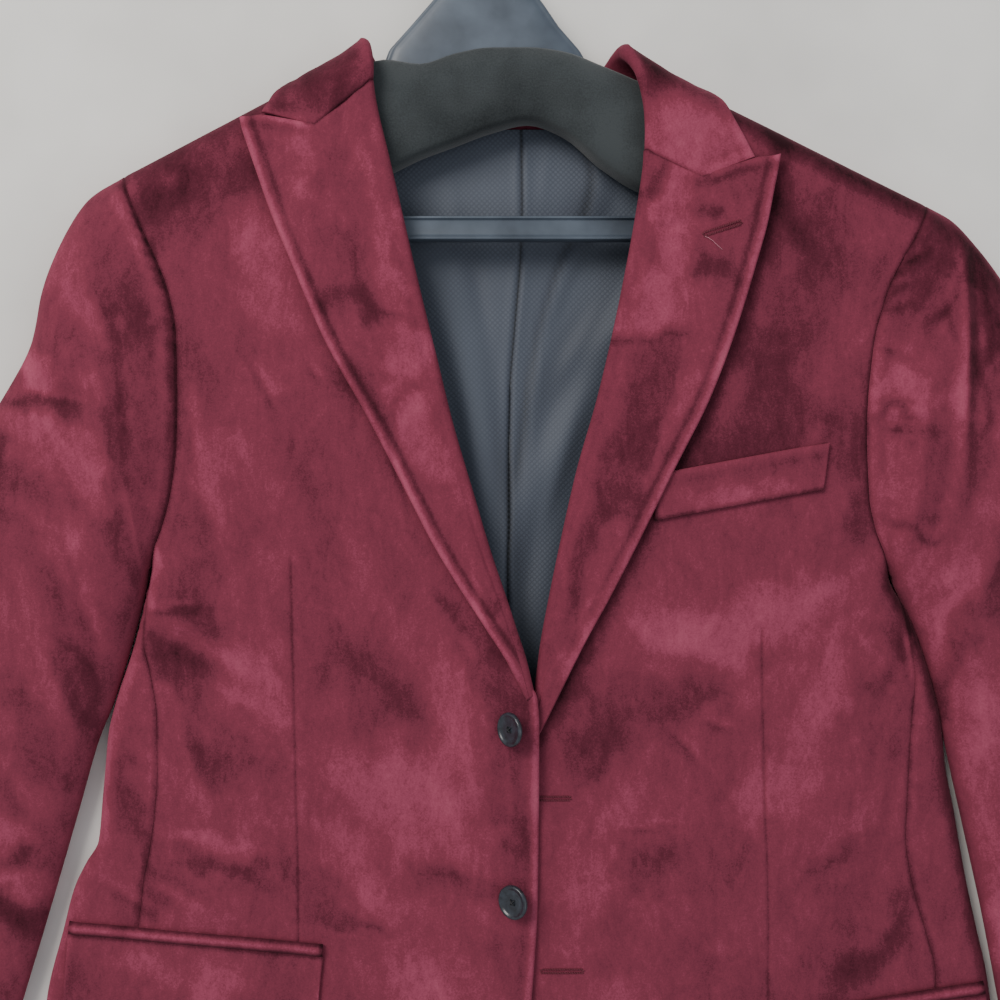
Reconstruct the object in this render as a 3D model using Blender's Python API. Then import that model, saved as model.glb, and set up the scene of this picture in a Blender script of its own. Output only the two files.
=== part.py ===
"""A velvet sport coat with peak lapels, laid flat on its back with its suit hanger still inside.

Sizes are millimetres until a mesh is made. +X is the wearer's left, +Y runs up to the collar and
+Z rises from the floor. Every table gives a side of the coat by "out", the distance outwards from
the line x = 0, so that both sides read alike; the two sides differ a little, as cloth falls.
"""

import math

import bpy
import numpy as np
from mathutils import Matrix, Vector

METRES = 0.001

# Driving sizes of the coat, in millimetres.
CLOTH = 2.0             # velvet and its canvas, one wall
COLLAR_CLOTH = 1.8
LINING_CLOTH = 1.0
SEAM_GAP = 0.3
LAYER_GAP = 0.6         # between a lapel and the front under it
BACK_LENGTH = 760.0     # nape seam to hem
NAPE_Y = 212.5
HEM_Y = NAPE_Y - BACK_LENGTH
CENTRE_BACK_X = -3.0
SHOULDER_ROUND = 18.0   # how far in from the shoulder edge the cloth rolls over
SIDE_ROUND = 11.0
SIDE_FALL = 0.12        # share of the height lost between the centre and the side
ROLL_INSET = 3.6        # a front's edge, in from the lapel fold that wraps it
ROLL_RADIUS = 3.6
LAPEL_TAIL = 9.0        # facing that turns under at the fold
COLLAR_CLEAR = 1.5      # collar leaf above the cloth it lies on
NECK_RAISE = 2.9        # the back is lifted by the collar leaf under it

SIDES = {"right": -1, "left": 1}   # the wearer's sides

# The shoulder seam is the coat's upper edge here: where it would reach the neck, and its end.
SHOULDER = {
    "right": {"neck": (88.5, 260.3), "point": (232.9, 185.5)},
    "left": {"neck": (68.6, 249.3), "point": (233.3, 168.7)},
}


def table(names, *rows):
    """A short table as one array for each named column."""
    values = np.array(rows, float)
    return {name: values[:, i] for i, name in enumerate(names.split())}


# Height of the fronts' outer face along the centre, and of the edge where front meets back.
CROWN = table(
    "y z",
    (300, 42), (250, 42), (180, 41), (100, 38), (20, 33), (-60, 27),
    (-140, 21), (-220, 17), (-320, 14), (-450, 12), (-560, 11),
)
EDGE_HEIGHT = table(
    "y z",
    (300, 20), (160, 20), (60, 16), (-40, 12), (-120, 9), (-220, 7.5), (-560, 5.5),
)

# The coat's side edge. Above the underarm it runs out beyond the armhole.
SIDE_EDGE = {
    "right": table(
        "y out",
        (60, 290), (20, 258), (0, 238), (-20, 224.5), (-38, 218), (-58, 221.6), (-88, 229.8),
        (-118, 240), (-137, 244.6), (-157, 246.6), (-176, 248.4), (-201, 251), (-214, 258.5),
        (-229, 265.5), (-252, 271.6), (-295, 282), (-420, 292), (-560, 298),
    ),
    "left": table(
        "y out",
        (60, 282), (20, 252), (0, 233), (-20, 219.5), (-43, 212.8), (-66, 224.2), (-102, 237.8),
        (-131, 245), (-157, 247.9), (-180, 252.5), (-221, 260), (-253, 267), (-280, 273),
        (-420, 290), (-560, 297),
    ),
}

# The seam between a front and its side panel, on top, and between side panel and back, below.
FRONT_SEAM = {
    "right": table(
        "y out",
        (-38, 217.2), (-58, 219.5), (-80, 221), (-100, 217), (-128, 213.6), (-155, 213.6),
        (-185, 216), (-205, 219), (-225, 223), (-300, 231), (-420, 240), (-560, 246),
    ),
    "left": table(
        "y out",
        (-43, 212), (-62, 219.5), (-85, 224), (-105, 226.5), (-127, 225), (-192, 222.6),
        (-219, 226), (-254, 235.5), (-276, 241), (-420, 246), (-560, 249),
    ),
}
BACK_SEAM = table(
    "y out",
    (-18, 187), (-60, 188.5), (-110, 190.5), (-170, 194), (-240, 202), (-330, 213), (-440, 222),
    (-560, 228),
)

# Down the lapel's fold from the gorge, then down the front edge to the rounded hem corner.
FRONT_LINE = {
    "right": table(
        "y out",
        (234, 85.4), (218.6, 82.7), (179.3, 73.1), (134.5, 63.1), (44.8, 41.2), (-28, 19.9),
        (-78.5, 3.1), (-99, -3.6), (-106, -5.2), (-128, -7.3), (-175, -7.3), (-233, -6.7),
        (-292, -3.2), (-350, 2), (-410, 10), (-470, 26), (-515, 48), (-540, 72), (-549, 96),
    ),
    "left": table(
        "y out",
        (196.2, 66.4), (173.7, 64.2), (134.5, 57.4), (72.9, 44.5), (11.2, 27.7), (-50.4, 14.8),
        (-86.9, 8.1), (-112, 5), (-136, -1.5), (-158, -9), (-166, -12), (-175, -13),
        (-200, -11), (-275, -6), (-340, -1), (-400, 7), (-465, 24), (-512, 46), (-538, 70),
        (-547, 94),
    ),
}
BREAK_Y = {"right": -103.5, "left": -157.0}
# From the shoulder seam to the gorge a front ends at the collar's seam.
NECK_LINE = {
    "right": table("y out", (250.7, 107), (244, 101.5), (239, 95), (234.5, 89.5), (231, 87.9)),
    "left": table("y out", (246.2, 75), (236, 74.7), (225, 74), (210, 71.8), (193, 69.2)),
}

# The armhole on the front, from the shoulder point to the underarm.
FRONT_ARMHOLE = {
    "right": table(
        "out y",
        (231, 186.5), (226, 176), (217.6, 154.8), (208.6, 135), (202.4, 117.5), (198.4, 93.8),
        (197.9, 61.6), (198.8, 34.5), (202.5, 7.3), (208, -14), (213.5, -28), (217.2, -38),
    ),
    "left": table(
        "out y",
        (231.5, 169.6), (227, 161), (220.7, 148.6), (211.6, 132.2), (204.3, 114.7),
        (197.5, 85.9), (194.7, 43.5), (196.5, 2.3), (201.5, -19), (207.5, -33), (212, -43),
    ),
}
# The armhole below, from the shoulder point to the underarm, past the side panel's seam.
BACK_ARMHOLE = {
    "right": table(
        "out y",
        (231, 186.5), (221, 160), (211, 130), (203, 90), (197, 50), (189.5, 10), (187, -18),
        (197, -24.6), (207, -31.3), (217.2, -38),
    ),
    "left": table(
        "out y",
        (231.5, 169.6), (221, 146), (210, 118), (201, 80), (195, 42), (188.5, 6), (187, -20),
        (195.3, -27.6), (203.7, -35.3), (212, -43),
    ),
}
BACK_ARMHOLE_KNOT = 6   # the row of that table where the side panel's seam starts

# Each row of a front starts on the inner line at inner_y and ends on the armhole at share.
FRONT_FAN = {
    "right": table(
        "share inner_y",
        (0, 250.7), (0.010, 248.8), (0.028, 245.2), (0.058, 240.5), (0.105, 235), (0.16, 226),
        (0.24, 205), (0.34, 175), (0.45, 141), (0.56, 105), (0.67, 70), (0.77, 38), (0.86, 10),
        (0.93, -13), (0.97, -28), (1, -38),
    ),
    "left": table(
        "share inner_y",
        (0, 246.2), (0.010, 243.8), (0.028, 239.5), (0.058, 232), (0.105, 219), (0.16, 202),
        (0.24, 180), (0.34, 150), (0.45, 118), (0.56, 86), (0.67, 53), (0.77, 23), (0.86, -5),
        (0.93, -25), (0.97, -36), (1, -43),
    ),
}
FRONT_ROWS_BELOW = {
    "right": (-52, -70, -87, -99, -110, -138, -170, -204, -240, -282, -330, -384, -440, -486, -520,
              -540, -547.5),
    "left": (-56, -72, -90, -110, -131, -146, -157, -170, -204, -240, -282, -330, -384, -440,
             -486, -520, -540, -545.5),
}
# Each row of a back starts on the neck or the centre back seam.
BACK_FAN = {
    "right": table(
        "share inner_out inner_y",
        (0, 107, 250.7), (0.012, 105, 248), (0.035, 102, 243), (0.075, 96, 236.2),
        (0.13, 85, 228.6), (0.21, 66, 220.8), (0.33, 40, 215.2), (0.45, 3, 212.5),
        (0.56, 3, 186), (0.68, 3, 155), (0.83, 3, 80), (1, 3, -8),
    ),
    "left": table(
        "share inner_out inner_y",
        (0, 75, 246.2), (0.012, 73.4, 243.6), (0.035, 70.6, 239), (0.075, 65.4, 232.4),
        (0.13, 56, 225.6), (0.21, 40, 218.8), (0.33, 20, 214.2), (0.45, -3, 212.5),
        (0.56, -3, 186), (0.68, -3, 155), (0.83, -3, 80), (1, -3, -10),
    ),
}
BACK_ROWS_BELOW = (-60, -110, -170, -240, -330, -440, HEM_Y)

# How far the wearer's right front is lifted where it laps over the left one.
LAP_LIFT = table(
    "y z",
    (-30, 0), (-70, 3.5), (-98, 8.2), (-160, 8.0), (-185, 4.6), (-320, 3.6), (-400, 2),
    (-480, 0),
)
LAP_FROM_X, LAP_TO_X = -62.0, -17.0

# Soft troughs (depth below zero) and ridges of the fronts: where, how long, wide and deep.
FRONT_FOLDS = {
    "right": table(
        "out y angle length width depth",
        (150, 120, 75, 60, 26, -2.4), (178, 20, 80, 55, 18, 2.2), (120, -40, 60, 70, 26, -2.2),
        (196, -72, 35, 34, 10, 2.4), (186, -88, 30, 34, 9, -2.4), (170, -160, 20, 52, 20, 2.4),
        (100, -190, -15, 60, 24, -2.0), (180, -232, -30, 40, 15, 1.8),
        (60, -260, 10, 60, 24, 1.8), (150, -380, 80, 80, 26, 2.2), (60, -440, 85, 70, 22, -1.8),
    ),
    "left": table(
        "out y angle length width depth",
        (150, 96, 80, 55, 24, -2.2), (170, -30, 60, 55, 20, 2.2), (206, -88, 60, 30, 9, -2.4),
        (196, -104, 55, 34, 10, 2.2), (120, -100, 40, 60, 24, -2.2), (170, -190, 35, 55, 20, 2.6),
        (208, -222, 50, 40, 13, -2.2), (110, -230, -10, 60, 26, 2.0),
        (80, -330, 75, 70, 26, -1.8), (170, -400, 85, 80, 26, 2.2),
    ),
}

# Lapels: rows down the fold, each with its point on the outer edge; a tent at the notch.
LAPEL = {
    "right": table(
        "fold_out fold_y edge_out edge_y",
        (85.4, 233.4, 159.6, 214.6), (84.2, 227, 157.6, 207.5), (82.4, 217.5, 154.8, 199),
        (77.2, 196, 149, 182), (69, 161, 141, 159), (60.3, 123, 130.4, 133), (50, 81, 112, 90),
        (41.2, 44.8, 87, 44.7), (29, 3, 62.4, 2), (19.9, -28, 44.4, -28), (9.8, -58, 22.6, -59),
        (4.8, -73, 13, -74), (0.4, -87, 6.6, -88), (-2.4, -95.5, 2.6, -96.5),
    ),
    "left": table(
        "fold_out fold_y edge_out edge_y",
        (66.3, 193.8, 141.4, 192.4), (65.9, 188, 140.2, 185), (64.6, 178, 137.8, 173.2),
        (60.6, 153, 134.3, 154.8), (55.6, 126, 128, 131.5), (50, 98, 118.1, 98.3),
        (40.5, 57, 103, 57), (29.5, 18, 84, 18.5), (20.5, -22, 65, -21), (14, -54, 48.5, -54),
        (8.9, -82, 33.5, -82), (5, -112, 18.5, -113), (0.5, -132, 8.4, -133.5),
        (-4.8, -146, 0.6, -147),
    ),
}
NOTCH = {"right": {"share": 0.44, "drop": 17.6}, "left": {"share": 0.44, "drop": 14.0}}
LAPEL_ROWS = 19
LAPEL_COLUMNS = (0.11, 0.27, 0.44, 0.62, 0.81, 1.0)
LAPEL_LIFT = 4.0        # rise of the widest lapel's outer edge off the front

# Collar stations from the gorge to the centre back: face 1 is on the front, -1 on the back.
COLLAR = {
    "right": table(
        "face fold_out fold_y edge_out edge_y neck_out neck_y",
        (1, 85.2, 235.5, 146.8, 216.9, 87.6, 235.3), (1, 84.9, 240, 143.6, 222.6, 91, 237.6),
        (1, 85, 247, 139.6, 230.5, 97, 241.5), (1, 87.4, 258.4, 133.6, 236.2, 104, 248.4),
        (-1, 88.4, 259.6, 127, 239.2, 106.4, 250.0), (-1, 86, 256, 120.6, 236, 102.4, 244.0),
        (-1, 79, 252, 110, 226, 95.4, 235.8), (-1, 66, 247.6, 90, 212.8, 81, 226.6),
        (-1, 44, 243.4, 56, 201.4, 52, 217.4), (-1, 24, 241.2, 29, 197.4, 27, 213.8),
        (-1, 3, 240.6, 3, 196, 3, 212.9),
    ),
    "left": table(
        "face fold_out fold_y edge_out edge_y neck_out neck_y",
        (1, 66.6, 196.5, 127.6, 191.9, 68.8, 196.3), (1, 66.8, 206, 122.6, 201.6, 71, 207.5),
        (1, 66, 220, 116.0, 213.0, 73.2, 220), (1, 61.6, 238, 107.6, 228.2, 74.2, 237),
        (1, 53.4, 254.6, 96.5, 235.4, 74.6, 245.6), (-1, 50.2, 257.8, 87.5, 239.4, 73.8, 244.6),
        (-1, 46, 254.4, 82, 231, 69.2, 237.6), (-1, 38.6, 249.6, 70, 215.6, 59.6, 228.6),
        (-1, 25, 244.6, 46, 202.6, 38.6, 218.4), (-1, 10.6, 241.6, 20, 197.4, 17.4, 214),
        (-1, -3, 240.6, -3, 196, -3, 212.9),
    ),
}
COLLAR_NOTCH = {"right": {"share": 0.536, "drop": 15.9}, "left": {"share": 0.536, "drop": 13.4}}
COLLAR_COLUMNS = (0.13, 0.27, 0.40, 0.536, 0.69, 0.84, 1.0)
COLLAR_STEPS = 17
COLLAR_BULGE = 4.5      # extra height of the fold where it stands over the shoulder

# Sleeve rings past the armhole: the inner and outer edges, thickness, and height of the edges.
SLEEVE = {
    "right": table(
        "in_out in_y out_out out_y thick edge",
        (218.6, -41, 251.6, 174.5, 39, 19), (219.4, -45, 270, 146, 38, 18),
        (220.2, -50, 279.5, 122, 37, 17), (221.4, -56, 285.5, 94, 36, 16),
        (223.4, -64, 304, 59, 34, 15), (227.6, -79, 338, 14, 32, 14), (232.6, -95, 369, -34, 30, 13),
        (240.6, -119, 398, -88, 28, 12), (249.4, -140, 420, -140, 26, 11),
        (262.8, -186, 438, -198, 24, 10.5), (279.1, -241.5, 452, -256, 22, 10),
        (297, -300, 462, -310, 20, 9), (314, -355, 469, -352, 19, 8.5), (329, -405, 474, -388, 18, 8),
        (338, -440, 477, -414, 17, 8),
    ),
    "left": table(
        "in_out in_y out_out out_y thick edge",
        (213.8, -46, 246, 162.4, 39, 19), (215.0, -49.4, 262, 146.4, 38, 18),
        (217.0, -53.6, 277, 127, 37, 17), (219.6, -58, 296, 96, 36, 16),
        (223.0, -64, 319, 52, 34, 15), (228.4, -76, 346, 0, 32, 14), (235.8, -95, 370, -54, 30, 13),
        (243.0, -116, 389, -106, 28, 12), (250.4, -146, 404, -156, 26, 11),
        (258.1, -193.7, 416, -212, 24, 10.5), (268.6, -241, 426, -268, 22, 10),
        (279, -294, 434, -320, 20, 9), (290, -352, 440, -366, 19, 8.5), (299, -408, 444, -404, 18, 8),
        (304, -442, 446, -432, 17, 8),
    ),
}
SLEEVE_FOLDS = {
    "right": table(
        "out y angle length width depth",
        (252, 100, 55, 22, 13, -4.0), (240, 60, 80, 30, 12, 2.0), (272, 62, 15, 34, 8, -2.6),
        (262, 10, 30, 60, 13, -2.4), (300, -10, 62, 60, 14, 2.2), (270, -80, 78, 80, 12, 2.2),
        (330, -120, 55, 60, 16, -2.0), (370, -200, 35, 60, 14, 2.4), (330, -260, 30, 56, 13, -2.4),
        (400, -330, 60, 60, 14, 2.0),
    ),
    "left": table(
        "out y angle length width depth",
        (249, 80, 88, 75, 5, 1.6), (214, 44, 5, 16, 6, -2.8), (216, -16, 5, 20, 6, 2.0),
        (226, 104, 60, 26, 9, -2.2), (290, 40, 60, 50, 14, 2.0), (262, -60, 70, 70, 12, 2.0),
        (330, -110, 50, 60, 16, -2.0), (300, -200, 30, 50, 13, 2.2), (370, -220, 70, 60, 14, -2.0),
        (340, -330, 60, 60, 14, 2.0),
    ),
}
SLEEVE_ROWS = 14

# Back lining: its centre seam, how far out it reaches, and the folds it lies in.
LINING_YS = (209, 196, 178, 155, 128, 98, 66, 30, -12, -70, -160, -300, HEM_Y + 22)
LINING_CENTRE = table(
    "y x",
    (220, -1.8), (170, -1.3), (140, -2.4), (98, -6), (65, -8.4), (24, -9), (-8, -9),
    (-48, -9.6), (-560, -9.6),
)
LINING_REACH = table(
    "y out",
    (220, 52), (205, 100), (190, 130), (160, 168), (120, 180), (60, 182), (0, 172),
    (-80, 172), (-200, 178), (-320, 194), (-560, 206),
)
LINING_FOLDS = table(
    "out y angle length width depth",
    (26, 40, 62, 95, 12, 5.0), (-40, 90, 108, 70, 13, 4.0), (52, 100, 40, 46, 12, 3.0),
    (-22, 0, 100, 70, 11, 3.0), (14, -40, 80, 60, 10, 3.0),
)

# Hanger: arm sections along x, with its top and bottom edges in y and its faces in z.
HANGER_ARMS = table(
    "x top low z_low z_high",
    (-216, 181, 166, 14, 28), (-208, 187, 158, 8, 33), (-190, 196, 157, 7, 35),
    (-150, 217, 168, 8, 34), (-110, 238, 180, 10, 33), (-80, 251, 190.5, 11, 32),
    (-60, 248.6, 200, 12, 31), (-40, 254.6, 207.5, 12, 31), (-20, 258, 215, 12, 31),
    (2, 258, 220, 12, 31), (22, 255.6, 213, 12, 31), (45, 247, 194, 11, 32),
    (68, 237, 180.5, 10, 33), (110, 219, 172, 9, 33), (150, 199, 160, 8, 34),
    (190, 179, 150, 7, 34), (208, 169, 147, 9, 31), (215, 161, 150, 15, 26),
)
HANGER_NECK = table(
    "y x_low x_high z_low z_high",
    (238, -86, 44, 16, 27), (259, -78.3, 31.5, 15, 28), (272, -66.5, 20, 15, 28),
    (285.5, -54.8, 10.8, 15, 28),
    (300, -41.5, -1, 15, 28), (309, -33.5, -8, 15.5, 27.5), (316, -28.5, -13, 17, 26),
)
COVER_ENDS = (-122.0, 104.0)
COVER_CLEAR, COVER_WALL = 0.4, 2.2
BAR = {"x": (-196.0, 190.0), "y": (149.6, 163.2), "z": (18.0, 27.0)}
HOOK_WIRE = 1.9
HOOK_RADIUS = 21.0
HOOK_STEM = 16.0
HOOK_X, HOOK_Z = -20.8, 21.5

# Pockets: corners as (out, y), and how far each stands off the front.
BREAST_WELT = {"low": (74, -11.6), "high": (169.4, 6.0), "depth": 25.5, "off": 0.7, "wall": 1.8}
HIP_POCKET = {
    "right": {"inner": (117.4, -258.6), "outer": (265.6, -246.4)},
    "left": {"inner": (120.5, -305.0), "outer": (268.0, -281.5)},
}
JET_DEPTH, JET_WALL = 6.4, 2.0
FLAP_DEPTH, FLAP_WALL, FLAP_CORNER = 54.0, 2.0, 14.0

# Front buttons: where they are sewn, and how each leans to the wearer's right.
BUTTONS = (
    {"name": "button_upper", "x": -7.4, "y": -129.6, "lean": 49.0},
    {"name": "button_lower", "x": -5.8, "y": -230.6, "lean": 36.0},
)
BUTTON_RADIUS, BUTTON_THICK, BUTTON_RIM = 9.8, 3.4, 2.0
BUTTON_HOLE, BUTTON_HOLE_SPACING = 0.9, 1.9
BUTTON_SEAT = -0.35     # the rim's lowest corner then just clears the cloth

COLOURS = {
    "velvet": (0.205, 0.036, 0.060, 0.86, 0.0),
    "lining": (0.045, 0.052, 0.066, 0.45, 0.0),
    "hanger_plastic": (0.018, 0.020, 0.024, 0.35, 0.0),
    "hanger_felt": (0.042, 0.046, 0.047, 0.95, 0.0),
    "hook_steel": (0.55, 0.55, 0.56, 0.25, 1.0),
    "button_horn": (0.030, 0.034, 0.042, 0.32, 0.0),
}


def clear_scene():
    """Removes what the file opened with."""
    for obj in list(bpy.data.objects):
        bpy.data.objects.remove(obj, do_unlink=True)


def material(slot):
    """The plain finish of one material slot."""
    found = bpy.data.materials.get(slot)
    if found:
        return found
    red, green, blue, rough, metal = COLOURS[slot]
    made = bpy.data.materials.new(slot)
    made.use_nodes = True
    shader = made.node_tree.nodes["Principled BSDF"]
    shader.inputs["Base Color"].default_value = (red, green, blue, 1.0)
    shader.inputs["Roughness"].default_value = rough
    shader.inputs["Metallic"].default_value = metal
    return made


def smooth(at, xs, ys):
    """Reads a smooth curve through (xs, ys) that never overshoots its points."""
    order = np.argsort(xs)
    xs, ys = np.asarray(xs, float)[order], np.asarray(ys, float)[order]
    width = np.diff(xs)
    slope = np.diff(ys) / width
    tangent = np.zeros_like(ys)
    tangent[0], tangent[-1] = slope[0], slope[-1]
    product = slope[:-1] * slope[1:]
    total = np.where(np.abs(slope[:-1] + slope[1:]) < 1e-12, 1.0, slope[:-1] + slope[1:])
    tangent[1:-1] = np.where(product > 0, 2 * product / total, 0.0)
    at = np.asarray(at, float)
    i = np.clip(np.searchsorted(xs, at) - 1, 0, len(width) - 1)
    t = np.clip((at - xs[i]) / width[i], 0, 1)
    h = width[i]
    return (
        ys[i] * (1 + 2 * t) * (1 - t) ** 2
        + h * tangent[i] * t * (1 - t) ** 2
        + ys[i + 1] * t * t * (3 - 2 * t)
        + h * tangent[i + 1] * t * t * (t - 1)
    )


def along(points, shares):
    """Points at these shares of the length of a smooth curve through the given points."""
    points = np.asarray(points, float)
    steps = np.linalg.norm(np.diff(points, axis=0), axis=1)
    place = np.concatenate([[0], np.cumsum(steps)]) / steps.sum()
    return np.stack([smooth(shares, place, points[:, k]) for k in range(points.shape[1])], -1)


def ease(t):
    """0 to 1 with flat ends."""
    t = np.clip(t, 0, 1)
    return t * t * (3 - 2 * t)


def quarter(t):
    """Height of a quarter circle, as a share of its radius, t in from the rim."""
    t = np.clip(t, 0, 1)
    return np.sqrt(np.maximum(0.0, 1 - (1 - t) ** 2))


def fold_height(folds, out, y):
    """Sum of the soft troughs and ridges of a table at these places."""
    total = np.zeros(np.broadcast(out, y).shape)
    for i in range(len(folds["out"])):
        turn = math.radians(folds["angle"][i])
        dx, dy = out - folds["out"][i], y - folds["y"][i]
        far = dx * math.cos(turn) + dy * math.sin(turn)
        across = -dx * math.sin(turn) + dy * math.cos(turn)
        total = total + folds["depth"][i] * np.exp(
            -((far / folds["length"][i]) ** 2) - (across / folds["width"][i]) ** 2
        )
    return total


def shoulder_axes(side):
    """Neck end of the shoulder edge, the unit vector along it and the one into the body."""
    start = np.array(SHOULDER[side]["neck"])
    run = np.array(SHOULDER[side]["point"]) - start
    run = run / np.linalg.norm(run)
    return start, run, np.array([-run[1], run[0]]) * -1


def shoulder_normal(side):
    """The level direction straight out of the shoulder edge, in the frame."""
    _, _, inward = shoulder_axes(side)
    return np.array([-inward[0] * SIDES[side], -inward[1], 0.0])


def into_body(side, out, y):
    """How far a place lies below the shoulder edge."""
    start, _, inward = shoulder_axes(side)
    return (out - start[0]) * inward[0] + (y - start[1]) * inward[1]


def edge_share(side, out, y):
    """0 on the coat's outline and 1 where the cloth lies level."""
    shoulder = quarter(into_body(side, out, y) / SHOULDER_ROUND)
    beside = smooth(y, SIDE_EDGE[side]["y"], SIDE_EDGE[side]["out"]) - out
    return shoulder * quarter(beside / SIDE_ROUND)


def lap_lift(side, out, y):
    """Extra height of the wearer's right front over the left one."""
    if side == "left":
        return np.zeros(np.broadcast(out, y).shape)
    near = ease((-out - LAP_FROM_X) / (LAP_TO_X - LAP_FROM_X))
    return near * smooth(y, LAP_LIFT["y"], LAP_LIFT["z"])


def front_height(side, out, y):
    """Height of a front's outer face."""
    crown = smooth(y, CROWN["y"], CROWN["z"])
    edge = smooth(y, EDGE_HEIGHT["y"], EDGE_HEIGHT["z"])
    top = crown * (1 - SIDE_FALL * np.clip((out - 60) / 170, 0, 1) ** 2)
    top = top + fold_height(FRONT_FOLDS[side], out, y) + lap_lift(side, out, y)
    return edge + (top - edge) * edge_share(side, out, y)


def back_height(side, out, y):
    """Height of the back's outer face, which lies on the floor but for its rim and the neck."""
    edge = smooth(y, EDGE_HEIGHT["y"], EDGE_HEIGHT["z"])
    from_neck = np.hypot((SIDES[side] * out + 8) / 118, (y - 262) / 66)
    base = NECK_RAISE * (1 - ease((from_neck - 1.06) / 0.3))
    return edge + (base - edge) * edge_share(side, out, y)


def front_line(side, y):
    """Outwards place of a front's inner edge: collar seam, lapel fold, then front edge."""
    neck, line = NECK_LINE[side], FRONT_LINE[side]
    inset = ROLL_INSET * ease((y - BREAK_Y[side] + 4) / 8)
    return np.where(
        y > neck["y"][-1],
        smooth(y, neck["y"], neck["out"]),
        smooth(y, line["y"], line["out"]) + inset,
    )


def normals_of(grid, sign):
    """Unit normals of a grid of points."""
    across = np.cross(np.gradient(grid, axis=0), np.gradient(grid, axis=1))
    size = np.linalg.norm(across, axis=2, keepdims=True)
    return sign * across / np.maximum(size, 1e-9)


def add_object(name, verts, faces, slot, sharp=40.0):
    """A mesh object from points in millimetres, shaded smooth between sharp edges."""
    mesh = bpy.data.meshes.new(name)
    mesh.from_pydata([tuple(p * METRES) for p in np.asarray(verts)], [], faces)
    mesh.update()
    mesh.shade_smooth()
    mesh.set_sharp_from_angle(angle=math.radians(sharp))
    obj = bpy.data.objects.new(name, mesh)
    obj.data.materials.append(material(slot))
    bpy.context.scene.collection.objects.link(obj)
    return obj


def wall_between(name, outer, inner, slot, sign):
    """A closed wall from its outer and inner grids; sign +1 if i x j points outwards."""
    rows, cols = outer.shape[:2]
    count = rows * cols

    def at(i, j, layer):
        return layer * count + i * cols + j

    faces = []
    for i in range(rows - 1):
        for j in range(cols - 1):
            quad = (at(i, j, 0), at(i + 1, j, 0), at(i + 1, j + 1, 0), at(i, j + 1, 0))
            under = tuple(k + count for k in quad)
            faces += [quad, under[::-1]] if sign > 0 else [quad[::-1], under]
    rim = [(i, 0) for i in range(rows)]
    rim += [(rows - 1, j) for j in range(1, cols)]
    rim += [(i, cols - 1) for i in range(rows - 2, -1, -1)]
    rim += [(0, j) for j in range(cols - 2, 0, -1)]
    for (i, j), (k, m) in zip(rim, rim[1:] + rim[:1]):
        side = (at(i, j, 0), at(i, j, 1), at(k, m, 1), at(k, m, 0))
        faces.append(side if sign > 0 else side[::-1])
    verts = np.concatenate([outer.reshape(-1, 3), inner.reshape(-1, 3)])
    return add_object(name, verts, faces, slot)


def cloth_wall(name, outer, thickness, slot, sign):
    """A wall of cloth inside its outer grid of points."""
    inner = outer - thickness * normals_of(outer, sign)
    return wall_between(name, outer, inner, slot, sign)


def in_frame(side, out, y, z):
    """Points with x from the outwards distance."""
    out, y, z = np.broadcast_arrays(out, y, z)
    return np.stack([SIDES[side] * out, y, z], -1)


def armhole(tables, side):
    """Points of an armhole's table and the share of its length at each of them."""
    points = np.stack([tables[side]["out"], tables[side]["y"]], -1)
    steps = np.linalg.norm(np.diff(points, axis=0), axis=1)
    return points, np.concatenate([[0], np.cumsum(steps)]) / steps.sum()


def beside(tables, side, shares, gap):
    """Points along an armhole, moved off it by a gap; a positive one moves to the sleeve."""
    points, _ = armhole(tables, side)
    here = along(points, shares)
    ahead = along(points, np.clip(shares + 0.004, 0, 1))
    run = ahead - along(points, np.clip(shares - 0.004, 0, 1))
    run = run / np.linalg.norm(run, axis=1, keepdims=True)
    return here + gap * np.stack([-run[:, 1], run[:, 0]], -1)


def face_normals(height, side, out, y, up):
    """Unit normals of a height's surface, in the frame, on its upper or lower face."""
    step = 0.4
    slope_out = (height(side, out + step, y) - height(side, out - step, y)) / (2 * step)
    slope_y = (height(side, out, y + step) - height(side, out, y - step)) / (2 * step)
    normal = np.stack([-slope_out * SIDES[side], -slope_y, np.ones_like(slope_y)], -1)
    return up * normal / np.linalg.norm(normal, axis=-1, keepdims=True)


def fan_rows(side):
    """Inner and outer end of each row of a front, from the shoulder down to the hem."""
    fan = FRONT_FAN[side]
    outer = beside(FRONT_ARMHOLE, side, fan["share"], -SEAM_GAP)
    below = np.array(FRONT_ROWS_BELOW[side])
    seam = smooth(below, FRONT_SEAM[side]["y"], FRONT_SEAM[side]["out"]) - SEAM_GAP
    outer = np.concatenate([outer, np.stack([seam, below], -1)])
    inner_y = np.concatenate([fan["inner_y"], below])
    inner_y[-1] -= 1.2
    inner = np.stack([front_line(side, inner_y), inner_y], -1)
    return inner, outer


def build_front(side):
    """Front panel, from the lapel fold and front edge out to the armhole and side seam."""
    inner, outer = fan_rows(side)
    share = np.array([0, 0.045, 0.14, 0.27, 0.41, 0.56, 0.71, 0.86, 1.0])
    plan = inner[:, None] + (outer - inner)[:, None] * share[None, :, None]
    out, y = plan[..., 0], plan[..., 1]
    grid = in_frame(side, out, y, front_height(side, out, y))
    grid[0, :, 2] += SEAM_GAP
    normal = face_normals(front_height, side, out, y, 1)
    normal[0] = shoulder_normal(side)
    inside = grid - CLOTH * normal
    return wall_between(f"front_{side}", grid, inside, "velvet", SIDES[side])


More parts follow.
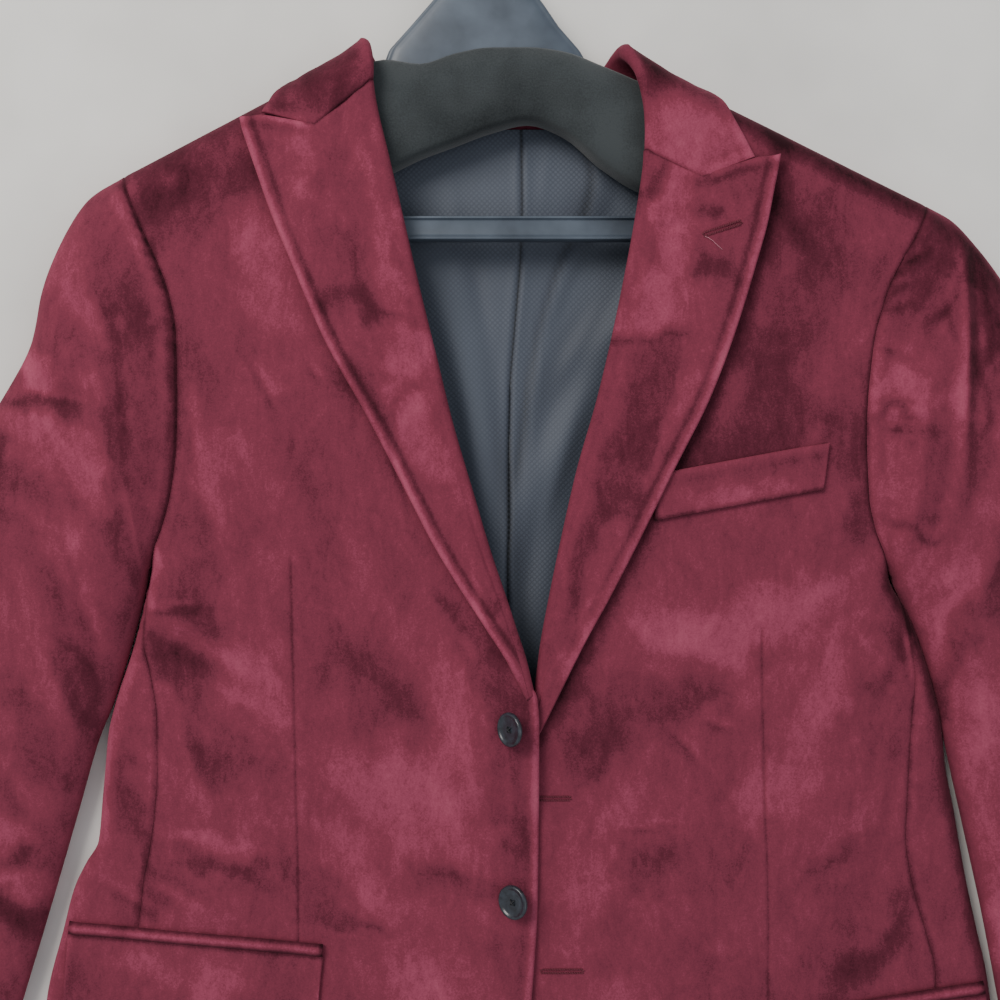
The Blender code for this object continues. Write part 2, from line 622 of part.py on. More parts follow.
def side_section(side, y_top, y_low, out_top, out_low):
    """A side panel's row: over the top, round the edge and under, to the back's seam."""
    edge = smooth(y_top, SIDE_EDGE[side]["y"], SIDE_EDGE[side]["out"])
    turn = np.radians([54, 30, 11, 0])
    start = min(edge - out_top, SIDE_ROUND * 3.2)
    level = np.linspace(0, 1, 3)[:-1]
    rolled = np.minimum(SIDE_ROUND * (1 - np.cos(turn)), start * np.sin(turn))
    top_out = np.concatenate([out_top + (start - rolled[0]) * level, edge - rolled])
    top_z = front_height(side, top_out, np.full_like(top_out, y_top))
    under = np.concatenate([SIDE_ROUND * (1 - np.cos(turn[::-1][1:])), [SIDE_ROUND]])
    low_out = edge - under
    low_out = np.concatenate([low_out, [out_low]])
    share = (edge - low_out) / (edge - out_low)
    low_y = y_top + (y_low - y_top) * share
    low_z = back_height(side, low_out, low_y)
    out = np.concatenate([top_out, low_out])
    y = np.concatenate([np.full_like(top_out, y_top), low_y])
    return in_frame(side, out, y, np.concatenate([top_z, low_z]))


def build_side_panel(side):
    """Panel under the arm, from the front's seam round the edge to the back's seam."""
    corner = FRONT_ARMHOLE[side]["y"][-1]
    tops = np.array([corner] + list(FRONT_ROWS_BELOW[side]))
    turned = armhole(BACK_ARMHOLE, side)[0][BACK_ARMHOLE_KNOT]
    rows = []
    for y in tops:
        level = np.clip((corner - y) / (corner + 110), 0, 1)
        low_y = max(turned[1] + (y - turned[1]) * level, HEM_Y)
        low_out = np.interp(-low_y, -BACK_SEAM["y"], BACK_SEAM["out"]) + SEAM_GAP
        top_out = smooth(y, FRONT_SEAM[side]["y"], FRONT_SEAM[side]["out"]) + SEAM_GAP
        gap = (1 - level) * 1.0
        rows.append(side_section(side, y - gap, low_y - gap, top_out, low_out))
    grid = np.array(rows)
    normal = normals_of(grid, SIDES[side])
    start = grid[:, 0]
    normal[:, 0] = face_normals(front_height, side, SIDES[side] * start[:, 0], start[:, 1], 1)
    flat = grid[..., 2] < 0.01
    normal[flat] = (0, 0, -1)
    inside = grid - CLOTH * normal
    return wall_between(f"side_panel_{side}", grid, inside, "velvet", SIDES[side])


def build_back(side):
    """Back panel on the floor, from the neck and centre back seam to armhole and side."""
    fan = BACK_FAN[side]
    shares = fan["share"] * armhole(BACK_ARMHOLE, side)[1][BACK_ARMHOLE_KNOT]
    outer = beside(BACK_ARMHOLE, side, shares, -SEAM_GAP)
    outer[-1, 0] = BACK_SEAM["out"][0] - SEAM_GAP
    below = np.array(BACK_ROWS_BELOW)
    seam = np.interp(-below, -BACK_SEAM["y"], BACK_SEAM["out"]) - SEAM_GAP
    outer = np.concatenate([outer, np.stack([seam, below], -1)])
    centre = SIDES[side] * CENTRE_BACK_X + SEAM_GAP / 2
    inner = np.stack([fan["inner_out"], fan["inner_y"]], -1)
    inner = np.concatenate([inner, np.stack([np.full(len(below), centre), below], -1)])
    inner[:, 0] = np.maximum(inner[:, 0], centre)
    share = np.array([0, 0.20, 0.44, 0.70, 1.0])
    plan = inner[:, None] + (outer - inner)[:, None] * share[None, :, None]
    out, y = plan[..., 0], plan[..., 1]
    grid = in_frame(side, out, y, back_height(side, out, y))
    grid[0, :, 2] -= SEAM_GAP
    normal = face_normals(back_height, side, out, y, -1)
    normal[0] = shoulder_normal(side)
    inside = grid - CLOTH * normal
    return wall_between(f"back_{side}", grid, inside, "velvet", -SIDES[side])


def lapel_lift(width):
    """Rise of a lapel's outer edge for the lapel's width there."""
    return np.minimum(LAPEL_LIFT, 0.055 * width)


def build_lapel(side):
    """Lapel: turned under at the fold, round it, and out over the front to its peak."""
    rows, leaf = LAPEL[side], np.array(LAPEL_COLUMNS)
    at = np.linspace(0, len(rows["fold_y"]) - 1, LAPEL_ROWS)
    index = np.arange(len(rows["fold_y"]))
    fold = np.stack([smooth(at, index, rows["fold_out"]), smooth(at, index, rows["fold_y"])], -1)
    edge = np.stack([smooth(at, index, rows["edge_out"]), smooth(at, index, rows["edge_y"])], -1)
    outer, inner = [], []
    for i, (f, e) in enumerate(zip(fold, edge)):
        run = e - f
        width = float(np.linalg.norm(run))
        run = run / width
        z_fold = float(front_height(side, f[0] + ROLL_INSET * SIDES["left"], f[1]))
        drop = NOTCH[side]["drop"] * math.exp(-((i / 3.6) ** 2))
        tail = min(LAPEL_TAIL, 0.8 * width)
        sections = []
        for radius in (ROLL_RADIUS, ROLL_RADIUS - CLOTH):
            place = [(max(tail, ROLL_RADIUS + 0.3), -radius), (ROLL_RADIUS + 0.15, -radius)]
            for turn in (-45, 0, 45):
                angle = math.radians(turn)
                place.append((ROLL_RADIUS - radius * math.cos(angle), radius * math.sin(angle)))
            sections.append(
                [[*(f + run * d), z_fold - CLOTH / 2 + z] for d, z in place]
            )
        for k, wall in enumerate((CLOTH, 0.0)):
            for share in leaf:
                d = ROLL_RADIUS + (width - ROLL_RADIUS) * share
                here = f + run * d
                tent = np.interp(d / width, [0, NOTCH[side]["share"], 1], [0, 1, 0])
                here = here - np.array([0, drop * tent])
                rise = LAYER_GAP + lapel_lift(width) * (d / width) ** 2
                z = float(front_height(side, here[0], here[1])) + rise + wall
                sections[k].append([*here, z])
        outer.append(sections[0])
        inner.append(sections[1])
    outer, inner = np.array(outer), np.array(inner)
    flip = np.array([SIDES[side], 1, 1])
    return wall_between(f"lapel_{side}", outer * flip, inner * flip, "velvet", SIDES[side])


def wrap_point(side, place):
    """Point and outward normal on the coat's surface round the shoulder edge.

    place is (along the edge, round it); round it is positive on the front, negative behind.
    """
    start, run, inward = shoulder_axes(side)
    a, b = place
    outward_face = 1.0 if b >= 0 else -1.0
    base = start + run * a
    edge = float(smooth(base[1], EDGE_HEIGHT["y"], EDGE_HEIGHT["z"]))
    reach = abs(b)
    level_at = base + inward * SHOULDER_ROUND
    level = front_height if b >= 0 else back_height
    high = float(level(side, *level_at))
    rise = abs(high - edge)
    arc = math.pi / 2 * math.sqrt((SHOULDER_ROUND**2 + rise**2) / 2)
    if reach < arc:
        turn = reach / arc * math.pi / 2
        depth = SHOULDER_ROUND * (1 - math.cos(turn))
        z = edge + outward_face * rise * math.sin(turn)
        tilt = np.array([rise * math.cos(turn), SHOULDER_ROUND * math.sin(turn)])
        tilt = tilt / np.linalg.norm(tilt)
        flat = -inward * tilt[0]
        normal = np.array([flat[0], flat[1], outward_face * tilt[1]])
    else:
        depth = SHOULDER_ROUND + reach - arc
        here = base + inward * depth
        z = float(level(side, here[0], here[1]))
        normal = np.array([0, 0, outward_face])
    plan = base + inward * depth
    return np.array([plan[0], plan[1], z]), normal


def wrap_place(side, face, out, y):
    """(along, round) of a place seen from above, on the front or on the back."""
    start, run, inward = shoulder_axes(side)
    rel = np.array([out, y]) - start
    a, depth = float(rel @ run), max(float(rel @ inward), 0.0)
    base = start + run * a
    edge = float(smooth(base[1], EDGE_HEIGHT["y"], EDGE_HEIGHT["z"]))
    level = front_height if face > 0 else back_height
    rise = abs(float(level(side, *(base + inward * SHOULDER_ROUND))) - edge)
    arc = math.pi / 2 * math.sqrt((SHOULDER_ROUND**2 + rise**2) / 2)
    if depth < SHOULDER_ROUND:
        reach = arc * math.acos(1 - depth / SHOULDER_ROUND) / (math.pi / 2)
    else:
        reach = arc + depth - SHOULDER_ROUND
    return a, face * reach


def collar_half(side, steps):
    """Outer grid of half the collar, from the gorge to the centre back."""
    rows = COLLAR[side]
    count = len(rows["face"])
    ends = {}
    for end in ("fold", "edge", "neck"):
        ends[end] = np.array([
            wrap_place(side, rows["face"][i], rows[f"{end}_out"][i], rows[f"{end}_y"][i])
            for i in range(count)
        ])
    at = np.linspace(0, count - 1, steps)
    index = np.arange(count)
    leaf = np.array(COLLAR_COLUMNS)
    notch = COLLAR_NOTCH[side]
    _, run, inward = shoulder_axes(side)
    down = -np.array([run[1], inward[1]])
    grid = []
    for step, p in enumerate(at):
        fold, edge, neck = (
            np.array([smooth(p, index, ends[end][:, k]) for k in (0, 1)])
            for end in ("fold", "edge", "neck")
        )
        crest = math.exp(-((fold[1] / 26) ** 2))
        bend = notch["drop"] * math.exp(-((step / 4.0) ** 2))
        neck = neck + (fold - neck) / np.linalg.norm(fold - neck) * min(1.0, step)
        lift = COLLAR_CLEAR + COLLAR_CLOTH
        line = []
        for share in leaf[::-1]:
            reach = np.interp(share, [0, notch["share"], 1], [0, 1, 0])
            place = fold + (edge - fold) * share + bend * reach * down
            point, normal = wrap_point(side, place)
            flat = COLLAR_CLEAR + COLLAR_CLOTH if normal[2] > -0.5 else 0.0
            extra = COLLAR_BULGE * crest * (1 - share) ** 2
            if normal[2] <= -0.999:
                point[2] = 0.0
                normal = np.zeros(3)
            line.append(point + normal * (max(flat, lift) + extra))
        here, normal = wrap_point(side, fold)
        behind, _ = wrap_point(side, fold + (edge - fold) * 0.05)
        onward = here - behind
        onward = onward - normal * float(onward @ normal)
        onward = onward / np.linalg.norm(onward)
        high = lift + COLLAR_BULGE * crest
        if normal[2] <= -0.999:
            high = here[2]
        radius = (high + COLLAR_CLOTH) / 2
        centre = here + normal * (high - radius) - onward * radius
        for turn in (50, 0, -50):
            angle = math.radians(turn)
            line.append(centre + radius * (onward * math.cos(angle) + normal * math.sin(angle)))
        for share in (0.35, 1.0):
            point, facing = wrap_point(side, fold + (neck - fold) * share)
            line.append(point - facing * COLLAR_CLOTH)
        grid.append(line)
    grid = np.array(grid) * np.array([SIDES[side], 1, 1])
    grid[..., 2] = np.maximum(grid[..., 2], 0.0)
    return grid


def build_collar():
    """Collar round the neck, its leaf folded out over fronts and back."""
    right, left = collar_half("right", COLLAR_STEPS), collar_half("left", COLLAR_STEPS)
    middle = (right[-1] + left[-1]) / 2
    grid = np.concatenate([right[:-1], middle[None], left[-2::-1]])
    return cloth_wall("collar", grid, COLLAR_CLOTH, "velvet", -1)


def ring_point(row, share, below):
    """A point of a sleeve ring, at a share of its width from the inner edge."""
    inner = np.array([row["in_out"], row["in_y"]])
    outer = np.array([row["out_out"], row["out_y"]])
    width = np.linalg.norm(outer - inner)
    plan = inner + (outer - inner) * share
    rim = min(share, 1 - share) * width
    if below:
        z = row["edge"] * (1 - float(quarter(rim / 14.0)))
    else:
        z = row["edge"] + (row["thick"] - row["edge"]) * float(quarter(rim / (0.36 * width))) ** 0.9
    return np.array([plan[0], plan[1], z])


def sleeve_grid(side, top, low, steps):
    """Points round a sleeve from the armhole to the cuff: top shares, then low shares."""
    rows = SLEEVE[side]
    count = len(rows["thick"])
    front = beside(FRONT_ARMHOLE, side, 1 - np.array(top), SEAM_GAP)
    front_z = front_height(side, front[:, 0], front[:, 1])
    back = beside(BACK_ARMHOLE, side, 1 - np.array(low), SEAM_GAP)
    back_z = back_height(side, back[:, 0], back[:, 1])
    first = np.concatenate([
        np.stack([front[:, 0], front[:, 1], front_z], -1),
        np.stack([back[:, 0], back[:, 1], back_z], -1),
    ])
    first[:, 2] = np.where(first[:, 2] < 0.02, 0.0, first[:, 2])
    rings = [first]
    for i in range(count):
        row = {name: rows[name][i] for name in rows}
        rings.append(np.array(
            [ring_point(row, s, False) for s in top] + [ring_point(row, s, True) for s in low]
        ))
    rings = np.array(rings)
    at = np.linspace(0, 1, steps) ** 1.15 * count
    index = np.arange(count + 1)
    dense = np.empty((steps, rings.shape[1], 3))
    for j in range(rings.shape[1]):
        for k in range(3):
            dense[:, j, k] = smooth(at, index, rings[:, j, k])
    fade = ease(at / 1.5)[:, None]
    tops = dense[:, : len(top)]
    inside = np.minimum(np.array(top), 1 - np.array(top))[None, :]
    tops[..., 2] += fade * ease(inside / 0.12) * fold_height(
        SLEEVE_FOLDS[side], tops[..., 0], tops[..., 1]
    )
    return dense


def sleeve_wall(name, side, grid, sign):
    """A sleeve's wall, upright over the floor where it rests."""
    grid = grid * np.array([SIDES[side], 1, 1])
    normal = normals_of(grid, sign)
    normal[grid[..., 2] < 0.01] = (0, 0, -1)
    return wall_between(name, grid, grid - CLOTH * normal, "velvet", sign)


def build_sleeve(side):
    """Top sleeve, wrapped a little way under at both edges, and under sleeve."""
    knot = armhole(BACK_ARMHOLE, side)[1][BACK_ARMHOLE_KNOT]
    low = 1 - BACK_FAN[side]["share"] * knot
    tops = tuple(1 - FRONT_FAN[side]["share"][::-1])
    seam_in, seam_out = low[-1], low[4]
    tuck_in = (seam_in * 0.30, seam_in * 0.65, seam_in)
    tuck_out = (seam_out, (seam_out + 1) / 2)
    grid = sleeve_grid(side, tops, tuck_in + tuck_out, SLEEVE_ROWS)
    count = len(tops)
    order = [count + 2, count + 1, count, *range(count), count + 4, count + 3]
    sleeve_wall(f"top_sleeve_{side}", side, grid[:, order], SIDES[side])
    shares = list(low[4:][::-1])
    shares[0] += 0.0045
    shares[-1] -= 0.0045
    under = sleeve_grid(side, (), tuple(shares), SLEEVE_ROWS)
    sleeve_wall(f"under_sleeve_{side}", side, under, -SIDES[side])


def build_back_lining(side):
    """Lining of the back, seen through the neck; the left piece folds over in a pleat."""
    ys = np.array(LINING_YS)
    centre = smooth(ys, LINING_CENTRE["y"], LINING_CENTRE["x"])
    reach = smooth(ys, LINING_REACH["y"], LINING_REACH["out"])
    shares = np.array([0, 0.08, 0.20, 0.36, 0.56, 0.78, 1.0])
    inner = SIDES[side] * centre + SEAM_GAP / 2
    out = inner[:, None] + (reach - inner)[:, None] * shares[None]
    y = np.broadcast_to(ys[:, None], out.shape)
    x = SIDES[side] * out
    from_neck = np.hypot((x + 8) / 118, (y - 262) / 66)
    floor = CLOTH + 0.5 + (NECK_RAISE + 0.3) * (1 - ease((from_neck - 1.2) / 0.6))
    swell = fold_height(LINING_FOLDS, x, y) * ease((reach[:, None] - out) / 40)
    z = floor + LINING_CLOTH + np.maximum(swell, 0) * ease((209 - y) / 14)
    grid = np.stack([x, y, z], -1)
    return wall_between(
        f"back_lining_{side}", grid, grid - np.array([0, 0, LINING_CLOTH]), "lining", SIDES[side]
    )


def on_front(side, plan, off):
    """Points standing off a front's outer face."""
    z = front_height(side, plan[..., 0], plan[..., 1]) + off
    return in_frame(side, plan[..., 0], plan[..., 1], z)


def lying_panel(name, side, plan, off, wall):
    """A flat piece that lies on a front, made from the front's own face moved out."""
    outer, inner = on_front(side, plan, off + wall), on_front(side, plan, off)
    return wall_between(name, outer, inner, "velvet", SIDES[side])


def build_breast_welt():
    """Welt of the breast pocket, on the wearer's left."""
    low, high = np.array(BREAST_WELT["low"]), np.array(BREAST_WELT["high"])
    across, up = np.linspace(0, 1, 8), np.linspace(0, 1, 4)
    base = low + (high - low) * across[:, None]
    plan = base[:, None] + np.array([0, BREAST_WELT["depth"]]) * up[None, :, None]
    lean = np.array([3.0, 0]) * up[None, :, None] * (across[:, None, None] > 0.99)
    plan = (plan + lean)[:, ::-1]
    return lying_panel("breast_welt", "left", plan.transpose(1, 0, 2), BREAST_WELT["off"],
                       BREAST_WELT["wall"])


def hip_line(side, shares):
    """Points along a hip pocket's mouth and the direction square to it, downwards."""
    inner, outer = (np.array(HIP_POCKET[side][end]) for end in ("inner", "outer"))
    run = (outer - inner) / np.linalg.norm(outer - inner)
    down = np.array([run[1], -run[0]])
    return inner + (outer - inner) * shares[:, None], down if down[1] < 0 else -down


def build_hip_pocket(side):
    """Jet along the pocket's mouth, and the flap that hangs from under it."""
    shares = np.array([0, 0.03, 0.095, 0.25, 0.42, 0.58, 0.75, 0.905, 0.97, 1])
    mouth, down = hip_line(side, shares)
    rows = np.array([0, 1.0])
    jet = mouth[None] + down * (rows[:, None, None] * JET_DEPTH)
    lying_panel(f"hip_jet_{side}", side, jet, 1.0, JET_WALL)
    depths = np.array([0, 0.3, 0.65, 1.0])
    length = np.linalg.norm(mouth[-1] - mouth[0])
    from_end = np.minimum(shares, 1 - shares) * length
    cut = FLAP_CORNER - np.sqrt(
        np.maximum(0, FLAP_CORNER**2 - np.maximum(0, FLAP_CORNER - from_end) ** 2)
    )
    reach = FLAP_DEPTH - cut * 0.9
    start = JET_DEPTH + 0.5
    flap = mouth[None] + down * (start + depths[:, None] * reach[None])[..., None]
    lying_panel(f"hip_flap_{side}", side, flap, 0.8, FLAP_WALL)


def lathe(profile, segments):
    """Rings of points turned about z, from (radius, z) pairs."""
    angle = np.linspace(0, 2 * math.pi, segments, endpoint=False)
    return np.array([
        [(r * math.cos(a), r * math.sin(a), z) for a in angle] for r, z in profile
    ])


def closed_loft(name, rings, slot, sharp=40.0):
    """A closed solid through rings of points, with flat caps."""
    rings = np.asarray(rings)
    count, size = rings.shape[:2]
    faces = [tuple(range(size))[::-1], tuple((count - 1) * size + k for k in range(size))]
    for i in range(count - 1):
        for k in range(size):
            n = (k + 1) % size
            faces.append((i * size + k, i * size + n, (i + 1) * size + n, (i + 1) * size + k))
    made = add_object(name, rings.reshape(-1, 3), faces, slot, sharp)
    make_outward(made)
    return made


def make_outward(obj):
    """Turns the faces out if the solid is inside out."""
    mesh = obj.data
    mesh.calc_loop_triangles()
    volume = 0.0
    for tri in mesh.loop_triangles:
        a, b, c = (mesh.vertices[k].co for k in tri.vertices)
        volume += a.dot(b.cross(c))
    if volume < 0:
        mesh.flip_normals()


def boolean(obj, other, operation):
    """Joins or cuts obj with a hidden helper."""
    other.hide_render = True
    other.display_type = "WIRE"
    change = obj.modifiers.new(f"{operation.lower()} {other.name}", "BOOLEAN")
    change.operation = operation
    change.object = other
    change.solver = "EXACT"


def build_buttons():
    """Two four-hole buttons, leaning on the front they are sewn to."""
    for spec in BUTTONS:
        r, t = BUTTON_RADIUS, BUTTON_THICK
        profile = [
            (r - 1.2, 0), (r, 1.1), (r, t - 0.8), (r - 0.7, t), (r - BUTTON_RIM, t),
            (r - BUTTON_RIM - 0.9, t - 0.9),
        ]
        button = closed_loft(spec["name"], lathe(profile, 20), "button_horn", 30)
        holes = []
        for k in range(4):
            angle = math.radians(45 + 90 * k)
            hole = closed_loft(
                f"{spec['name']}_hole_{k}", lathe([(BUTTON_HOLE, -2), (BUTTON_HOLE, t + 2)], 6),
                "button_horn",
            )
            centre = Vector((math.cos(angle), math.sin(angle), 0)) * BUTTON_HOLE_SPACING
            hole.location = centre * METRES
            boolean(button, hole, "DIFFERENCE")
            holes.append(hole)
        lean = math.radians(spec["lean"])
        rest = float(front_height("right", -spec["x"] + r * math.cos(lean), spec["y"]))
        centre = Vector((spec["x"], spec["y"], rest + BUTTON_SEAT + r * math.sin(lean)))
        place = Matrix.Translation(centre * METRES) @ Matrix.Rotation(-lean, 4, "Y")
        for piece in [button, *holes]:
            piece.matrix_world = place @ piece.matrix_basis


def oval_ring(count, square=2.6):
    """Unit points round a squared oval."""
    angle = np.linspace(0, 2 * math.pi, count, endpoint=False)
    c, s = np.cos(angle), np.sin(angle)
    return np.stack([
        np.sign(c) * np.abs(c) ** (2 / square), np.sign(s) * np.abs(s) ** (2 / square)
    ], -1)


def arm_rings(xs, grow):
    """Rings of the hanger's arms at these x, grown outwards."""
    shape = oval_ring(14)
    rings = []
    for x in xs:
        top, low, z_low, z_high = (
            float(smooth(x, HANGER_ARMS["x"], HANGER_ARMS[name]))
            for name in ("top", "low", "z_low", "z_high")
        )
        half_y, half_z = (top - low) / 2 + grow, (z_high - z_low) / 2 + grow
        ring = [
            (x, (top + low) / 2 + half_y * u, (z_low + z_high) / 2 + half_z * v)
            for u, v in shape
        ]
        rings.append(ring)
    return rings


def neck_rings(grow):
    """Rings of the hanger's flat neck, grown outwards."""
    shape = oval_ring(16, 4.0)
    rings = []
    columns = (HANGER_NECK[name] for name in ("y", "x_low", "x_high", "z_low", "z_high"))
    for y, x0, x1, z0, z1 in zip(*columns):
        half_x, half_z = (x1 - x0) / 2 + grow, (z1 - z0) / 2 + grow
        rings.append([
            ((x0 + x1) / 2 + half_x * u, y, (z0 + z1) / 2 + half_z * v) for u, v in shape
        ])
    return rings


def build_hanger():
    """Moulded suit hanger: arms, neck and trouser bar in one, a felt cover and a wire hook."""
    body = closed_loft("hanger_body", arm_rings(HANGER_ARMS["x"], 0), "hanger_plastic")
    neck = closed_loft("neck_form", neck_rings(0), "hanger_plastic")
    boolean(body, neck, "UNION")
    (x0, x1), (y0, y1), (z0, z1) = BAR["x"], BAR["y"], BAR["z"]
    shape = oval_ring(12, 5.0)
    bar_rings = [
        [(x, (y0 + y1) / 2 + (y1 - y0) / 2 * u, (z0 + z1) / 2 + (z1 - z0) / 2 * v)
         for u, v in shape]
        for x in (x0, x1)
    ]
    bar = closed_loft("bar_form", bar_rings, "hanger_plastic")
    boolean(body, bar, "UNION")
    inside = [x for x in HANGER_ARMS["x"] if COVER_ENDS[0] < x < COVER_ENDS[1]]
    ends = np.array([COVER_ENDS[0], *inside, COVER_ENDS[1]])
    cover = closed_loft(
        "hanger_cover", arm_rings(ends, COVER_CLEAR + COVER_WALL), "hanger_felt"
    )
    longer = [COVER_ENDS[0] - 3, *ends[1:-1], COVER_ENDS[1] + 3]
    boolean(cover, closed_loft("arm_space", arm_rings(longer, COVER_CLEAR), "hanger_felt"),
            "DIFFERENCE")
    boolean(cover, closed_loft("neck_space", neck_rings(COVER_CLEAR), "hanger_felt"),
            "DIFFERENCE")
    build_hook()


def build_hook():
    """Wire hook on the neck: a short stem, then most of a circle."""
    base_y = HANGER_NECK["y"][-1] + SEAM_GAP
    points = [(HOOK_X, base_y), (HOOK_X, base_y + HOOK_STEM * 0.6)]
    centre_y = base_y + HOOK_STEM + HOOK_RADIUS
    for turn in np.linspace(-90, 125, 17):
        angle = math.radians(turn)
        reach = HOOK_RADIUS * math.cos(angle) * float(ease((turn + 90) / 40))
        points.append((HOOK_X + reach, centre_y + HOOK_RADIUS * math.sin(angle)))
    curve = bpy.data.curves.new("hanger_hook", "CURVE")
    curve.dimensions = "3D"
    curve.bevel_depth = HOOK_WIRE * METRES
    curve.bevel_resolution = 1
    curve.use_fill_caps = True
    spline = curve.splines.new("POLY")
    spline.points.add(len(points) - 1)
    for point, (x, y) in zip(spline.points, points):
        point.co = (x * METRES, y * METRES, HOOK_Z * METRES, 1)
    hook = bpy.data.objects.new("hanger_hook", curve)
    curve.materials.append(material("hook_steel"))
    bpy.context.scene.collection.objects.link(hook)


def centre_origin():
    """Moves everything so that the origin is under the middle of the coat and hanger."""
    bpy.context.view_layer.update()
    seen = [obj for obj in bpy.data.objects if not obj.hide_render]
    corners = np.array([obj.matrix_world @ Vector(c) for obj in seen for c in obj.bound_box])
    middle = (corners.min(axis=0) + corners.max(axis=0)) / 2
    for obj in bpy.data.objects:
        obj.matrix_world = Matrix.Translation((-middle[0], -middle[1], 0)) @ obj.matrix_world


def main():
    """Builds every piece, then sets the origin under the middle of the coat and hanger."""
    clear_scene()
    for side in SIDES:
        build_front(side)
        build_side_panel(side)
        build_back(side)
        build_lapel(side)
        build_sleeve(side)
        build_back_lining(side)
        build_hip_pocket(side)
    build_collar()
    build_breast_welt()
    build_buttons()
    build_hanger()
    centre_origin()


main()
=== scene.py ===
"""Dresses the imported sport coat: fine cloth on the form of its solids, and every finish.

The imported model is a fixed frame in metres. Sizes here are millimetres on the coat's own plan,
which OFFSET carries into the frame. +X is the wearer's left, +Y runs up to the collar and +Z
rises from the floor. Tables give a side of the coat by "out", the distance outwards from x = 0.
"""

import logging
import math
from collections.abc import Callable, Sequence
from dataclasses import dataclass
from enum import Enum

import bpy
import numpy as np
from mathutils import Matrix, Vector


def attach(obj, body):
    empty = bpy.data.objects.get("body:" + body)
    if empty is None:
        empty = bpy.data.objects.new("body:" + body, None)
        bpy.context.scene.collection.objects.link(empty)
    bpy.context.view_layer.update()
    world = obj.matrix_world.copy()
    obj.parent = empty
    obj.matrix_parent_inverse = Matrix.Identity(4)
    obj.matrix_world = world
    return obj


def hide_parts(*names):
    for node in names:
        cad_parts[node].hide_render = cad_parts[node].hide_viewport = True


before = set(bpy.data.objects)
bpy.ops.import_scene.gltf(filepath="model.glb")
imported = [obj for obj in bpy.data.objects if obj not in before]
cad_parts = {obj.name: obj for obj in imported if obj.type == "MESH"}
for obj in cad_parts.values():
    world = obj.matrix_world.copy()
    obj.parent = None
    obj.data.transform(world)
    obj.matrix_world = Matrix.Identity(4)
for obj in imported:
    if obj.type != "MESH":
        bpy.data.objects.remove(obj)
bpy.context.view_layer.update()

LOG = logging.getLogger("sport_coat")
Array = np.ndarray
Table = dict[str, Array]
METRES = 0.001
BODY = "root"


class Side(str, Enum):
    """The wearer's sides."""

    RIGHT = "right"
    LEFT = "left"

    @property
    def sign(self) -> int:
        """The sign of x on this side."""
        return -1 if self is Side.RIGHT else 1


def table(names: str, *rows: tuple[float, ...]) -> Table:
    """A short table as one array for each named column.

    Args:
        names: The columns' names, with spaces between.
        rows: One tuple of numbers a row.

    Returns:
        The columns by name.
    """
    values = np.array(rows, float)
    return {name: values[:, i] for i, name in enumerate(names.split())}


def patches(*rows: tuple[float, ...]) -> Table:
    """A table of folds, creases, brushed patches and painted shade.

    Args:
        rows: For each, its middle outwards and up, its direction in degrees, half its length
            and half its width, then how high it is or how light it makes the cloth.

    Returns:
        The columns by name.
    """
    return table("out y angle length width depth", *rows)


# Driving sizes of the coat, in millimetres.
CLOTH = 2.0             # velvet and its canvas, one wall
COLLAR_CLOTH = 1.8
LINING_CLOTH = 1.0
SEAM_GAP = 0.1
LAYER_GAP = 0.6         # between a lapel and the front under it
BACK_LENGTH = 760.0     # nape seam to hem
NAPE_Y = 212.5
HEM_Y = NAPE_Y - BACK_LENGTH
CENTRE_BACK_X = -3.0
SHOULDER_ROUND = 18.0   # how far in from the shoulder edge the cloth rolls over
SIDE_ROUND = 11.0
SIDE_FALL = 0.12        # share of the height lost between the centre and the side
ROLL_INSET = 3.6        # a front's edge, in from the lapel fold that wraps it
ROLL_RADIUS = 3.6
LAPEL_TAIL = 9.0        # facing that turns under at the fold
COLLAR_CLEAR = 1.5      # collar leaf above the cloth it lies on
NECK_RAISE = 2.9        # the back is lifted by the collar leaf under it

# The shoulder seam is the coat's upper edge here: where it would reach the neck, and its end.
SHOULDER = {
    "right": {"neck": (88.5, 260.3), "point": (232.9, 185.5)},
    "left": {"neck": (68.6, 249.3), "point": (233.3, 168.7)},
}

# Height of the fronts' outer face along the centre, and of the edge where front meets back.
CROWN = table(
    "y z",
    (300, 42), (250, 42), (180, 41), (100, 38), (20, 33), (-60, 27),
    (-140, 21), (-220, 17), (-320, 14), (-450, 12), (-560, 11),
)
EDGE_HEIGHT = table(
    "y z",
    (300, 20), (160, 20), (60, 16), (-40, 12), (-120, 9), (-220, 7.5), (-560, 5.5),
)

# The coat's side edge. Above the underarm it runs out beyond the armhole.
SIDE_EDGE = {
    "right": table(
        "y out",
        (60, 290), (20, 258), (0, 238), (-20, 224.5), (-38, 218), (-58, 221.6), (-88, 229.8),
        (-118, 240), (-137, 244.6), (-157, 246.6), (-176, 248.4), (-201, 251), (-214, 258.5),
        (-229, 265.5), (-252, 271.6), (-295, 282), (-420, 292), (-560, 298),
    ),
    "left": table(
        "y out",
        (60, 282), (20, 252), (0, 233), (-20, 219.5), (-43, 212.8), (-66, 224.2), (-102, 237.8),
        (-131, 245), (-157, 247.9), (-180, 252.5), (-221, 260), (-253, 267), (-280, 273),
        (-420, 290), (-560, 297),
    ),
}

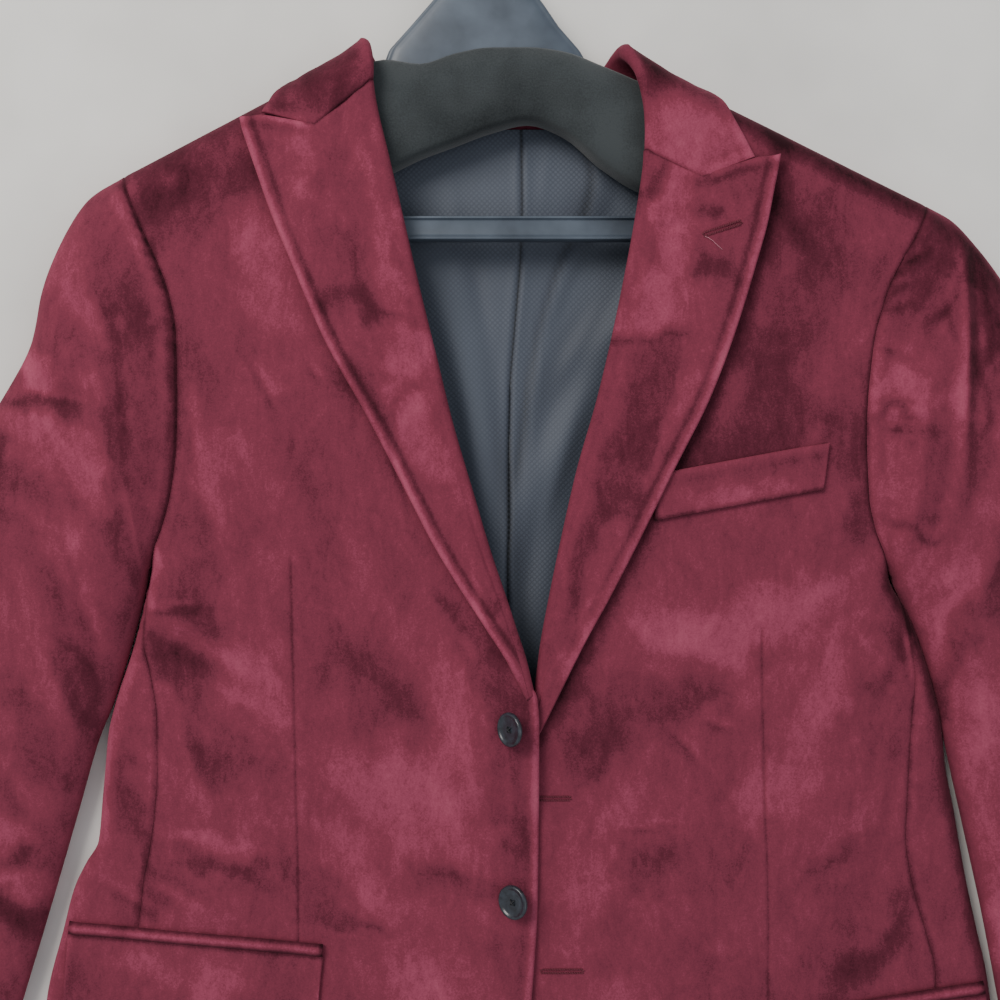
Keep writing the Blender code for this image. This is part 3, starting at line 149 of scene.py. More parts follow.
# The seam between a front and its side panel, on top, and between side panel and back, below.
FRONT_SEAM = {
    "right": table(
        "y out",
        (-38, 217.2), (-58, 219.5), (-80, 221), (-100, 217), (-128, 213.6), (-155, 213.6),
        (-185, 216), (-205, 219), (-225, 223), (-300, 231), (-420, 240), (-560, 246),
    ),
    "left": table(
        "y out",
        (-43, 212), (-62, 219.5), (-85, 224), (-105, 226.5), (-127, 225), (-192, 222.6),
        (-219, 226), (-254, 235.5), (-276, 241), (-420, 246), (-560, 249),
    ),
}
BACK_SEAM = table(
    "y out",
    (-18, 187), (-60, 188.5), (-110, 190.5), (-170, 194), (-240, 202), (-330, 213), (-440, 222),
    (-560, 228),
)

# Down the lapel's fold from the gorge, then down the front edge to the rounded hem corner.
FRONT_LINE = {
    "right": table(
        "y out",
        (234, 85.4), (218.6, 82.7), (179.3, 73.1), (134.5, 63.1), (44.8, 41.2), (-28, 19.9),
        (-78.5, 3.1), (-99, -3.6), (-106, -5.2), (-128, -7.3), (-175, -7.3), (-233, -6.7),
        (-292, -3.2), (-350, 2), (-410, 10), (-470, 26), (-515, 48), (-540, 72), (-549, 96),
    ),
    "left": table(
        "y out",
        (196.2, 66.4), (173.7, 64.2), (134.5, 57.4), (72.9, 44.5), (11.2, 27.7), (-50.4, 14.8),
        (-86.9, 8.1), (-112, 5), (-136, -1.5), (-158, -9), (-166, -12), (-175, -13),
        (-200, -11), (-275, -6), (-340, -1), (-400, 7), (-465, 24), (-512, 46), (-538, 70),
        (-547, 94),
    ),
}
BREAK_Y = {"right": -108.0, "left": -157.0}
# From the shoulder seam to the gorge a front ends at the collar's seam.
NECK_LINE = {
    "right": table("y out", (250.7, 107), (244, 101.5), (239, 95), (234.5, 89.5), (231, 87.9)),
    "left": table("y out", (246.2, 75), (236, 74.7), (225, 74), (210, 71.8), (193, 69.2)),
}

# The armhole on the front, from the shoulder point to the underarm.
FRONT_ARMHOLE = {
    "right": table(
        "out y",
        (231, 186.5), (226, 176), (217.6, 154.8), (208.6, 135), (202.4, 117.5), (198.4, 93.8),
        (197.9, 61.6), (198.8, 34.5), (202.5, 7.3), (208, -14), (213.5, -28), (217.2, -38),
    ),
    "left": table(
        "out y",
        (231.5, 169.6), (227, 161), (220.7, 148.6), (211.6, 132.2), (204.3, 114.7),
        (197.5, 85.9), (194.7, 43.5), (196.5, 2.3), (201.5, -19), (207.5, -33), (212, -43),
    ),
}
# The armhole below, from the shoulder point to the underarm, past the side panel's seam.
BACK_ARMHOLE = {
    "right": table(
        "out y",
        (231, 186.5), (221, 160), (211, 130), (203, 90), (197, 50), (189.5, 10), (187, -18),
        (197, -24.6), (207, -31.3), (217.2, -38),
    ),
    "left": table(
        "out y",
        (231.5, 169.6), (221, 146), (210, 118), (201, 80), (195, 42), (188.5, 6), (187, -20),
        (195.3, -27.6), (203.7, -35.3), (212, -43),
    ),
}
BACK_ARMHOLE_KNOT = 6   # the row of that table where the side panel's seam starts

# Each row of a front starts on the inner line at inner_y and ends on the armhole at share.
FRONT_FAN = {
    "right": table(
        "share inner_y",
        (0, 250.7), (0.010, 248.8), (0.028, 245.2), (0.058, 240.5), (0.105, 235), (0.16, 226),
        (0.24, 205), (0.34, 175), (0.45, 141), (0.56, 105), (0.67, 70), (0.77, 38), (0.86, 10),
        (0.93, -13), (0.97, -28), (1, -38),
    ),
    "left": table(
        "share inner_y",
        (0, 246.2), (0.010, 243.8), (0.028, 239.5), (0.058, 232), (0.105, 219), (0.16, 202),
        (0.24, 180), (0.34, 150), (0.45, 118), (0.56, 86), (0.67, 53), (0.77, 23), (0.86, -5),
        (0.93, -25), (0.97, -36), (1, -43),
    ),
}
FRONT_ROWS_BELOW = {
    "right": (-52, -70, -87, -99, -110, -138, -170, -204, -240, -282, -330, -384, -440, -486, -520,
              -540, -547.5),
    "left": (-56, -72, -90, -110, -131, -146, -157, -170, -204, -240, -282, -330, -384, -440,
             -486, -520, -540, -545.5),
}
# Each row of a back starts on the neck or the centre back seam.
BACK_FAN = {
    "right": table(
        "share inner_out inner_y",
        (0, 107, 250.7), (0.012, 105, 248), (0.035, 102, 243), (0.075, 96, 236.2),
        (0.13, 85, 228.6), (0.21, 66, 220.8), (0.33, 40, 215.2), (0.45, 3, 212.5),
        (0.56, 3, 186), (0.68, 3, 155), (0.83, 3, 80), (1, 3, -8),
    ),
    "left": table(
        "share inner_out inner_y",
        (0, 75, 246.2), (0.012, 73.4, 243.6), (0.035, 70.6, 239), (0.075, 65.4, 232.4),
        (0.13, 56, 225.6), (0.21, 40, 218.8), (0.33, 20, 214.2), (0.45, -3, 212.5),
        (0.56, -3, 186), (0.68, -3, 155), (0.83, -3, 80), (1, -3, -10),
    ),
}

# How far the wearer's right front is lifted where it laps over the left one.
LAP_LIFT = table(
    "y z",
    (-30, 0), (-70, 3.5), (-98, 8.2), (-160, 8.0), (-185, 4.6), (-320, 3.6), (-400, 2),
    (-480, 0),
)
LAP_FROM_X, LAP_TO_X = -62.0, -17.0

# Soft troughs (depth below zero) and ridges of the fronts: where, how long, wide and deep.
FRONT_FOLDS = {
    "right": patches(
        (150, 120, 75, 60, 26, -2.4), (178, 20, 80, 55, 18, 2.2), (120, -40, 60, 70, 26, -2.2),
        (196, -72, 35, 34, 10, 2.4), (186, -88, 30, 34, 9, -2.4), (170, -160, 20, 52, 20, 2.4),
        (100, -190, -15, 60, 24, -2.0), (180, -232, -30, 40, 15, 1.8),
        (60, -260, 10, 60, 24, 1.8), (150, -380, 80, 80, 26, 2.2), (60, -440, 85, 70, 22, -1.8),
    ),
    "left": patches(
        (150, 96, 80, 55, 24, -2.2), (170, -30, 60, 55, 20, 2.2), (206, -88, 60, 30, 9, -2.4),
        (196, -104, 55, 34, 10, 2.2), (120, -100, 40, 60, 24, -2.2),
        (170, -190, 35, 55, 20, 2.6),
        (208, -222, 50, 40, 13, -2.2), (110, -230, -10, 60, 26, 2.0),
        (80, -330, 75, 70, 26, -1.8), (170, -400, 85, 80, 26, 2.2),
    ),
}

# Lapels: rows down the fold, each with its point on the outer edge; a tent at the notch. The
# right one's last rows run on as in the photograph, a little below where its solid ends.
LAPEL = {
    "right": table(
        "fold_out fold_y edge_out edge_y",
        (85.4, 233.4, 159.6, 214.6), (84.2, 227, 157.6, 207.5), (82.4, 217.5, 154.8, 199),
        (77.2, 196, 149, 182), (69, 161, 141, 159), (60.3, 123, 130.4, 133), (50, 81, 112, 90),
        (41.2, 44.8, 87, 44.7), (29, 3, 65.4, 2), (19.9, -28, 50, -28), (9.8, -58, 31, -59),
        (4.6, -74, 20.5, -75), (-0.6, -90, 10, -91), (-5.6, -111, -1.2, -113),
    ),
    "left": table(
        "fold_out fold_y edge_out edge_y",
        (66.3, 193.8, 141.4, 192.4), (65.9, 188, 140.2, 185), (64.6, 178, 137.8, 173.2),
        (60.6, 153, 134.3, 154.8), (55.6, 126, 128, 131.5), (50, 98, 118.1, 98.3),
        (40.5, 57, 103, 57), (29.5, 18, 84, 18.5), (20.5, -22, 65, -21), (14, -54, 48.5, -54),
        (8.9, -82, 33.5, -82), (5, -112, 18.5, -113), (0.5, -132, 8.4, -133.5),
        (-4.8, -146, 0.6, -147),
    ),
}
NOTCH = {"right": {"share": 0.44, "drop": 17.6}, "left": {"share": 0.44, "drop": 14.0}}
LAPEL_ROWS = 19
LAPEL_LIFT = 4.0        # rise of the widest lapel's outer edge off the front

# Collar stations from the gorge to the centre back: face 1 is on the front, -1 on the back.
COLLAR = {
    "right": table(
        "face fold_out fold_y edge_out edge_y neck_out neck_y",
        (1, 85.2, 235.5, 146.8, 216.9, 87.6, 235.3), (1, 84.9, 240, 143.6, 222.6, 91, 237.6),
        (1, 85, 247, 139.6, 230.5, 97, 241.5), (1, 87.4, 258.4, 133.6, 236.2, 104, 248.4),
        (-1, 88.4, 259.6, 127, 239.2, 106.4, 250.0), (-1, 86, 256, 120.6, 236, 102.4, 244.0),
        (-1, 79, 252, 110, 226, 95.4, 235.8), (-1, 66, 247.6, 90, 212.8, 81, 226.6),
        (-1, 44, 243.4, 56, 201.4, 52, 217.4), (-1, 24, 241.2, 29, 197.4, 27, 213.8),
        (-1, 3, 240.6, 3, 196, 3, 212.9),
    ),
    "left": table(
        "face fold_out fold_y edge_out edge_y neck_out neck_y",
        (1, 66.6, 196.5, 127.6, 191.9, 68.8, 196.3), (1, 66.8, 206, 122.6, 201.6, 71, 207.5),
        (1, 66, 220, 116.0, 213.0, 73.2, 220), (1, 61.6, 238, 107.6, 228.2, 74.2, 237),
        (1, 53.4, 254.6, 96.5, 235.4, 74.6, 245.6), (-1, 50.2, 257.8, 87.5, 239.4, 73.8, 244.6),
        (-1, 46, 254.4, 82, 231, 69.2, 237.6), (-1, 38.6, 249.6, 70, 215.6, 59.6, 228.6),
        (-1, 25, 244.6, 46, 202.6, 38.6, 218.4), (-1, 10.6, 241.6, 20, 197.4, 17.4, 214),
        (-1, -3, 240.6, -3, 196, -3, 212.9),
    ),
}
COLLAR_NOTCH = {"right": {"share": 0.536, "drop": 15.9}, "left": {"share": 0.536, "drop": 13.4}}
COLLAR_STEPS = 17
COLLAR_BULGE = 4.5      # extra height of the fold where it stands over the shoulder

# Sleeve rings past the armhole: the inner and outer edges, thickness, and height of the edges.
SLEEVE = {
    "right": table(
        "in_out in_y out_out out_y thick edge",
        (218.6, -41, 251.6, 174.5, 39, 19), (219.4, -45, 270, 146, 38, 18),
        (220.2, -50, 279.5, 122, 37, 17), (221.4, -56, 285.5, 94, 36, 16),
        (223.4, -64, 304, 59, 34, 15), (227.6, -79, 338, 14, 32, 14),
        (232.6, -95, 369, -34, 30, 13),
        (240.6, -119, 398, -88, 28, 12), (249.4, -140, 420, -140, 26, 11),
        (262.8, -186, 438, -198, 24, 10.5), (279.1, -241.5, 452, -256, 22, 10),
        (297, -300, 462, -310, 20, 9), (314, -355, 469, -352, 19, 8.5),
        (329, -405, 474, -388, 18, 8),
        (338, -440, 477, -414, 17, 8),
    ),
    "left": table(
        "in_out in_y out_out out_y thick edge",
        (213.8, -46, 246, 162.4, 39, 19), (214.6, -49.4, 262, 146.4, 38, 18),
        (216.4, -53.6, 277, 127, 37, 17), (218.9, -58, 296, 96, 36, 16),
        (222.2, -64, 319, 52, 34, 15), (227.5, -76, 346, 0, 32, 14),
        (234.6, -95, 370, -54, 30, 13),
        (241.0, -116, 389, -106, 28, 12), (247.4, -146, 404, -156, 26, 11),
        (258.1, -193.7, 416, -212, 24, 10.5), (268.6, -241, 426, -268, 22, 10),
        (279, -294, 434, -320, 20, 9), (290, -352, 440, -366, 19, 8.5),
        (299, -408, 444, -404, 18, 8),
        (304, -442, 446, -432, 17, 8),
    ),
}
SLEEVE_FOLDS = {
    "right": patches(
        (252, 100, 55, 22, 13, -4.0), (240, 60, 80, 30, 12, 2.0), (272, 62, 15, 34, 8, -2.6),
        (262, 10, 30, 60, 13, -2.4), (300, -10, 62, 60, 14, 2.2), (270, -80, 78, 80, 12, 2.2),
        (330, -120, 55, 60, 16, -2.0), (370, -200, 35, 60, 14, 2.4),
        (330, -260, 30, 56, 13, -2.4),
        (400, -330, 60, 60, 14, 2.0),
    ),
    "left": patches(
        (249, 80, 88, 75, 5, 1.6), (214, 44, 5, 16, 6, -2.8), (216, -16, 5, 20, 6, 2.0),
        (226, 104, 60, 26, 9, -2.2), (290, 40, 60, 50, 14, 2.0), (262, -60, 70, 70, 12, 2.0),
        (330, -110, 50, 60, 16, -2.0), (300, -200, 30, 50, 13, 2.2),
        (370, -220, 70, 60, 14, -2.0),
        (340, -330, 60, 60, 14, 2.0),
    ),
}

# Back lining: its centre seam, how far out it reaches, and the folds it lies in.
LINING_YS = (209, 196, 178, 155, 128, 98, 66, 30, -12, -70, -160, -300, HEM_Y + 22)
LINING_CENTRE = table(
    "y x",
    (220, -1.8), (170, -1.3), (140, -2.4), (98, -6), (65, -8.4), (24, -9), (-8, -9),
    (-48, -9.6), (-560, -9.6),
)
LINING_REACH = table(
    "y out",
    (220, 52), (205, 100), (190, 130), (160, 168), (120, 180), (60, 182), (0, 172),
    (-80, 172), (-200, 178), (-320, 194), (-560, 206),
)
LINING_FOLDS = patches(
    (26, 40, 62, 95, 12, 5.0), (-40, 90, 108, 70, 13, 4.0), (52, 100, 40, 46, 12, 3.0),
    (-22, 0, 100, 70, 11, 3.0), (14, -40, 80, 60, 10, 3.0),
)

# Hanger: arm sections along x, with its top and bottom edges in y and its faces in z.
HANGER_ARMS = table(
    "x top low z_low z_high",
    (-216, 181, 166, 14, 28), (-208, 187, 158, 8, 33), (-190, 196, 157, 7, 35),
    (-150, 217, 168, 8, 34), (-110, 238, 180, 10, 33), (-80, 251, 190.5, 11, 32),
    (-60, 248.6, 200, 12, 31), (-40, 254.6, 207.5, 12, 31), (-20, 258, 215, 12, 31),
    (2, 258, 220, 12, 31), (22, 255.6, 213, 12, 31), (45, 247, 194, 11, 32),
    (68, 237, 180.5, 10, 33), (110, 219, 172, 9, 33), (150, 199, 160, 8, 34),
    (190, 179, 150, 7, 34), (208, 169, 147, 9, 31), (215, 161, 150, 15, 26),
)
HANGER_NECK = table(
    "y x_low x_high z_low z_high",
    (238, -86, 44, 16, 27), (259, -78.3, 31.5, 15, 28), (272, -66.5, 20, 15, 28),
    (285.5, -54.8, 10.8, 15, 28),
    (300, -41.5, -1, 15, 28), (309, -33.5, -8, 15.5, 27.5), (316, -28.5, -13, 17, 26),
)
COVER_ENDS = (-122.0, 104.0)
COVER_CLEAR, COVER_WALL = 0.4, 2.2
BAR = {"x": (-196.0, 190.0), "y": (149.6, 163.2), "z": (18.0, 27.0)}
HOOK_WIRE = 1.9
HOOK_RADIUS = 21.0
HOOK_STEM = 16.0
HOOK_X, HOOK_Z = -20.8, 21.5

# Pockets: corners as (out, y), and how far each stands off the front.
BREAST_WELT = {"low": (74, -11.6), "high": (169.4, 6.0), "depth": 25.5, "off": 0.7, "wall": 1.8}
HIP_POCKET = {
    "right": {"inner": (117.4, -258.6), "outer": (265.6, -246.4)},
    "left": {"inner": (120.5, -305.0), "outer": (268.0, -281.5)},
}
JET_DEPTH, JET_WALL = 6.4, 2.0
FLAP_DEPTH, FLAP_WALL, FLAP_CORNER = 54.0, 2.0, 14.0

# Front buttons: where they are sewn, and how each leans to the wearer's right.
BUTTONS = (
    {"name": "button_upper", "x": -7.4, "y": -129.6, "lean": 49.0},
    {"name": "button_lower", "x": -5.8, "y": -230.6, "lean": 36.0},
)
BUTTON_RADIUS, BUTTON_THICK, BUTTON_RIM = 9.8, 3.4, 2.0
BUTTON_HOLE, BUTTON_HOLE_SPACING = 0.9, 1.9
BUTTON_SEAT = -0.35     # the rim's lowest corner then just clears the cloth


# The finer cloth of this file.
OFFSET = (15.5, 86.25, 0.0)   # from the coat's plan to the frame, in millimetres
STEP = 3.0                    # spacing of the fine grids
RIM_STEPS = 4                 # faces round a cut or turned edge
TURNED, SEWN = 0.9, 0.15      # how far a turned edge and a seam's edge bulge
SHARP = 52.0                  # degrees between faces that are shaded apart
GORGE_CLOSE = 2.4             # how far the lapel's sewn edge is drawn up to the collar
LINING_TOP = 219.0            # where the back lining meets the collar's stand
LAPEL_SHADOW = {"right": 0.16, "left": 0.50}         # painted shadow that each lapel casts on the front beside it
EDGE_ROLL = {"right": 1.4, "left": 1.2}     # how full the lapels' outer edges are, and how strong their painted highlight and shade
EDGE_FADE = {"right": 26.0, "left": 170.0}  # the length over which they flatten at the break
TIP_START, TIP_LENGTH = 2.6, 1.6            # rows from a lapel's lower end where it sinks
TIP_FOLD, TIP_LEAF = 1.4, 1.7               # how deep its fold and its leaf sink into the front
STITCH_PITCH, STITCH_POINTS = 0.9, 8        # a buttonhole's stitches, and points in each one
HALF_SLIT, HOLE_END = 0.55, 2.2             # from its slit to the stitches, and round its ends


def smooth(at: Array | float, xs: Array, ys: Array) -> Array:
    """Reads a smooth curve that never overshoots its points.

    Args:
        at: Where to read it.
        xs: The points' places, in any order.
        ys: The points' values.

    Returns:
        The values there.
    """
    order = np.argsort(xs)
    xs, ys = np.asarray(xs, float)[order], np.asarray(ys, float)[order]
    width = np.diff(xs)
    slope = np.diff(ys) / width
    tangent = np.zeros_like(ys)
    tangent[0], tangent[-1] = slope[0], slope[-1]
    product = slope[:-1] * slope[1:]
    total = np.where(np.abs(slope[:-1] + slope[1:]) < 1e-12, 1.0, slope[:-1] + slope[1:])
    tangent[1:-1] = np.where(product > 0, 2 * product / total, 0.0)
    at = np.asarray(at, float)
    i = np.clip(np.searchsorted(xs, at) - 1, 0, len(width) - 1)
    t = np.clip((at - xs[i]) / width[i], 0, 1)
    h = width[i]
    return (
        ys[i] * (1 + 2 * t) * (1 - t) ** 2
        + h * tangent[i] * t * (1 - t) ** 2
        + ys[i + 1] * t * t * (3 - 2 * t)
        + h * tangent[i + 1] * t * t * (t - 1)
    )


def along(points: Array, shares: Array) -> Array:
    """Points at shares of the length of a smooth curve.

    Args:
        points: The curve's points, one a row.
        shares: Shares of its length, from 0 to 1.

    Returns:
        One point a share.
    """
    points = np.asarray(points, float)
    steps = np.linalg.norm(np.diff(points, axis=0), axis=1)
    place = np.concatenate([[0], np.cumsum(steps)]) / steps.sum()
    return np.stack([smooth(shares, place, points[:, k]) for k in range(points.shape[1])], -1)


def ease(t: Array | float) -> Array:
    """0 to 1 with flat ends."""
    t = np.clip(t, 0, 1)
    return t * t * (3 - 2 * t)


def quarter(t: Array | float) -> Array:
    """Height of a quarter circle, as a share of its radius, t in from the rim."""
    return np.sqrt(np.maximum(0.0, 1 - (1 - np.clip(t, 0, 1)) ** 2))


def ridge(distance: Array, middle: float, width: float) -> Array:
    """A soft ridge that is 1 at its middle."""
    return np.exp(-(((distance - middle) / width) ** 2))


def folds_at(folds: Table, out: Array, y: Array, column: str = "depth") -> Array:
    """Sum of soft troughs and ridges.

    Args:
        folds: A table with the columns out, y, angle, length, width and the one to sum.
        out: Outwards place of each point.
        y: The point's place up the coat.
        column: The column that gives each fold's height or shade.

    Returns:
        The sum at each point.
    """
    total = np.zeros(np.broadcast(out, y).shape)
    for place, up, angle, length, width, depth in zip(
        folds["out"], folds["y"], np.radians(folds["angle"]), folds["length"],
        folds["width"], folds[column],
    ):
        far = (out - place) * math.cos(angle) + (y - up) * math.sin(angle)
        across = (y - up) * math.cos(angle) - (out - place) * math.sin(angle)
        total = total + depth * np.exp(-((far / length) ** 2) - (across / width) ** 2)
    return total


def strokes_and_shade_at(strokes: Table, out: Array, y: Array) -> Array:
    """Sum of brushed patches and painted crease shade, with ragged edges.

    Args:
        strokes: A table as folds_at has it.
        out: Outwards place of each point.
        y: The point's place up the coat.

    Returns:
        How light the patches and the painted shade make the cloth at each point.
    """
    shift_out = 9 * ripple(out, y, 23, 301) + 5 * ripple(out, y, 9, 302)
    shift_y = 12 * ripple(out, y, 26, 303) + 6 * ripple(out, y, 10, 304)
    patch = folds_at(strokes, out + shift_out, y + shift_y)
    return 0.66 * patch + 0.11 * np.sign(patch) * ease((np.abs(patch) - 0.10) / 0.07)


def ripple(x: Array, y: Array, pitch: float, seed: int) -> Array:
    """Smooth uneven relief between -1 and 1.

    Args:
        x: Places across, in millimetres.
        y: Places up, in millimetres.
        pitch: The usual distance between two swells.
        seed: Which of the many reliefs.

    Returns:
        The relief at each place.
    """
    lattice = np.random.default_rng(seed).uniform(-1, 1, (64, 64))
    u, v = x / pitch + 640.0, y / pitch + 640.0
    i, j = np.floor(u).astype(int), np.floor(v).astype(int)
    s, t = ease(u - i), ease(v - j)
    i, j, k, m = i % 64, j % 64, (i + 1) % 64, (j + 1) % 64
    low = lattice[i, j] * (1 - s) + lattice[k, j] * s
    high = lattice[i, m] * (1 - s) + lattice[k, m] * s
    return low * (1 - t) + high * t


def spaced(length: float, step: float = STEP) -> Array:
    """Shares from 0 to 1 along a length in millimetres, closer near both ends."""
    near = np.array([0, 0.7, 1.6, 2.8, 4.4, 6.4, 9.0])
    if length < 2 * near[-1] + step:
        return np.linspace(0, 1, max(4, int(length / 1.6)))
    count = int(math.ceil((length - 2 * near[-1]) / step)) + 1
    middle = np.linspace(near[-1], length - near[-1], count)
    return np.concatenate([near[:-1], middle, length - near[-2::-1]]) / length


def leaf_shares(first: float, second: float, notch: float) -> Array:
    """Shares across a lapel's or collar's leaf, closer at its edges and at its notch.

    Args:
        first: Length before the notch, in millimetres.
        second: Length past it.
        notch: The share at which the notch stands.

    Returns:
        Shares from 0 to 1.
    """
    beyond = notch + spaced(second, 2.6)[1:] * (1 - notch)
    return np.concatenate([spaced(first, 2.6) * notch, beyond])


def spans(shares: Array, knots: Array) -> Array:
    """Stretches shares over two spans a row, so that one column runs along a line.

    Args:
        shares: Two rising runs of shares from 0 to 1, one after the other.
        knots: For each row, the share of the row at which the line crosses it.

    Returns:
        Rows of shares from 0 to 1.
    """
    first, second = shares
    knots = np.asarray(knots)[:, None]
    return np.concatenate([first[None] * knots, knots + second[None, 1:] * (1 - knots)], axis=1)


def seam_relief(distance: Array) -> Array:
    """Height of cloth near a pressed seam: it dips into the seam over its allowance."""
    return 0.30 * ridge(distance, 4.6, 2.6) - 0.62 * ridge(distance, 0, 1.1)


def pucker(run: Array, distance: Array, pitch: float, seed: int) -> Array:
    """Short uneven puckers across a seam.

    Args:
        run: Distance along the seam.
        distance: Distance from it.
        pitch: The usual distance between two puckers.
        seed: Which of the many unevennesses.

    Returns:
        The relief, up to about 1 either way.
    """
    phase = run / pitch + 0.9 * ripple(run, 0 * run, pitch * 2.7, seed)
    strength = 0.55 + 0.45 * ripple(run, 0 * run, pitch * 4.1, seed + 1)
    return np.sin(2 * math.pi * phase) * strength * np.exp(-((distance / 8.5) ** 2))


def edge_relief(distance: Array) -> Array:
    """Height of cloth near a finished edge: a full roll, then the line of its understitching."""
    return 0.34 * ridge(distance, 2.2, 2.0) - 0.16 * ridge(distance, 6.4, 1.9)


def edge_shade(distance: Array) -> Array:
    """Painted light near a finished edge: a painted highlight on the roll and painted shade in the
    line behind it.
    """
    return 0.34 * ridge(distance, 1.0, 2.4) - 0.16 * ridge(distance, 6.4, 2.6)


def normals_of(grid: Array, turn: int) -> Array:
    """Unit normals of a grid of points.

    Args:
        grid: Rows and columns of points.
        turn: 1 where rows x columns point out, and -1 where they point in.

    Returns:
        One normal a point.
    """
    across = np.cross(np.gradient(grid, axis=0), np.gradient(grid, axis=1))
    size = np.linalg.norm(across, axis=2, keepdims=True)
    return turn * across / np.maximum(size, 1e-9)


def run_of(grid: Array, axis: int) -> Array:
    """Distance of each point of a grid from its first row or column, along the cloth."""
    steps = np.linalg.norm(np.diff(grid, axis=axis), axis=-1)
    first = np.zeros_like(np.take(steps, [0], axis=axis))
    return np.concatenate([first, np.cumsum(steps, axis=axis)], axis=axis)


def mesh_object(
    name: str, points: Array, faces: list[Array], sharp: float = SHARP
) -> bpy.types.Object:
    """A mesh object in the frame, shaded smooth between its sharp edges.

    Args:
        name: The piece's name.
        points: Its points in millimetres on the coat's plan.
        faces: Arrays of faces, each with one number of corners.
        sharp: Angle in degrees past which two faces are shaded apart.

    Returns:
        The object, in the scene.
    """
    mesh = bpy.data.meshes.new(name)
    loops = np.concatenate([block.reshape(-1) for block in faces])
    sizes = np.concatenate([np.full(len(block), block.shape[1]) for block in faces])
    starts = np.concatenate([[0], np.cumsum(sizes)[:-1]])
    mesh.vertices.add(len(points))
    placed = (points + np.array(OFFSET)) * METRES
    mesh.vertices.foreach_set("co", placed.astype(np.float32).ravel())
    mesh.loops.add(len(loops))
    mesh.loops.foreach_set("vertex_index", loops.astype(np.int32))
    mesh.polygons.add(len(sizes))
    mesh.polygons.foreach_set("loop_start", starts.astype(np.int32))
    mesh.polygons.foreach_set("loop_total", sizes.astype(np.int32))
    mesh.update(calc_edges=True)
    mesh.validate()
    mesh.shade_smooth()
    mesh.set_sharp_from_angle(angle=math.radians(sharp))
    made = bpy.data.objects.new(name, mesh)
    bpy.context.scene.collection.objects.link(made)
    return made


def point_value(piece: bpy.types.Object, name: str, values: Array) -> None:
    """Keeps one number for each point of a piece, which its finish reads by name."""
    kept = piece.data.attributes.new(name, "FLOAT", "POINT")
    kept.data.foreach_set("value", np.asarray(values, np.float32))


@dataclass
class Wall:
    """A wall of cloth between an outer and an inner grid of points.

    Attributes:
        name: The piece's name.
        outer: The grid of its outer face.
        inner: The grid of its inner face.
        turn: 1 where rows x columns point out of the outer face, or -1.
        nap: How light the cloth is at each point of the outer grid, about -1 to 1: the pile's
            brushed tone with painted shade, sheen and highlights.
        bulge: How far the edges bulge: first row, last column, last row, first column.
    """

    name: str
    outer: Array
    inner: Array
    turn: int
    nap: Array
    bulge: tuple[float, float, float, float] = (SEWN, SEWN, SEWN, SEWN)

    def rim(self) -> tuple[Array, Array]:
        """Indices of the points round the edge, and how each one bulges."""
        rows, cols = self.outer.shape[:2]
        across, down = np.arange(cols), np.arange(rows)
        i = np.concatenate([
            down, np.full(cols - 1, rows - 1), down[-2::-1], np.zeros(cols - 2, int)
        ])
        j = np.concatenate([
            np.zeros(rows, int), across[1:], np.full(rows - 1, cols - 1), across[-2:0:-1]
        ])
        out = np.zeros((len(i), 3))
        first, last_col, last, first_col = self.bulge
        for edge, amount, step in (
            (i == 0, first, (1, 0)), (j == cols - 1, last_col, (0, -1)),
            (i == rows - 1, last, (-1, 0)), (j == 0, first_col, (0, 1)),
        ):
            away = self.outer[i, j] - self.outer[(i + step[0]) % rows, (j + step[1]) % cols]
            away = away / np.maximum(np.linalg.norm(away, axis=1, keepdims=True), 1e-9)
            out = out + np.where(edge[:, None], away * amount, 0)
        return i * cols + j, out

    def build(self) -> bpy.types.Object:
        """Makes the piece, with its tone and painted shade kept at each point."""
        rows, cols = self.outer.shape[:2]
        count = rows * cols
        index = np.arange(count).reshape(rows, cols)
        quads = np.stack([index[:-1, :-1], index[1:, :-1], index[1:, 1:], index[:-1, 1:]], -1)
        quads = quads.reshape(-1, 4)
        edge, out = self.rim()
        outer, inner = self.outer.reshape(-1, 3), self.inner.reshape(-1, 3)
        chain = [edge]
        points = [outer, inner]
        for k in range(1, RIM_STEPS):
            t = k / RIM_STEPS
            points.append(outer[edge] * (1 - t) + inner[edge] * t + out * math.sin(math.pi * t))
            chain.append(2 * count + (k - 1) * len(edge) + np.arange(len(edge)))
        chain.append(edge + count)
        sides = [
            np.stack([a, b, np.roll(b, -1), np.roll(a, -1)], -1) for a, b in zip(chain, chain[1:])
        ]
        faces = np.concatenate([quads, (quads + count)[:, ::-1], *sides])
        if self.turn < 0:
            faces = faces[:, ::-1]
        piece = mesh_object(self.name, np.concatenate(points), [faces])
        # The point value holds painted shade and highlights as well as the cloth's own tone.
        nap = self.nap.reshape(-1)
        point_value(piece, "nap", np.concatenate([nap, nap, *[nap[edge]] * (RIM_STEPS - 1)]))
        return piece


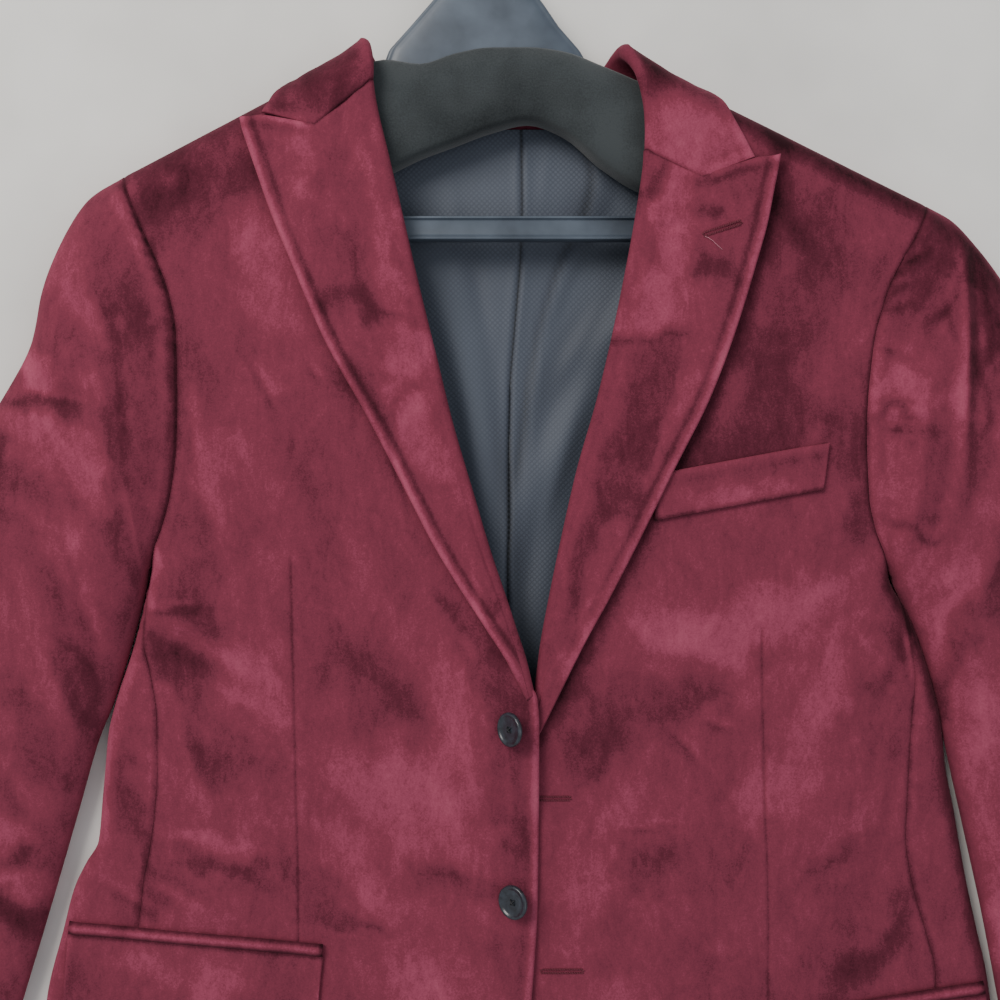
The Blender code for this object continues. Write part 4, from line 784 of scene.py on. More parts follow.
@dataclass
class Half:
    """One side of the coat: the lines of its plan and the heights of its cloth.

    Attributes:
        side: The wearer's right or left.
    """

    side: Side

    def place(self, out: Array, y: Array, z: Array) -> Array:
        """Points with x from the outwards distance."""
        out, y, z = np.broadcast_arrays(out, y, z)
        return np.stack([self.side.sign * out, y, z], -1)

    def shoulder_axes(self) -> tuple[Array, Array, Array]:
        """Neck end of the shoulder edge, the unit vector along it and the one into the body."""
        start = np.array(SHOULDER[self.side]["neck"])
        run = np.array(SHOULDER[self.side]["point"]) - start
        run = run / np.linalg.norm(run)
        return start, run, np.array([-run[1], run[0]]) * -1

    def shoulder_normal(self) -> Array:
        """The level direction straight out of the shoulder edge, in the frame."""
        _, _, inward = self.shoulder_axes()
        return np.array([-inward[0] * self.side.sign, -inward[1], 0.0])

    def into_body(self, out: Array, y: Array) -> Array:
        """How far a place lies below the shoulder edge."""
        start, _, inward = self.shoulder_axes()
        return (out - start[0]) * inward[0] + (y - start[1]) * inward[1]

    def edge_share(self, out: Array, y: Array) -> Array:
        """0 on the coat's outline and 1 where the cloth lies level."""
        line = SIDE_EDGE[self.side]
        from_side = smooth(y, line["y"], line["out"]) - out
        return quarter(self.into_body(out, y) / SHOULDER_ROUND) * quarter(from_side / SIDE_ROUND)

    def lap_lift(self, out: Array, y: Array) -> Array:
        """Extra height of the wearer's right front over the left one."""
        if self.side is Side.LEFT:
            return np.zeros(np.broadcast(out, y).shape)
        near = ease((-out - LAP_FROM_X) / (LAP_TO_X - LAP_FROM_X))
        return near * smooth(y, LAP_LIFT["y"], LAP_LIFT["z"])

    def form_height(self, out: Array, y: Array) -> Array:
        """Height of a front's outer face, as its solid has it."""
        crown = smooth(y, CROWN["y"], CROWN["z"])
        edge = smooth(y, EDGE_HEIGHT["y"], EDGE_HEIGHT["z"])
        top = crown * (1 - SIDE_FALL * np.clip((out - 60) / 170, 0, 1) ** 2)
        top = top + folds_at(FRONT_FOLDS[self.side], out, y) + self.lap_lift(out, y)
        return edge + (top - edge) * self.edge_share(out, y)

    def front_height(self, out: Array, y: Array) -> Array:
        """Height of a front's outer face with its finer creases."""
        seed = 11 if self.side is Side.RIGHT else 23
        fine = folds_at(FRONT_CREASES[self.side], out, y)
        fine = fine + 0.55 * ripple(out, y, 47, seed) + 0.22 * ripple(out, y, 21, seed + 1)
        return self.form_height(out, y) + fine * self.edge_share(out, y)

    def back_height(self, out: Array, y: Array) -> Array:
        """Height of the back's outer face, which lies on the floor but for its rim and the neck."""
        edge = smooth(y, EDGE_HEIGHT["y"], EDGE_HEIGHT["z"])
        from_neck = np.hypot((self.side.sign * out + 8) / 118, (y - 262) / 66)
        base = NECK_RAISE * (1 - ease((from_neck - 1.06) / 0.3))
        return edge + (base - edge) * self.edge_share(out, y)

    def front_line(self, y: Array) -> Array:
        """Outwards place of a front's inner edge: collar seam, lapel fold, then front edge."""
        neck, line = NECK_LINE[self.side], FRONT_LINE[self.side]
        inset = ROLL_INSET * ease((y - BREAK_Y[self.side] + 4) / 8)
        return np.where(
            y > neck["y"][-1],
            smooth(y, neck["y"], neck["out"]),
            smooth(y, line["y"], line["out"]) + inset,
        )

    def seam_line(self, y: Array) -> Array:
        """Outwards place of the seam between the front and its side panel."""
        return smooth(y, FRONT_SEAM[self.side]["y"], FRONT_SEAM[self.side]["out"])

    def armhole(self, tables: dict[str, Table]) -> tuple[Array, Array]:
        """Points of an armhole's table and the share of its length at each of them."""
        points = np.stack([tables[self.side]["out"], tables[self.side]["y"]], -1)
        steps = np.linalg.norm(np.diff(points, axis=0), axis=1)
        return points, np.concatenate([[0], np.cumsum(steps)]) / steps.sum()

    def beside(self, tables: dict[str, Table], shares: Array, gap: float) -> Array:
        """Points along an armhole, moved off it.

        Args:
            tables: The armhole's tables for both sides.
            shares: Shares of its length from the shoulder point.
            gap: How far the points move; a positive gap moves to the sleeve.

        Returns:
            One point a share.
        """
        points, _ = self.armhole(tables)
        here = along(points, shares)
        ahead = along(points, np.clip(shares + 0.004, 0, 1))
        run = ahead - along(points, np.clip(shares - 0.004, 0, 1))
        run = run / np.linalg.norm(run, axis=1, keepdims=True)
        return here + gap * np.stack([-run[:, 1], run[:, 0]], -1)

    def face_normals(
        self, height: Callable[[Array, Array], Array], out: Array, y: Array, up: int
    ) -> Array:
        """Unit normals of a height's surface, in the frame.

        Args:
            height: The height's method.
            out: Outwards places.
            y: Places up the coat.
            up: 1 on an upper face and -1 on a lower one.

        Returns:
            One normal a place.
        """
        step = 0.4
        slope_out = (height(out + step, y) - height(out - step, y)) / (2 * step)
        slope_y = (height(out, y + step) - height(out, y - step)) / (2 * step)
        normal = np.stack([-slope_out * self.side.sign, -slope_y, np.ones_like(slope_y)], -1)
        return up * normal / np.linalg.norm(normal, axis=-1, keepdims=True)

    def front_tone_and_shade(self, shades: dict[str, Table], out: Array, y: Array) -> Array:
        """Tone of the front: painted sheen and shade by the way each slope faces, and brushed
        patches.

        Args:
            shades: The tables of brushed patches and painted crease shade, for both sides.
            out: Outwards places.
            y: Places up the coat.

        Returns:
            How light the cloth is painted at each place.
        """
        normal = self.face_normals(self.front_height, out, y, 1)
        # Painted sheen and shade by slope: darker where the cloth faces up the coat, lighter where
        # it faces the wearer's right.
        turned = np.clip(-1.1 * normal[..., 1] - 0.8 * normal[..., 0], -0.75, 0.6)
        return turned + strokes_and_shade_at(shades[self.side], out, y)

    def wrap_point(self, place: Array) -> tuple[Array, Array]:
        """Point and outward normal on the coat's surface round the shoulder edge.

        Args:
            place: Distance along the edge and round it, positive on the front, negative behind.

        Returns:
            The point, with x as an outwards distance, and its normal.
        """
        start, run, inward = self.shoulder_axes()
        a, b = place
        outward_face = 1.0 if b >= 0 else -1.0
        base = start + run * a
        edge = float(smooth(base[1], EDGE_HEIGHT["y"], EDGE_HEIGHT["z"]))
        reach = abs(b)
        level_at = base + inward * SHOULDER_ROUND
        level = self.form_height if b >= 0 else self.back_height
        rise = abs(float(level(*level_at)) - edge)
        arc = math.pi / 2 * math.sqrt((SHOULDER_ROUND**2 + rise**2) / 2)
        if reach < arc:
            turn = reach / arc * math.pi / 2
            depth = SHOULDER_ROUND * (1 - math.cos(turn))
            z = edge + outward_face * rise * math.sin(turn)
            tilt = np.array([rise * math.cos(turn), SHOULDER_ROUND * math.sin(turn)])
            tilt = tilt / np.linalg.norm(tilt)
            flat = -inward * tilt[0]
            normal = np.array([flat[0], flat[1], outward_face * tilt[1]])
        else:
            depth = SHOULDER_ROUND + reach - arc
            z = float(level(*(base + inward * depth)))
            normal = np.array([0, 0, outward_face])
        plan = base + inward * depth
        return np.array([plan[0], plan[1], z]), normal

    def wrap_place(self, face: float, out: float, y: float) -> tuple[float, float]:
        """Distances along and round the shoulder edge of a place seen from above.

        Args:
            face: 1 on the front and -1 on the back.
            out: The place's outwards distance.
            y: The place up the coat.

        Returns:
            The distance along the edge and the distance round it.
        """
        start, run, inward = self.shoulder_axes()
        rel = np.array([out, y]) - start
        a, depth = float(rel @ run), max(float(rel @ inward), 0.0)
        base = start + run * a
        edge = float(smooth(base[1], EDGE_HEIGHT["y"], EDGE_HEIGHT["z"]))
        level = self.form_height if face > 0 else self.back_height
        rise = abs(float(level(*(base + inward * SHOULDER_ROUND))) - edge)
        arc = math.pi / 2 * math.sqrt((SHOULDER_ROUND**2 + rise**2) / 2)
        if depth < SHOULDER_ROUND:
            reach = arc * math.acos(1 - depth / SHOULDER_ROUND) / (math.pi / 2)
        else:
            reach = arc + depth - SHOULDER_ROUND
        return a, face * reach


# Fine creases: where, which way, half their length, half their width, height.
FRONT_CREASES = {
    "right": patches(
        (205, -62, -6, 14, 2.8, -1.2), (195, -69, -26, 17, 4, 1.0),
        (191, -79, -30, 17, 3.6, -1.0),
        (178, -97, -42, 15, 5, 0.5), (168, -116, 24, 24, 5, -0.5),
        (205, -128, -60, 30, 5, -0.8),
        (192, -150, 74, 34, 5, 0.8), (120, 176, -62, 26, 7, 0.9), (168, 150, 70, 34, 9, -0.8),
        (186, 60, 84, 40, 6, 0.8), (178, -20, 78, 44, 6, -0.8), (98, -20, 64, 44, 9, 0.8),
        (60, -110, 60, 40, 8, -0.8), (40, -72, 52, 26, 5, 0.9), (30, -150, 84, 34, 5, 0.7),
        (46, -205, 70, 40, 8, -0.8), (100, -130, 80, 48, 9, 0.9), (162, -205, 12, 34, 6, -0.7),
        (205, -226, 24, 30, 5, 0.8), (232, -232, 30, 22, 4, -0.8), (110, -300, 70, 50, 9, 0.9),
        (190, -350, 84, 60, 8, -0.9), (50, -360, 80, 60, 9, 0.8), (150, -470, 82, 50, 8, -0.9),
        (149, 67, 62, 14, 3.0, -0.7), (131, 31, 100, 8, 2.8, -0.8), (97, 41, 110, 9, 2.8, -0.8),
        (119, 72, 50, 5, 2.8, -0.8), (70, 10, 72, 16, 2.6, -0.8),
    ),
    "left": patches(
        (214, -96, 64, 20, 3.2, -1.2), (207, -110, 58, 24, 4, 0.9),
        (200, -124, 52, 26, 4, -1.0),
        (190, -142, 46, 30, 5, 0.8), (214, -176, 76, 34, 4, -0.8), (150, 148, -66, 24, 7, 0.9),
        (176, 100, 74, 34, 8, -0.8), (168, 34, 82, 36, 6, 0.7), (60, -92, 55, 34, 7, 0.8),
        (84, -150, 70, 46, 8, -0.8), (34, -196, 80, 34, 6, 0.8), (108, -176, 62, 40, 8, 0.8),
        (60, -250, 74, 46, 8, -0.8), (172, -236, 40, 38, 6, 0.9), (222, -250, 56, 30, 5, -0.9),
        (120, -300, 74, 50, 9, 0.9), (44, -350, 84, 60, 9, 0.8), (200, -360, 84, 60, 8, -0.9),
        (90, -440, 78, 60, 9, -0.8), (160, -480, 84, 50, 8, 0.9),
        (112, -130, -14, 8, 3.0, -0.8), (94, -143, -50, 14, 3.2, -0.7),
        (221, -88, 100, 24, 3.2, -1.2),
        (214, -104, 62, 16, 3.2, -1.0), (204, -150, 76, 22, 3.4, -0.9),
        (72, -190, 6, 16, 2.4, -0.8),
    ),
}
LAPEL_CREASES = {
    "right": patches(
        (118, 176, 72, 32, 9, 0.8), (98, 120, -72, 40, 8, -0.8), (72, 92, 14, 12, 4, 0.9),
        (84, 60, 66, 36, 8, 0.7), (52, 20, 62, 36, 7, -0.6), (36, -20, 60, 30, 6, 0.6),
    ),
    "left": patches(
        (104, 150, 80, 30, 9, 0.4), (82, 153, 8, 11, 2.4, -0.9), (88, 110, -70, 36, 8, -0.6),
        (100, 78, 74, 30, 7, 0.8),
        (70, 50, 66, 40, 8, -0.8), (60, 0, 62, 40, 8, 0.7), (34, -50, 60, 34, 6, -0.7),
    ),
}
COLLAR_CREASES = patches(
    (-112, 232, -40, 22, 6, 0.8), (-126, 222, -30, 16, 5, -0.6), (-98, 240, -62, 20, 6, -0.7),
    (92, 214, 50, 22, 7, 0.8), (76, 230, 60, 22, 6, -0.7), (106, 200, 30, 16, 5, 0.6),
)
SLEEVE_CREASES = {
    "right": patches(
        (233, 102, 60, 11, 5, -1.3), (240, 112, 56, 12, 5, 0.8), (222, 146, 68, 22, 5, -0.9),
        (279, 62, 12, 26, 3.2, -1.2), (290, 52, 15, 24, 4, 0.9), (296, 38, 18, 22, 3.6, -0.9),
        (262, 20, 62, 32, 4.5, -0.9), (236, 20, 84, 34, 4, 0.9), (226, 60, 86, 36, 4, -0.9),
        (252, -60, 76, 44, 5, -0.9), (300, -46, 66, 46, 6, 0.9), (330, -64, 64, 40, 5, -0.9),
        (262, -120, 70, 40, 5, 0.9), (300, -160, 56, 44, 6, -0.9), (370, -120, 66, 44, 6, 0.8),
        (398, -170, 70, 40, 6, -0.8), (330, -230, 30, 44, 7, 0.9), (390, -270, 60, 50, 7, -0.9),
        (350, -330, 62, 50, 7, 0.8), (420, -350, 66, 44, 7, 0.8),
    ),
    "left": patches(
        (218.6, 137.6, 40, 11, 2.6, -1.7), (222, 133, 40, 12, 3.2, 1.0),
        (210, 111, 25, 10, 2.6, -1.3),
        (212, 105, 25, 11, 3, 0.8), (207, 86, -18, 11, 2.6, -1.2), (224, 88, 40, 10, 2.6, -1.2),
        (236, 103, 57, 15, 3, -1.1), (226, 95, 45, 14, 4, 0.7), (212, 43, -6, 20, 3.2, -1.3),
        (214, 51, -4, 20, 4, 0.8), (214, -17, -4, 16, 3, -1.1), (216, -25, -6, 16, 4, 0.7),
        (249.5, 84, 90, 62, 2.6, 0.9), (256, 84, 90, 62, 3.4, -0.9), (236, 0, 80, 40, 5, -0.8),
        (270, -20, 72, 46, 6, 0.9), (300, -30, 64, 40, 5, -0.9), (248, -90, 74, 40, 5, 0.9),
        (290, -110, 60, 44, 6, -0.9), (340, -90, 66, 44, 6, 0.8), (310, -190, 34, 40, 6, 0.9),
        (360, -200, 66, 44, 6, -0.8), (330, -290, 60, 50, 7, -0.9), (390, -300, 70, 50, 7, 0.8),
    ),
}
LINING_CREASES = patches(
    (12, 188, 82, 20, 3.2, 0.4), (34, 176, 76, 26, 4, 0.4), (44, 150, 70, 30, 4, -0.8),
    (-40, 150, 96, 34, 5, 0.8), (-26, 120, 100, 40, 4, -0.8), (-52, 60, 104, 40, 6, 0.9),
    (-30, 30, 99, 46, 4, 0.8), (6, 60, 82, 34, 3, 0.9), (34, 96, 62, 30, 4, 0.9),
    (26, 120, 64, 30, 3.4, -0.8), (18, 10, 72, 40, 4, 0.9), (2, -40, 80, 34, 3, -0.8),
    (-18, -50, 96, 30, 3.4, 0.9),
)

# Patches where the pile was brushed another way, and painted shade in creases and dimples; the last
# column is how light.
FRONT_SHADES = {
    "right": patches(
        (150, -110, 70, 50, 16, 0.22), (104, -214, 40, 34, 14, 0.34),
        (190, -86, 70, 26, 13, -0.36),
        (188, -196, 25, 26, 8, 0.36), (176, -216, 20, 30, 7, -0.34),
        (218, -232, 60, 14, 6, -0.40),
        (184, -156, 40, 24, 9, -0.26), (96, -252, 8, 30, 5, -0.32),
        (182, 178, -28, 62, 18, -0.54),
        (118, -10, 84, 90, 16, -0.20), (196, 40, 86, 90, 15, -0.34),
        (140, 120, 60, 60, 26, 0.20), (100, 70, 60, 18, 10, -0.40), (62, 60, 20, 16, 7, -0.42),
        (36, -76, 52, 34, 9, -0.24), (12, -150, 88, 70, 8, -0.36), (70, -176, 60, 48, 30, 0.44),
        (76, -120, 40, 40, 14, -0.26), (208, -96, 50, 34, 9, -0.5),
        (228, -180, 84, 40, 8, -0.30), (48, -222, 6, 36, 8, -0.36),
        (160, 20, 70, 50, 18, 0.16), (60, -290, 80, 60, 22, 0.26),
        (178, -320, 80, 60, 22, 0.24),
        (120, -420, 70, 80, 26, -0.22), (200, -460, 80, 60, 20, 0.26),
        (206, 166, -28, 30, 12, -0.30),
    ),
    "left": patches(
        (96, -86, -32, 46, 15, 0.36), (36, -140, 88, 38, 13, -0.32),
        (104, -112, 34, 34, 9, -0.30),
        (60, -124, 40, 34, 12, -0.30),
        (150, -60, 20, 60, 16, 0.24), (196, 30, 84, 60, 14, -0.40),
        (150, 110, 70, 70, 24, -0.30),
        (176, -110, 60, 60, 16, 0.24), (210, -100, 60, 34, 8, -0.30),
        (186, -200, 60, 60, 18, 0.22),
        (40, -210, 84, 60, 20, 0.24), (110, -256, 70, 40, 14, -0.16),
        (180, -210, 48, 27, 7, -0.42), (208, -256, 57, 34, 9, -0.46),
        (73, -215, 60, 26, 15, -0.26), (150, -172, 40, 30, 14, 0.22),
        (140, 160, -40, 50, 14, -0.34), (84, 20, 20, 50, 9, -0.30),
        (120, 40, 10, 50, 12, -0.22),
        (60, -330, 80, 70, 24, 0.24), (170, -360, 80, 70, 24, -0.22),
        (110, -460, 80, 60, 22, 0.24),
        (16, -110, 62, 40, 8, -0.36),
    ),
}
LAPEL_SHADES = {
    "right": patches(
        (120, 190, 80, 40, 16, 0.26), (100, 150, 78, 50, 12, -0.26), (86, 176, 74, 50, 8, 0.20),
        (84, 108, 4, 34, 7, -0.44), (66, 60, -6, 22, 2.6, -0.40), (72, 110, 66, 48, 11, 0.36),
        (96, 60, 60, 40, 9, -0.30),
        (56, 30, 64, 54, 11, 0.40), (34, -16, 60, 40, 8, -0.26), (22, -56, 58, 30, 5, 0.22),
    ),
    "left": patches(
        (111, 177, 18, 26, 5, -0.45), (70, 176, 80, 16, 6, -0.35),
        (109, 129, -10, 14, 7, -0.48),
        (80, 106, 10, 26, 13, 0.34), (54, 3, 62, 44, 14, -0.24),
        (66, 88, 2, 30, 4, -0.34), (84, 170, 84, 30, 12, 0.28), (82, 132, 80, 38, 16, 0.34),
        (62, 60, 70, 34, 14, -0.24),
        (84, 80, 76, 40, 10, -0.34), (100, 66, 66, 30, 7, 0.26), (66, 40, 40, 30, 9, -0.26),
        (74, 20, 62, 30, 6, 0.20), (40, -30, 60, 36, 8, -0.22), (30, -70, 60, 34, 6, 0.24),
    ),
}
COLLAR_SHADES = patches(
    (-112, 228, -30, 32, 14, -0.40), (-100, 238, -60, 24, 10, -0.24),
    (-140, 212, -20, 16, 6, -0.20),
    (98, 206, 50, 60, 34, 0.44), (70, 236, 60, 24, 10, -0.30), (118, 194, 20, 16, 6, 0.24),
)
SLEEVE_SHADES = {
    "right": patches(
        (222, 110, 76, 60, 9, -0.18), (233, 108, 40, 15, 7, -0.50),
        (262, 80, 62, 60, 10, -0.30), (246, 30, 80, 60, 16, 0.08),
        (284, 64, 14, 28, 5, -0.40), (296, 90, 62, 50, 9, 0.40), (230, -10, 84, 50, 9, -0.26),
        (300, 10, 70, 60, 14, -0.26), (270, -40, 76, 70, 16, 0.26),
        (320, -60, 66, 60, 12, 0.24),
        (256, -110, 74, 60, 8, -0.34), (290, -130, 66, 50, 12, -0.26),
        (350, -150, 60, 60, 18, 0.22),
        (296, -210, 0, 16, 6, -0.50), (290, -226, 8, 22, 5, 0.36),
        (300, -240, 10, 20, 7, -0.45),
        (300, -190, 50, 40, 12, 0.22), (380, -240, 66, 60, 20, -0.26),
        (340, -320, 60, 80, 26, 0.26),
        (430, -330, 66, 60, 18, -0.24),
    ),
    "left": patches(
        (214, 120, 60, 30, 12, -0.34), (236, 124, 66, 30, 8, 0.20), (246, 70, 88, 60, 5, 0.16),
        (258, 80, 88, 66, 6, -0.34), (214, 44, -4, 22, 3.4, -0.40), (216, 60, 0, 26, 9, 0.26),
        (216, -17, -4, 20, 4, -0.36), (209, 134, 52, 20, 4, -0.60),
        (205, 112, 40, 12, 3.4, -0.55), (232, 104, 50, 22, 5, -0.40),
        (226, 20, 84, 40, 10, 0.12), (280, 60, 66, 60, 14, 0.16), (250, -40, 74, 60, 12, 0.26),
        (284, -30, 66, 50, 10, -0.30), (246, -110, 76, 50, 8, -0.36),
        (290, -100, 64, 60, 16, 0.26),
        (330, -150, 60, 60, 18, -0.24), (300, -230, 60, 60, 18, 0.24),
        (370, -260, 70, 70, 20, 0.2),
    ),
}
# Painted sheen and painted shade along the lining's folds; the last column is how light.
LINING_SHADES = patches(
    (-40, 175, 8, 60, 20, 0.10), (30, 120, 60, 60, 12, 0.26), (-30, 70, 100, 70, 12, 0.32),
    (20, 40, 74, 60, 8, 0.10), (24, 90, 62, 50, 18, -0.30), (-14, 20, 98, 60, 6, -0.40),
    (36, 170, 80, 24, 10, -0.34),
    (0, -40, 88, 40, 10, -0.34), (-34, 140, 96, 30, 10, -0.26),
)
# Brushed patches on the pockets; the last column is how light.
POCKET_SHADES = {
    "right": patches((190, -280, 10, 60, 16, 0.24), (140, -300, 60, 40, 12, -0.2)),
    "left": patches((120, 6, 10, 50, 10, 0.26), (190, -320, 12, 60, 16, 0.2)),
}

# Darts, and the line along which the left back lining folds over the right one.
DART_LINE = {
    "right": table("y out", (40, 136.6), (-26, 134.9), (-120, 133.4), (-249, 132), (-560, 132)),
    "left": table("y out", (0, 133.6), (-67, 136.4), (-160, 139), (-267, 142.2), (-560, 144)),
}
DART_TOP = {"right": -26.0, "left": -66.7}
PLEAT_LINE = table(
    "y x",
    (209, 36), (190, 40), (168, 35.6), (141, 22), (119, 14.5), (89, 6.5), (60, 2), (20, -3),
    (-20, -7), (-80, -9),
)

# Buttonholes: their inner and outer ends, across and up the coat.
BUTTONHOLES = (
    ("upper", (7.6, -173.2), (25.9, -173.2)), ("lower", (10.4, -275.3), (33.5, -275.0)),
)
LAPEL_HOLE = ((100.2, 148.6), (119.2, 154.8))
# A loose end of its thread: places across and up the coat, and the height over the lapel.
LOOSE_THREAD = (
    (99.9, 147.4, 0.9), (102.0, 146.3, 1.6), (104.5, 144.6, 1.4), (107.0, 142.3, 1.1),
    (109.8, 139.9, 0.8),
)


def linear(colour: str) -> tuple[float, float, float, float]:
    """Turns an sRGB hex colour to linear red, green, blue and alpha."""
    parts = [int(colour[i : i + 2], 16) / 255 for i in (1, 3, 5)]
    return (*(p / 12.92 if p <= 0.04045 else ((p + 0.055) / 1.055) ** 2.4 for p in parts), 1.0)


def add(
    tree: bpy.types.NodeTree,
    kind: str,
    settings: dict[str | int, object] | None = None,
    links: dict[str | int, bpy.types.NodeSocket] | None = None,
) -> bpy.types.Node:
    """Adds a node with its settings and links.

    Args:
        tree: The material's node tree.
        kind: The node's type.
        settings: Sockets by name or number, other settings by name, and "stops" of a ramp.
        links: For each socket, the output that feeds it.

    Returns:
        The node.
    """
    node = tree.nodes.new(kind)
    for key, value in (settings or {}).items():
        if key == "stops":
            first, *middle, last = value
            elements = node.color_ramp.elements
            for element, (place, colour) in ((elements[0], first), (elements[1], last)):
                element.position, element.color = place, colour
            for place, colour in middle:
                elements.new(place).color = colour
        elif isinstance(key, int) or key in node.inputs:
            node.inputs[key].default_value = value
        else:
            setattr(node, key, value)
    for key, source in (links or {}).items():
        tree.links.new(source, node.inputs[key])
    return node


@dataclass(frozen=True)
class Finish:
    """What a piece is made of.

    Attributes:
        name: Its common name.
        slot: The record's material slot; it is not used.
        colour: Its main colour.
        roughness: Its roughness.
    """

    name: str
    slot: str
    colour: str
    roughness: float

    def material(self) -> bpy.types.Material:
        """The finish's material, made when it is first asked for."""
        found = bpy.data.materials.get(self.name)
        if found:
            return found
        made = bpy.data.materials.new(self.name)
        made.use_nodes = True
        shader = made.node_tree.nodes["Principled BSDF"]
        shader.inputs["Base Color"].default_value = linear(self.colour)
        shader.inputs["Roughness"].default_value = self.roughness
        made.diffuse_color = linear(self.colour)
        self.dress(made.node_tree, shader)
        return made

    def dress(self, tree: bpy.types.NodeTree, shader: bpy.types.Node) -> None:
        """Adds the surface's detail to its shader."""


@dataclass(frozen=True)
class CottonVelvet(Finish):
    """Cut-pile cotton velvet, dyed and brushed down the coat.

    The pile stands about 1.5 mm and drinks light where one looks into it, so the cloth is dark
    there and pale where it was stroked flat. It has no gloss, only a soft bloom on slopes.
    """

    deep: str = "#260a12"
    shadow: str = "#521f2d"
    turned: str = "#5d2534"
    settled: str = "#702f40"
    stroked: str = "#904056"
    light: str = "#ad556c"
    bloom: str = "#c77488"

    def dress(self, tree: bpy.types.NodeTree, shader: bpy.types.Node) -> None:
        """Colours the pile from the point value's brushed strokes and painted shade, and from
        uneven brushing.
        """
        place = add(tree, "ShaderNodeTexCoord").outputs["Object"]
        strokes = add(
            tree, "ShaderNodeMapping", {"Scale": (1.0, 0.45, 1.0), "Rotation": (0, 0, 0.16)},
            {"Vector": place},
        ).outputs["Vector"]
        tone_with_shade = add(tree, "ShaderNodeAttribute", {"attribute_name": "nap"}).outputs["Fac"]
        # Swells of 60 mm, strokes of 18 mm and tufts of 5 mm; the 0.3 mm pile is drawn at 1.0 mm.
        for pitch, depth, weight, source in (
            (0.060, 8, 0.74, place), (0.018, 6, 0.72, strokes), (0.005, 3, 0.55, strokes),
            (0.0010, 1, 0.62, place),
        ):
            noise = add(
                tree, "ShaderNodeTexNoise",
                {"Scale": 1 / pitch, "Detail": depth, "Roughness": 0.66, "Distortion": 0.9},
                {"Vector": source},
            )
            level = add(
                tree, "ShaderNodeMath", {"operation": "SUBTRACT", 1: 0.5}, {0: noise.outputs["Fac"]}
            )
            tone_with_shade = add(
                tree, "ShaderNodeMath", {"operation": "MULTIPLY_ADD", 1: weight},
                {0: level.outputs["Value"], 2: tone_with_shade},
            ).outputs["Value"]
        share = add(
            tree, "ShaderNodeMapRange", {"From Min": -1.0, "From Max": 1.0}, {"Value": tone_with_shade}
        ).outputs["Result"]
        # The darker stops also carry painted shade, and the lighter ones painted sheen and
        # highlights.
        stops = (
            (0.02, linear(self.deep)), (0.27, linear(self.shadow)), (0.36, linear(self.turned)),
            (0.45, linear(self.settled)), (0.60, linear(self.colour)),
            (0.70, linear(self.stroked)), (0.97, linear(self.light)),
        )
        colour = add(tree, "ShaderNodeValToRGB", {"stops": stops}, {"Fac": share}).outputs["Color"]
        tree.links.new(colour, shader.inputs["Base Color"])
        shader.inputs["Specular IOR Level"].default_value = 0.12
        shader.inputs["Sheen Weight"].default_value = 0.22
        shader.inputs["Sheen Roughness"].default_value = 0.42
        shader.inputs["Sheen Tint"].default_value = linear(self.bloom)
        pile = add(tree, "ShaderNodeTexNoise", {"Scale": 900.0, "Detail": 2.0}, {"Vector": place})
        bump = add(
            tree, "ShaderNodeBump", {"Strength": 0.35, "Distance": 0.0004},
            {"Height": pile.outputs["Fac"]},
        )
        tree.links.new(bump.outputs["Normal"], shader.inputs["Normal"])


@dataclass(frozen=True)
class JacquardLining(Finish):
    """Polyester lining woven with staggered dots in a slightly shinier weave.

    Filament satin catches the light along its folds; that sheen and the shade between the folds
    are painted into its ground from the point value. Its dots, 2.2 mm apart, glint a little
    brighter or darker than the ground as the cloth turns.
    """

    dot: str = "#69717d"

    def dress(self, tree: bpy.types.NodeTree, shader: bpy.types.Node) -> None:
        """Weaves the dots into the ground."""
        place = add(tree, "ShaderNodeTexCoord").outputs["Object"]
        tone_with_shade = add(tree, "ShaderNodeAttribute", {"attribute_name": "nap"}).outputs["Fac"]
        turned = add(
            tree, "ShaderNodeMapping",
            {"Rotation": (0, 0, math.radians(45)), "Scale": (1, 1, 0.02)}, {"Vector": place},
        ).outputs["Vector"]
        dots = add(
            tree, "ShaderNodeTexVoronoi", {"Scale": 1 / 0.0022, "Randomness": 0.0},
            {"Vector": turned},
        ).outputs["Distance"]
        dot = add(
            tree, "ShaderNodeMapRange", {"From Min": 0.50, "From Max": 0.24}, {"Value": dots}
        ).outputs["Result"]
        drift = add(
            tree, "ShaderNodeTexNoise", {"Scale": 1 / 0.05, "Detail": 2.0}, {"Vector": place}
        ).outputs["Fac"]
        shown = add(
            tree, "ShaderNodeMath", {"operation": "MULTIPLY"}, {0: dot, 1: drift}
        ).outputs["Value"]
        # The ground is painted with the sheen and shade of the folds that the point value holds.
        ground = add(
            tree, "ShaderNodeMapRange", {"From Min": -1.0, "From Max": 1.2}, {"Value": tone_with_shade}
        ).outputs["Result"]
        level = add(
            tree, "ShaderNodeMath", {"operation": "MULTIPLY_ADD", 1: 0.24}, {0: shown, 2: ground}
        ).outputs["Value"]
        stops = (
            (0.0, linear("#14161a")), (0.42, linear(self.colour)), (0.95, linear(self.dot)),
        )
        colour = add(tree, "ShaderNodeValToRGB", {"stops": stops}, {"Fac": level}).outputs["Color"]
        tree.links.new(colour, shader.inputs["Base Color"])
        shader.inputs["Anisotropic"].default_value = 0.4
        shader.inputs["Specular IOR Level"].default_value = 0.35
        shader.inputs["Sheen Weight"].default_value = 0.10
        threads = add(
            tree, "ShaderNodeBump", {"Strength": 0.25, "Distance": 0.0003}, {"Height": dot}
        )
        tree.links.new(threads.outputs["Normal"], shader.inputs["Normal"])


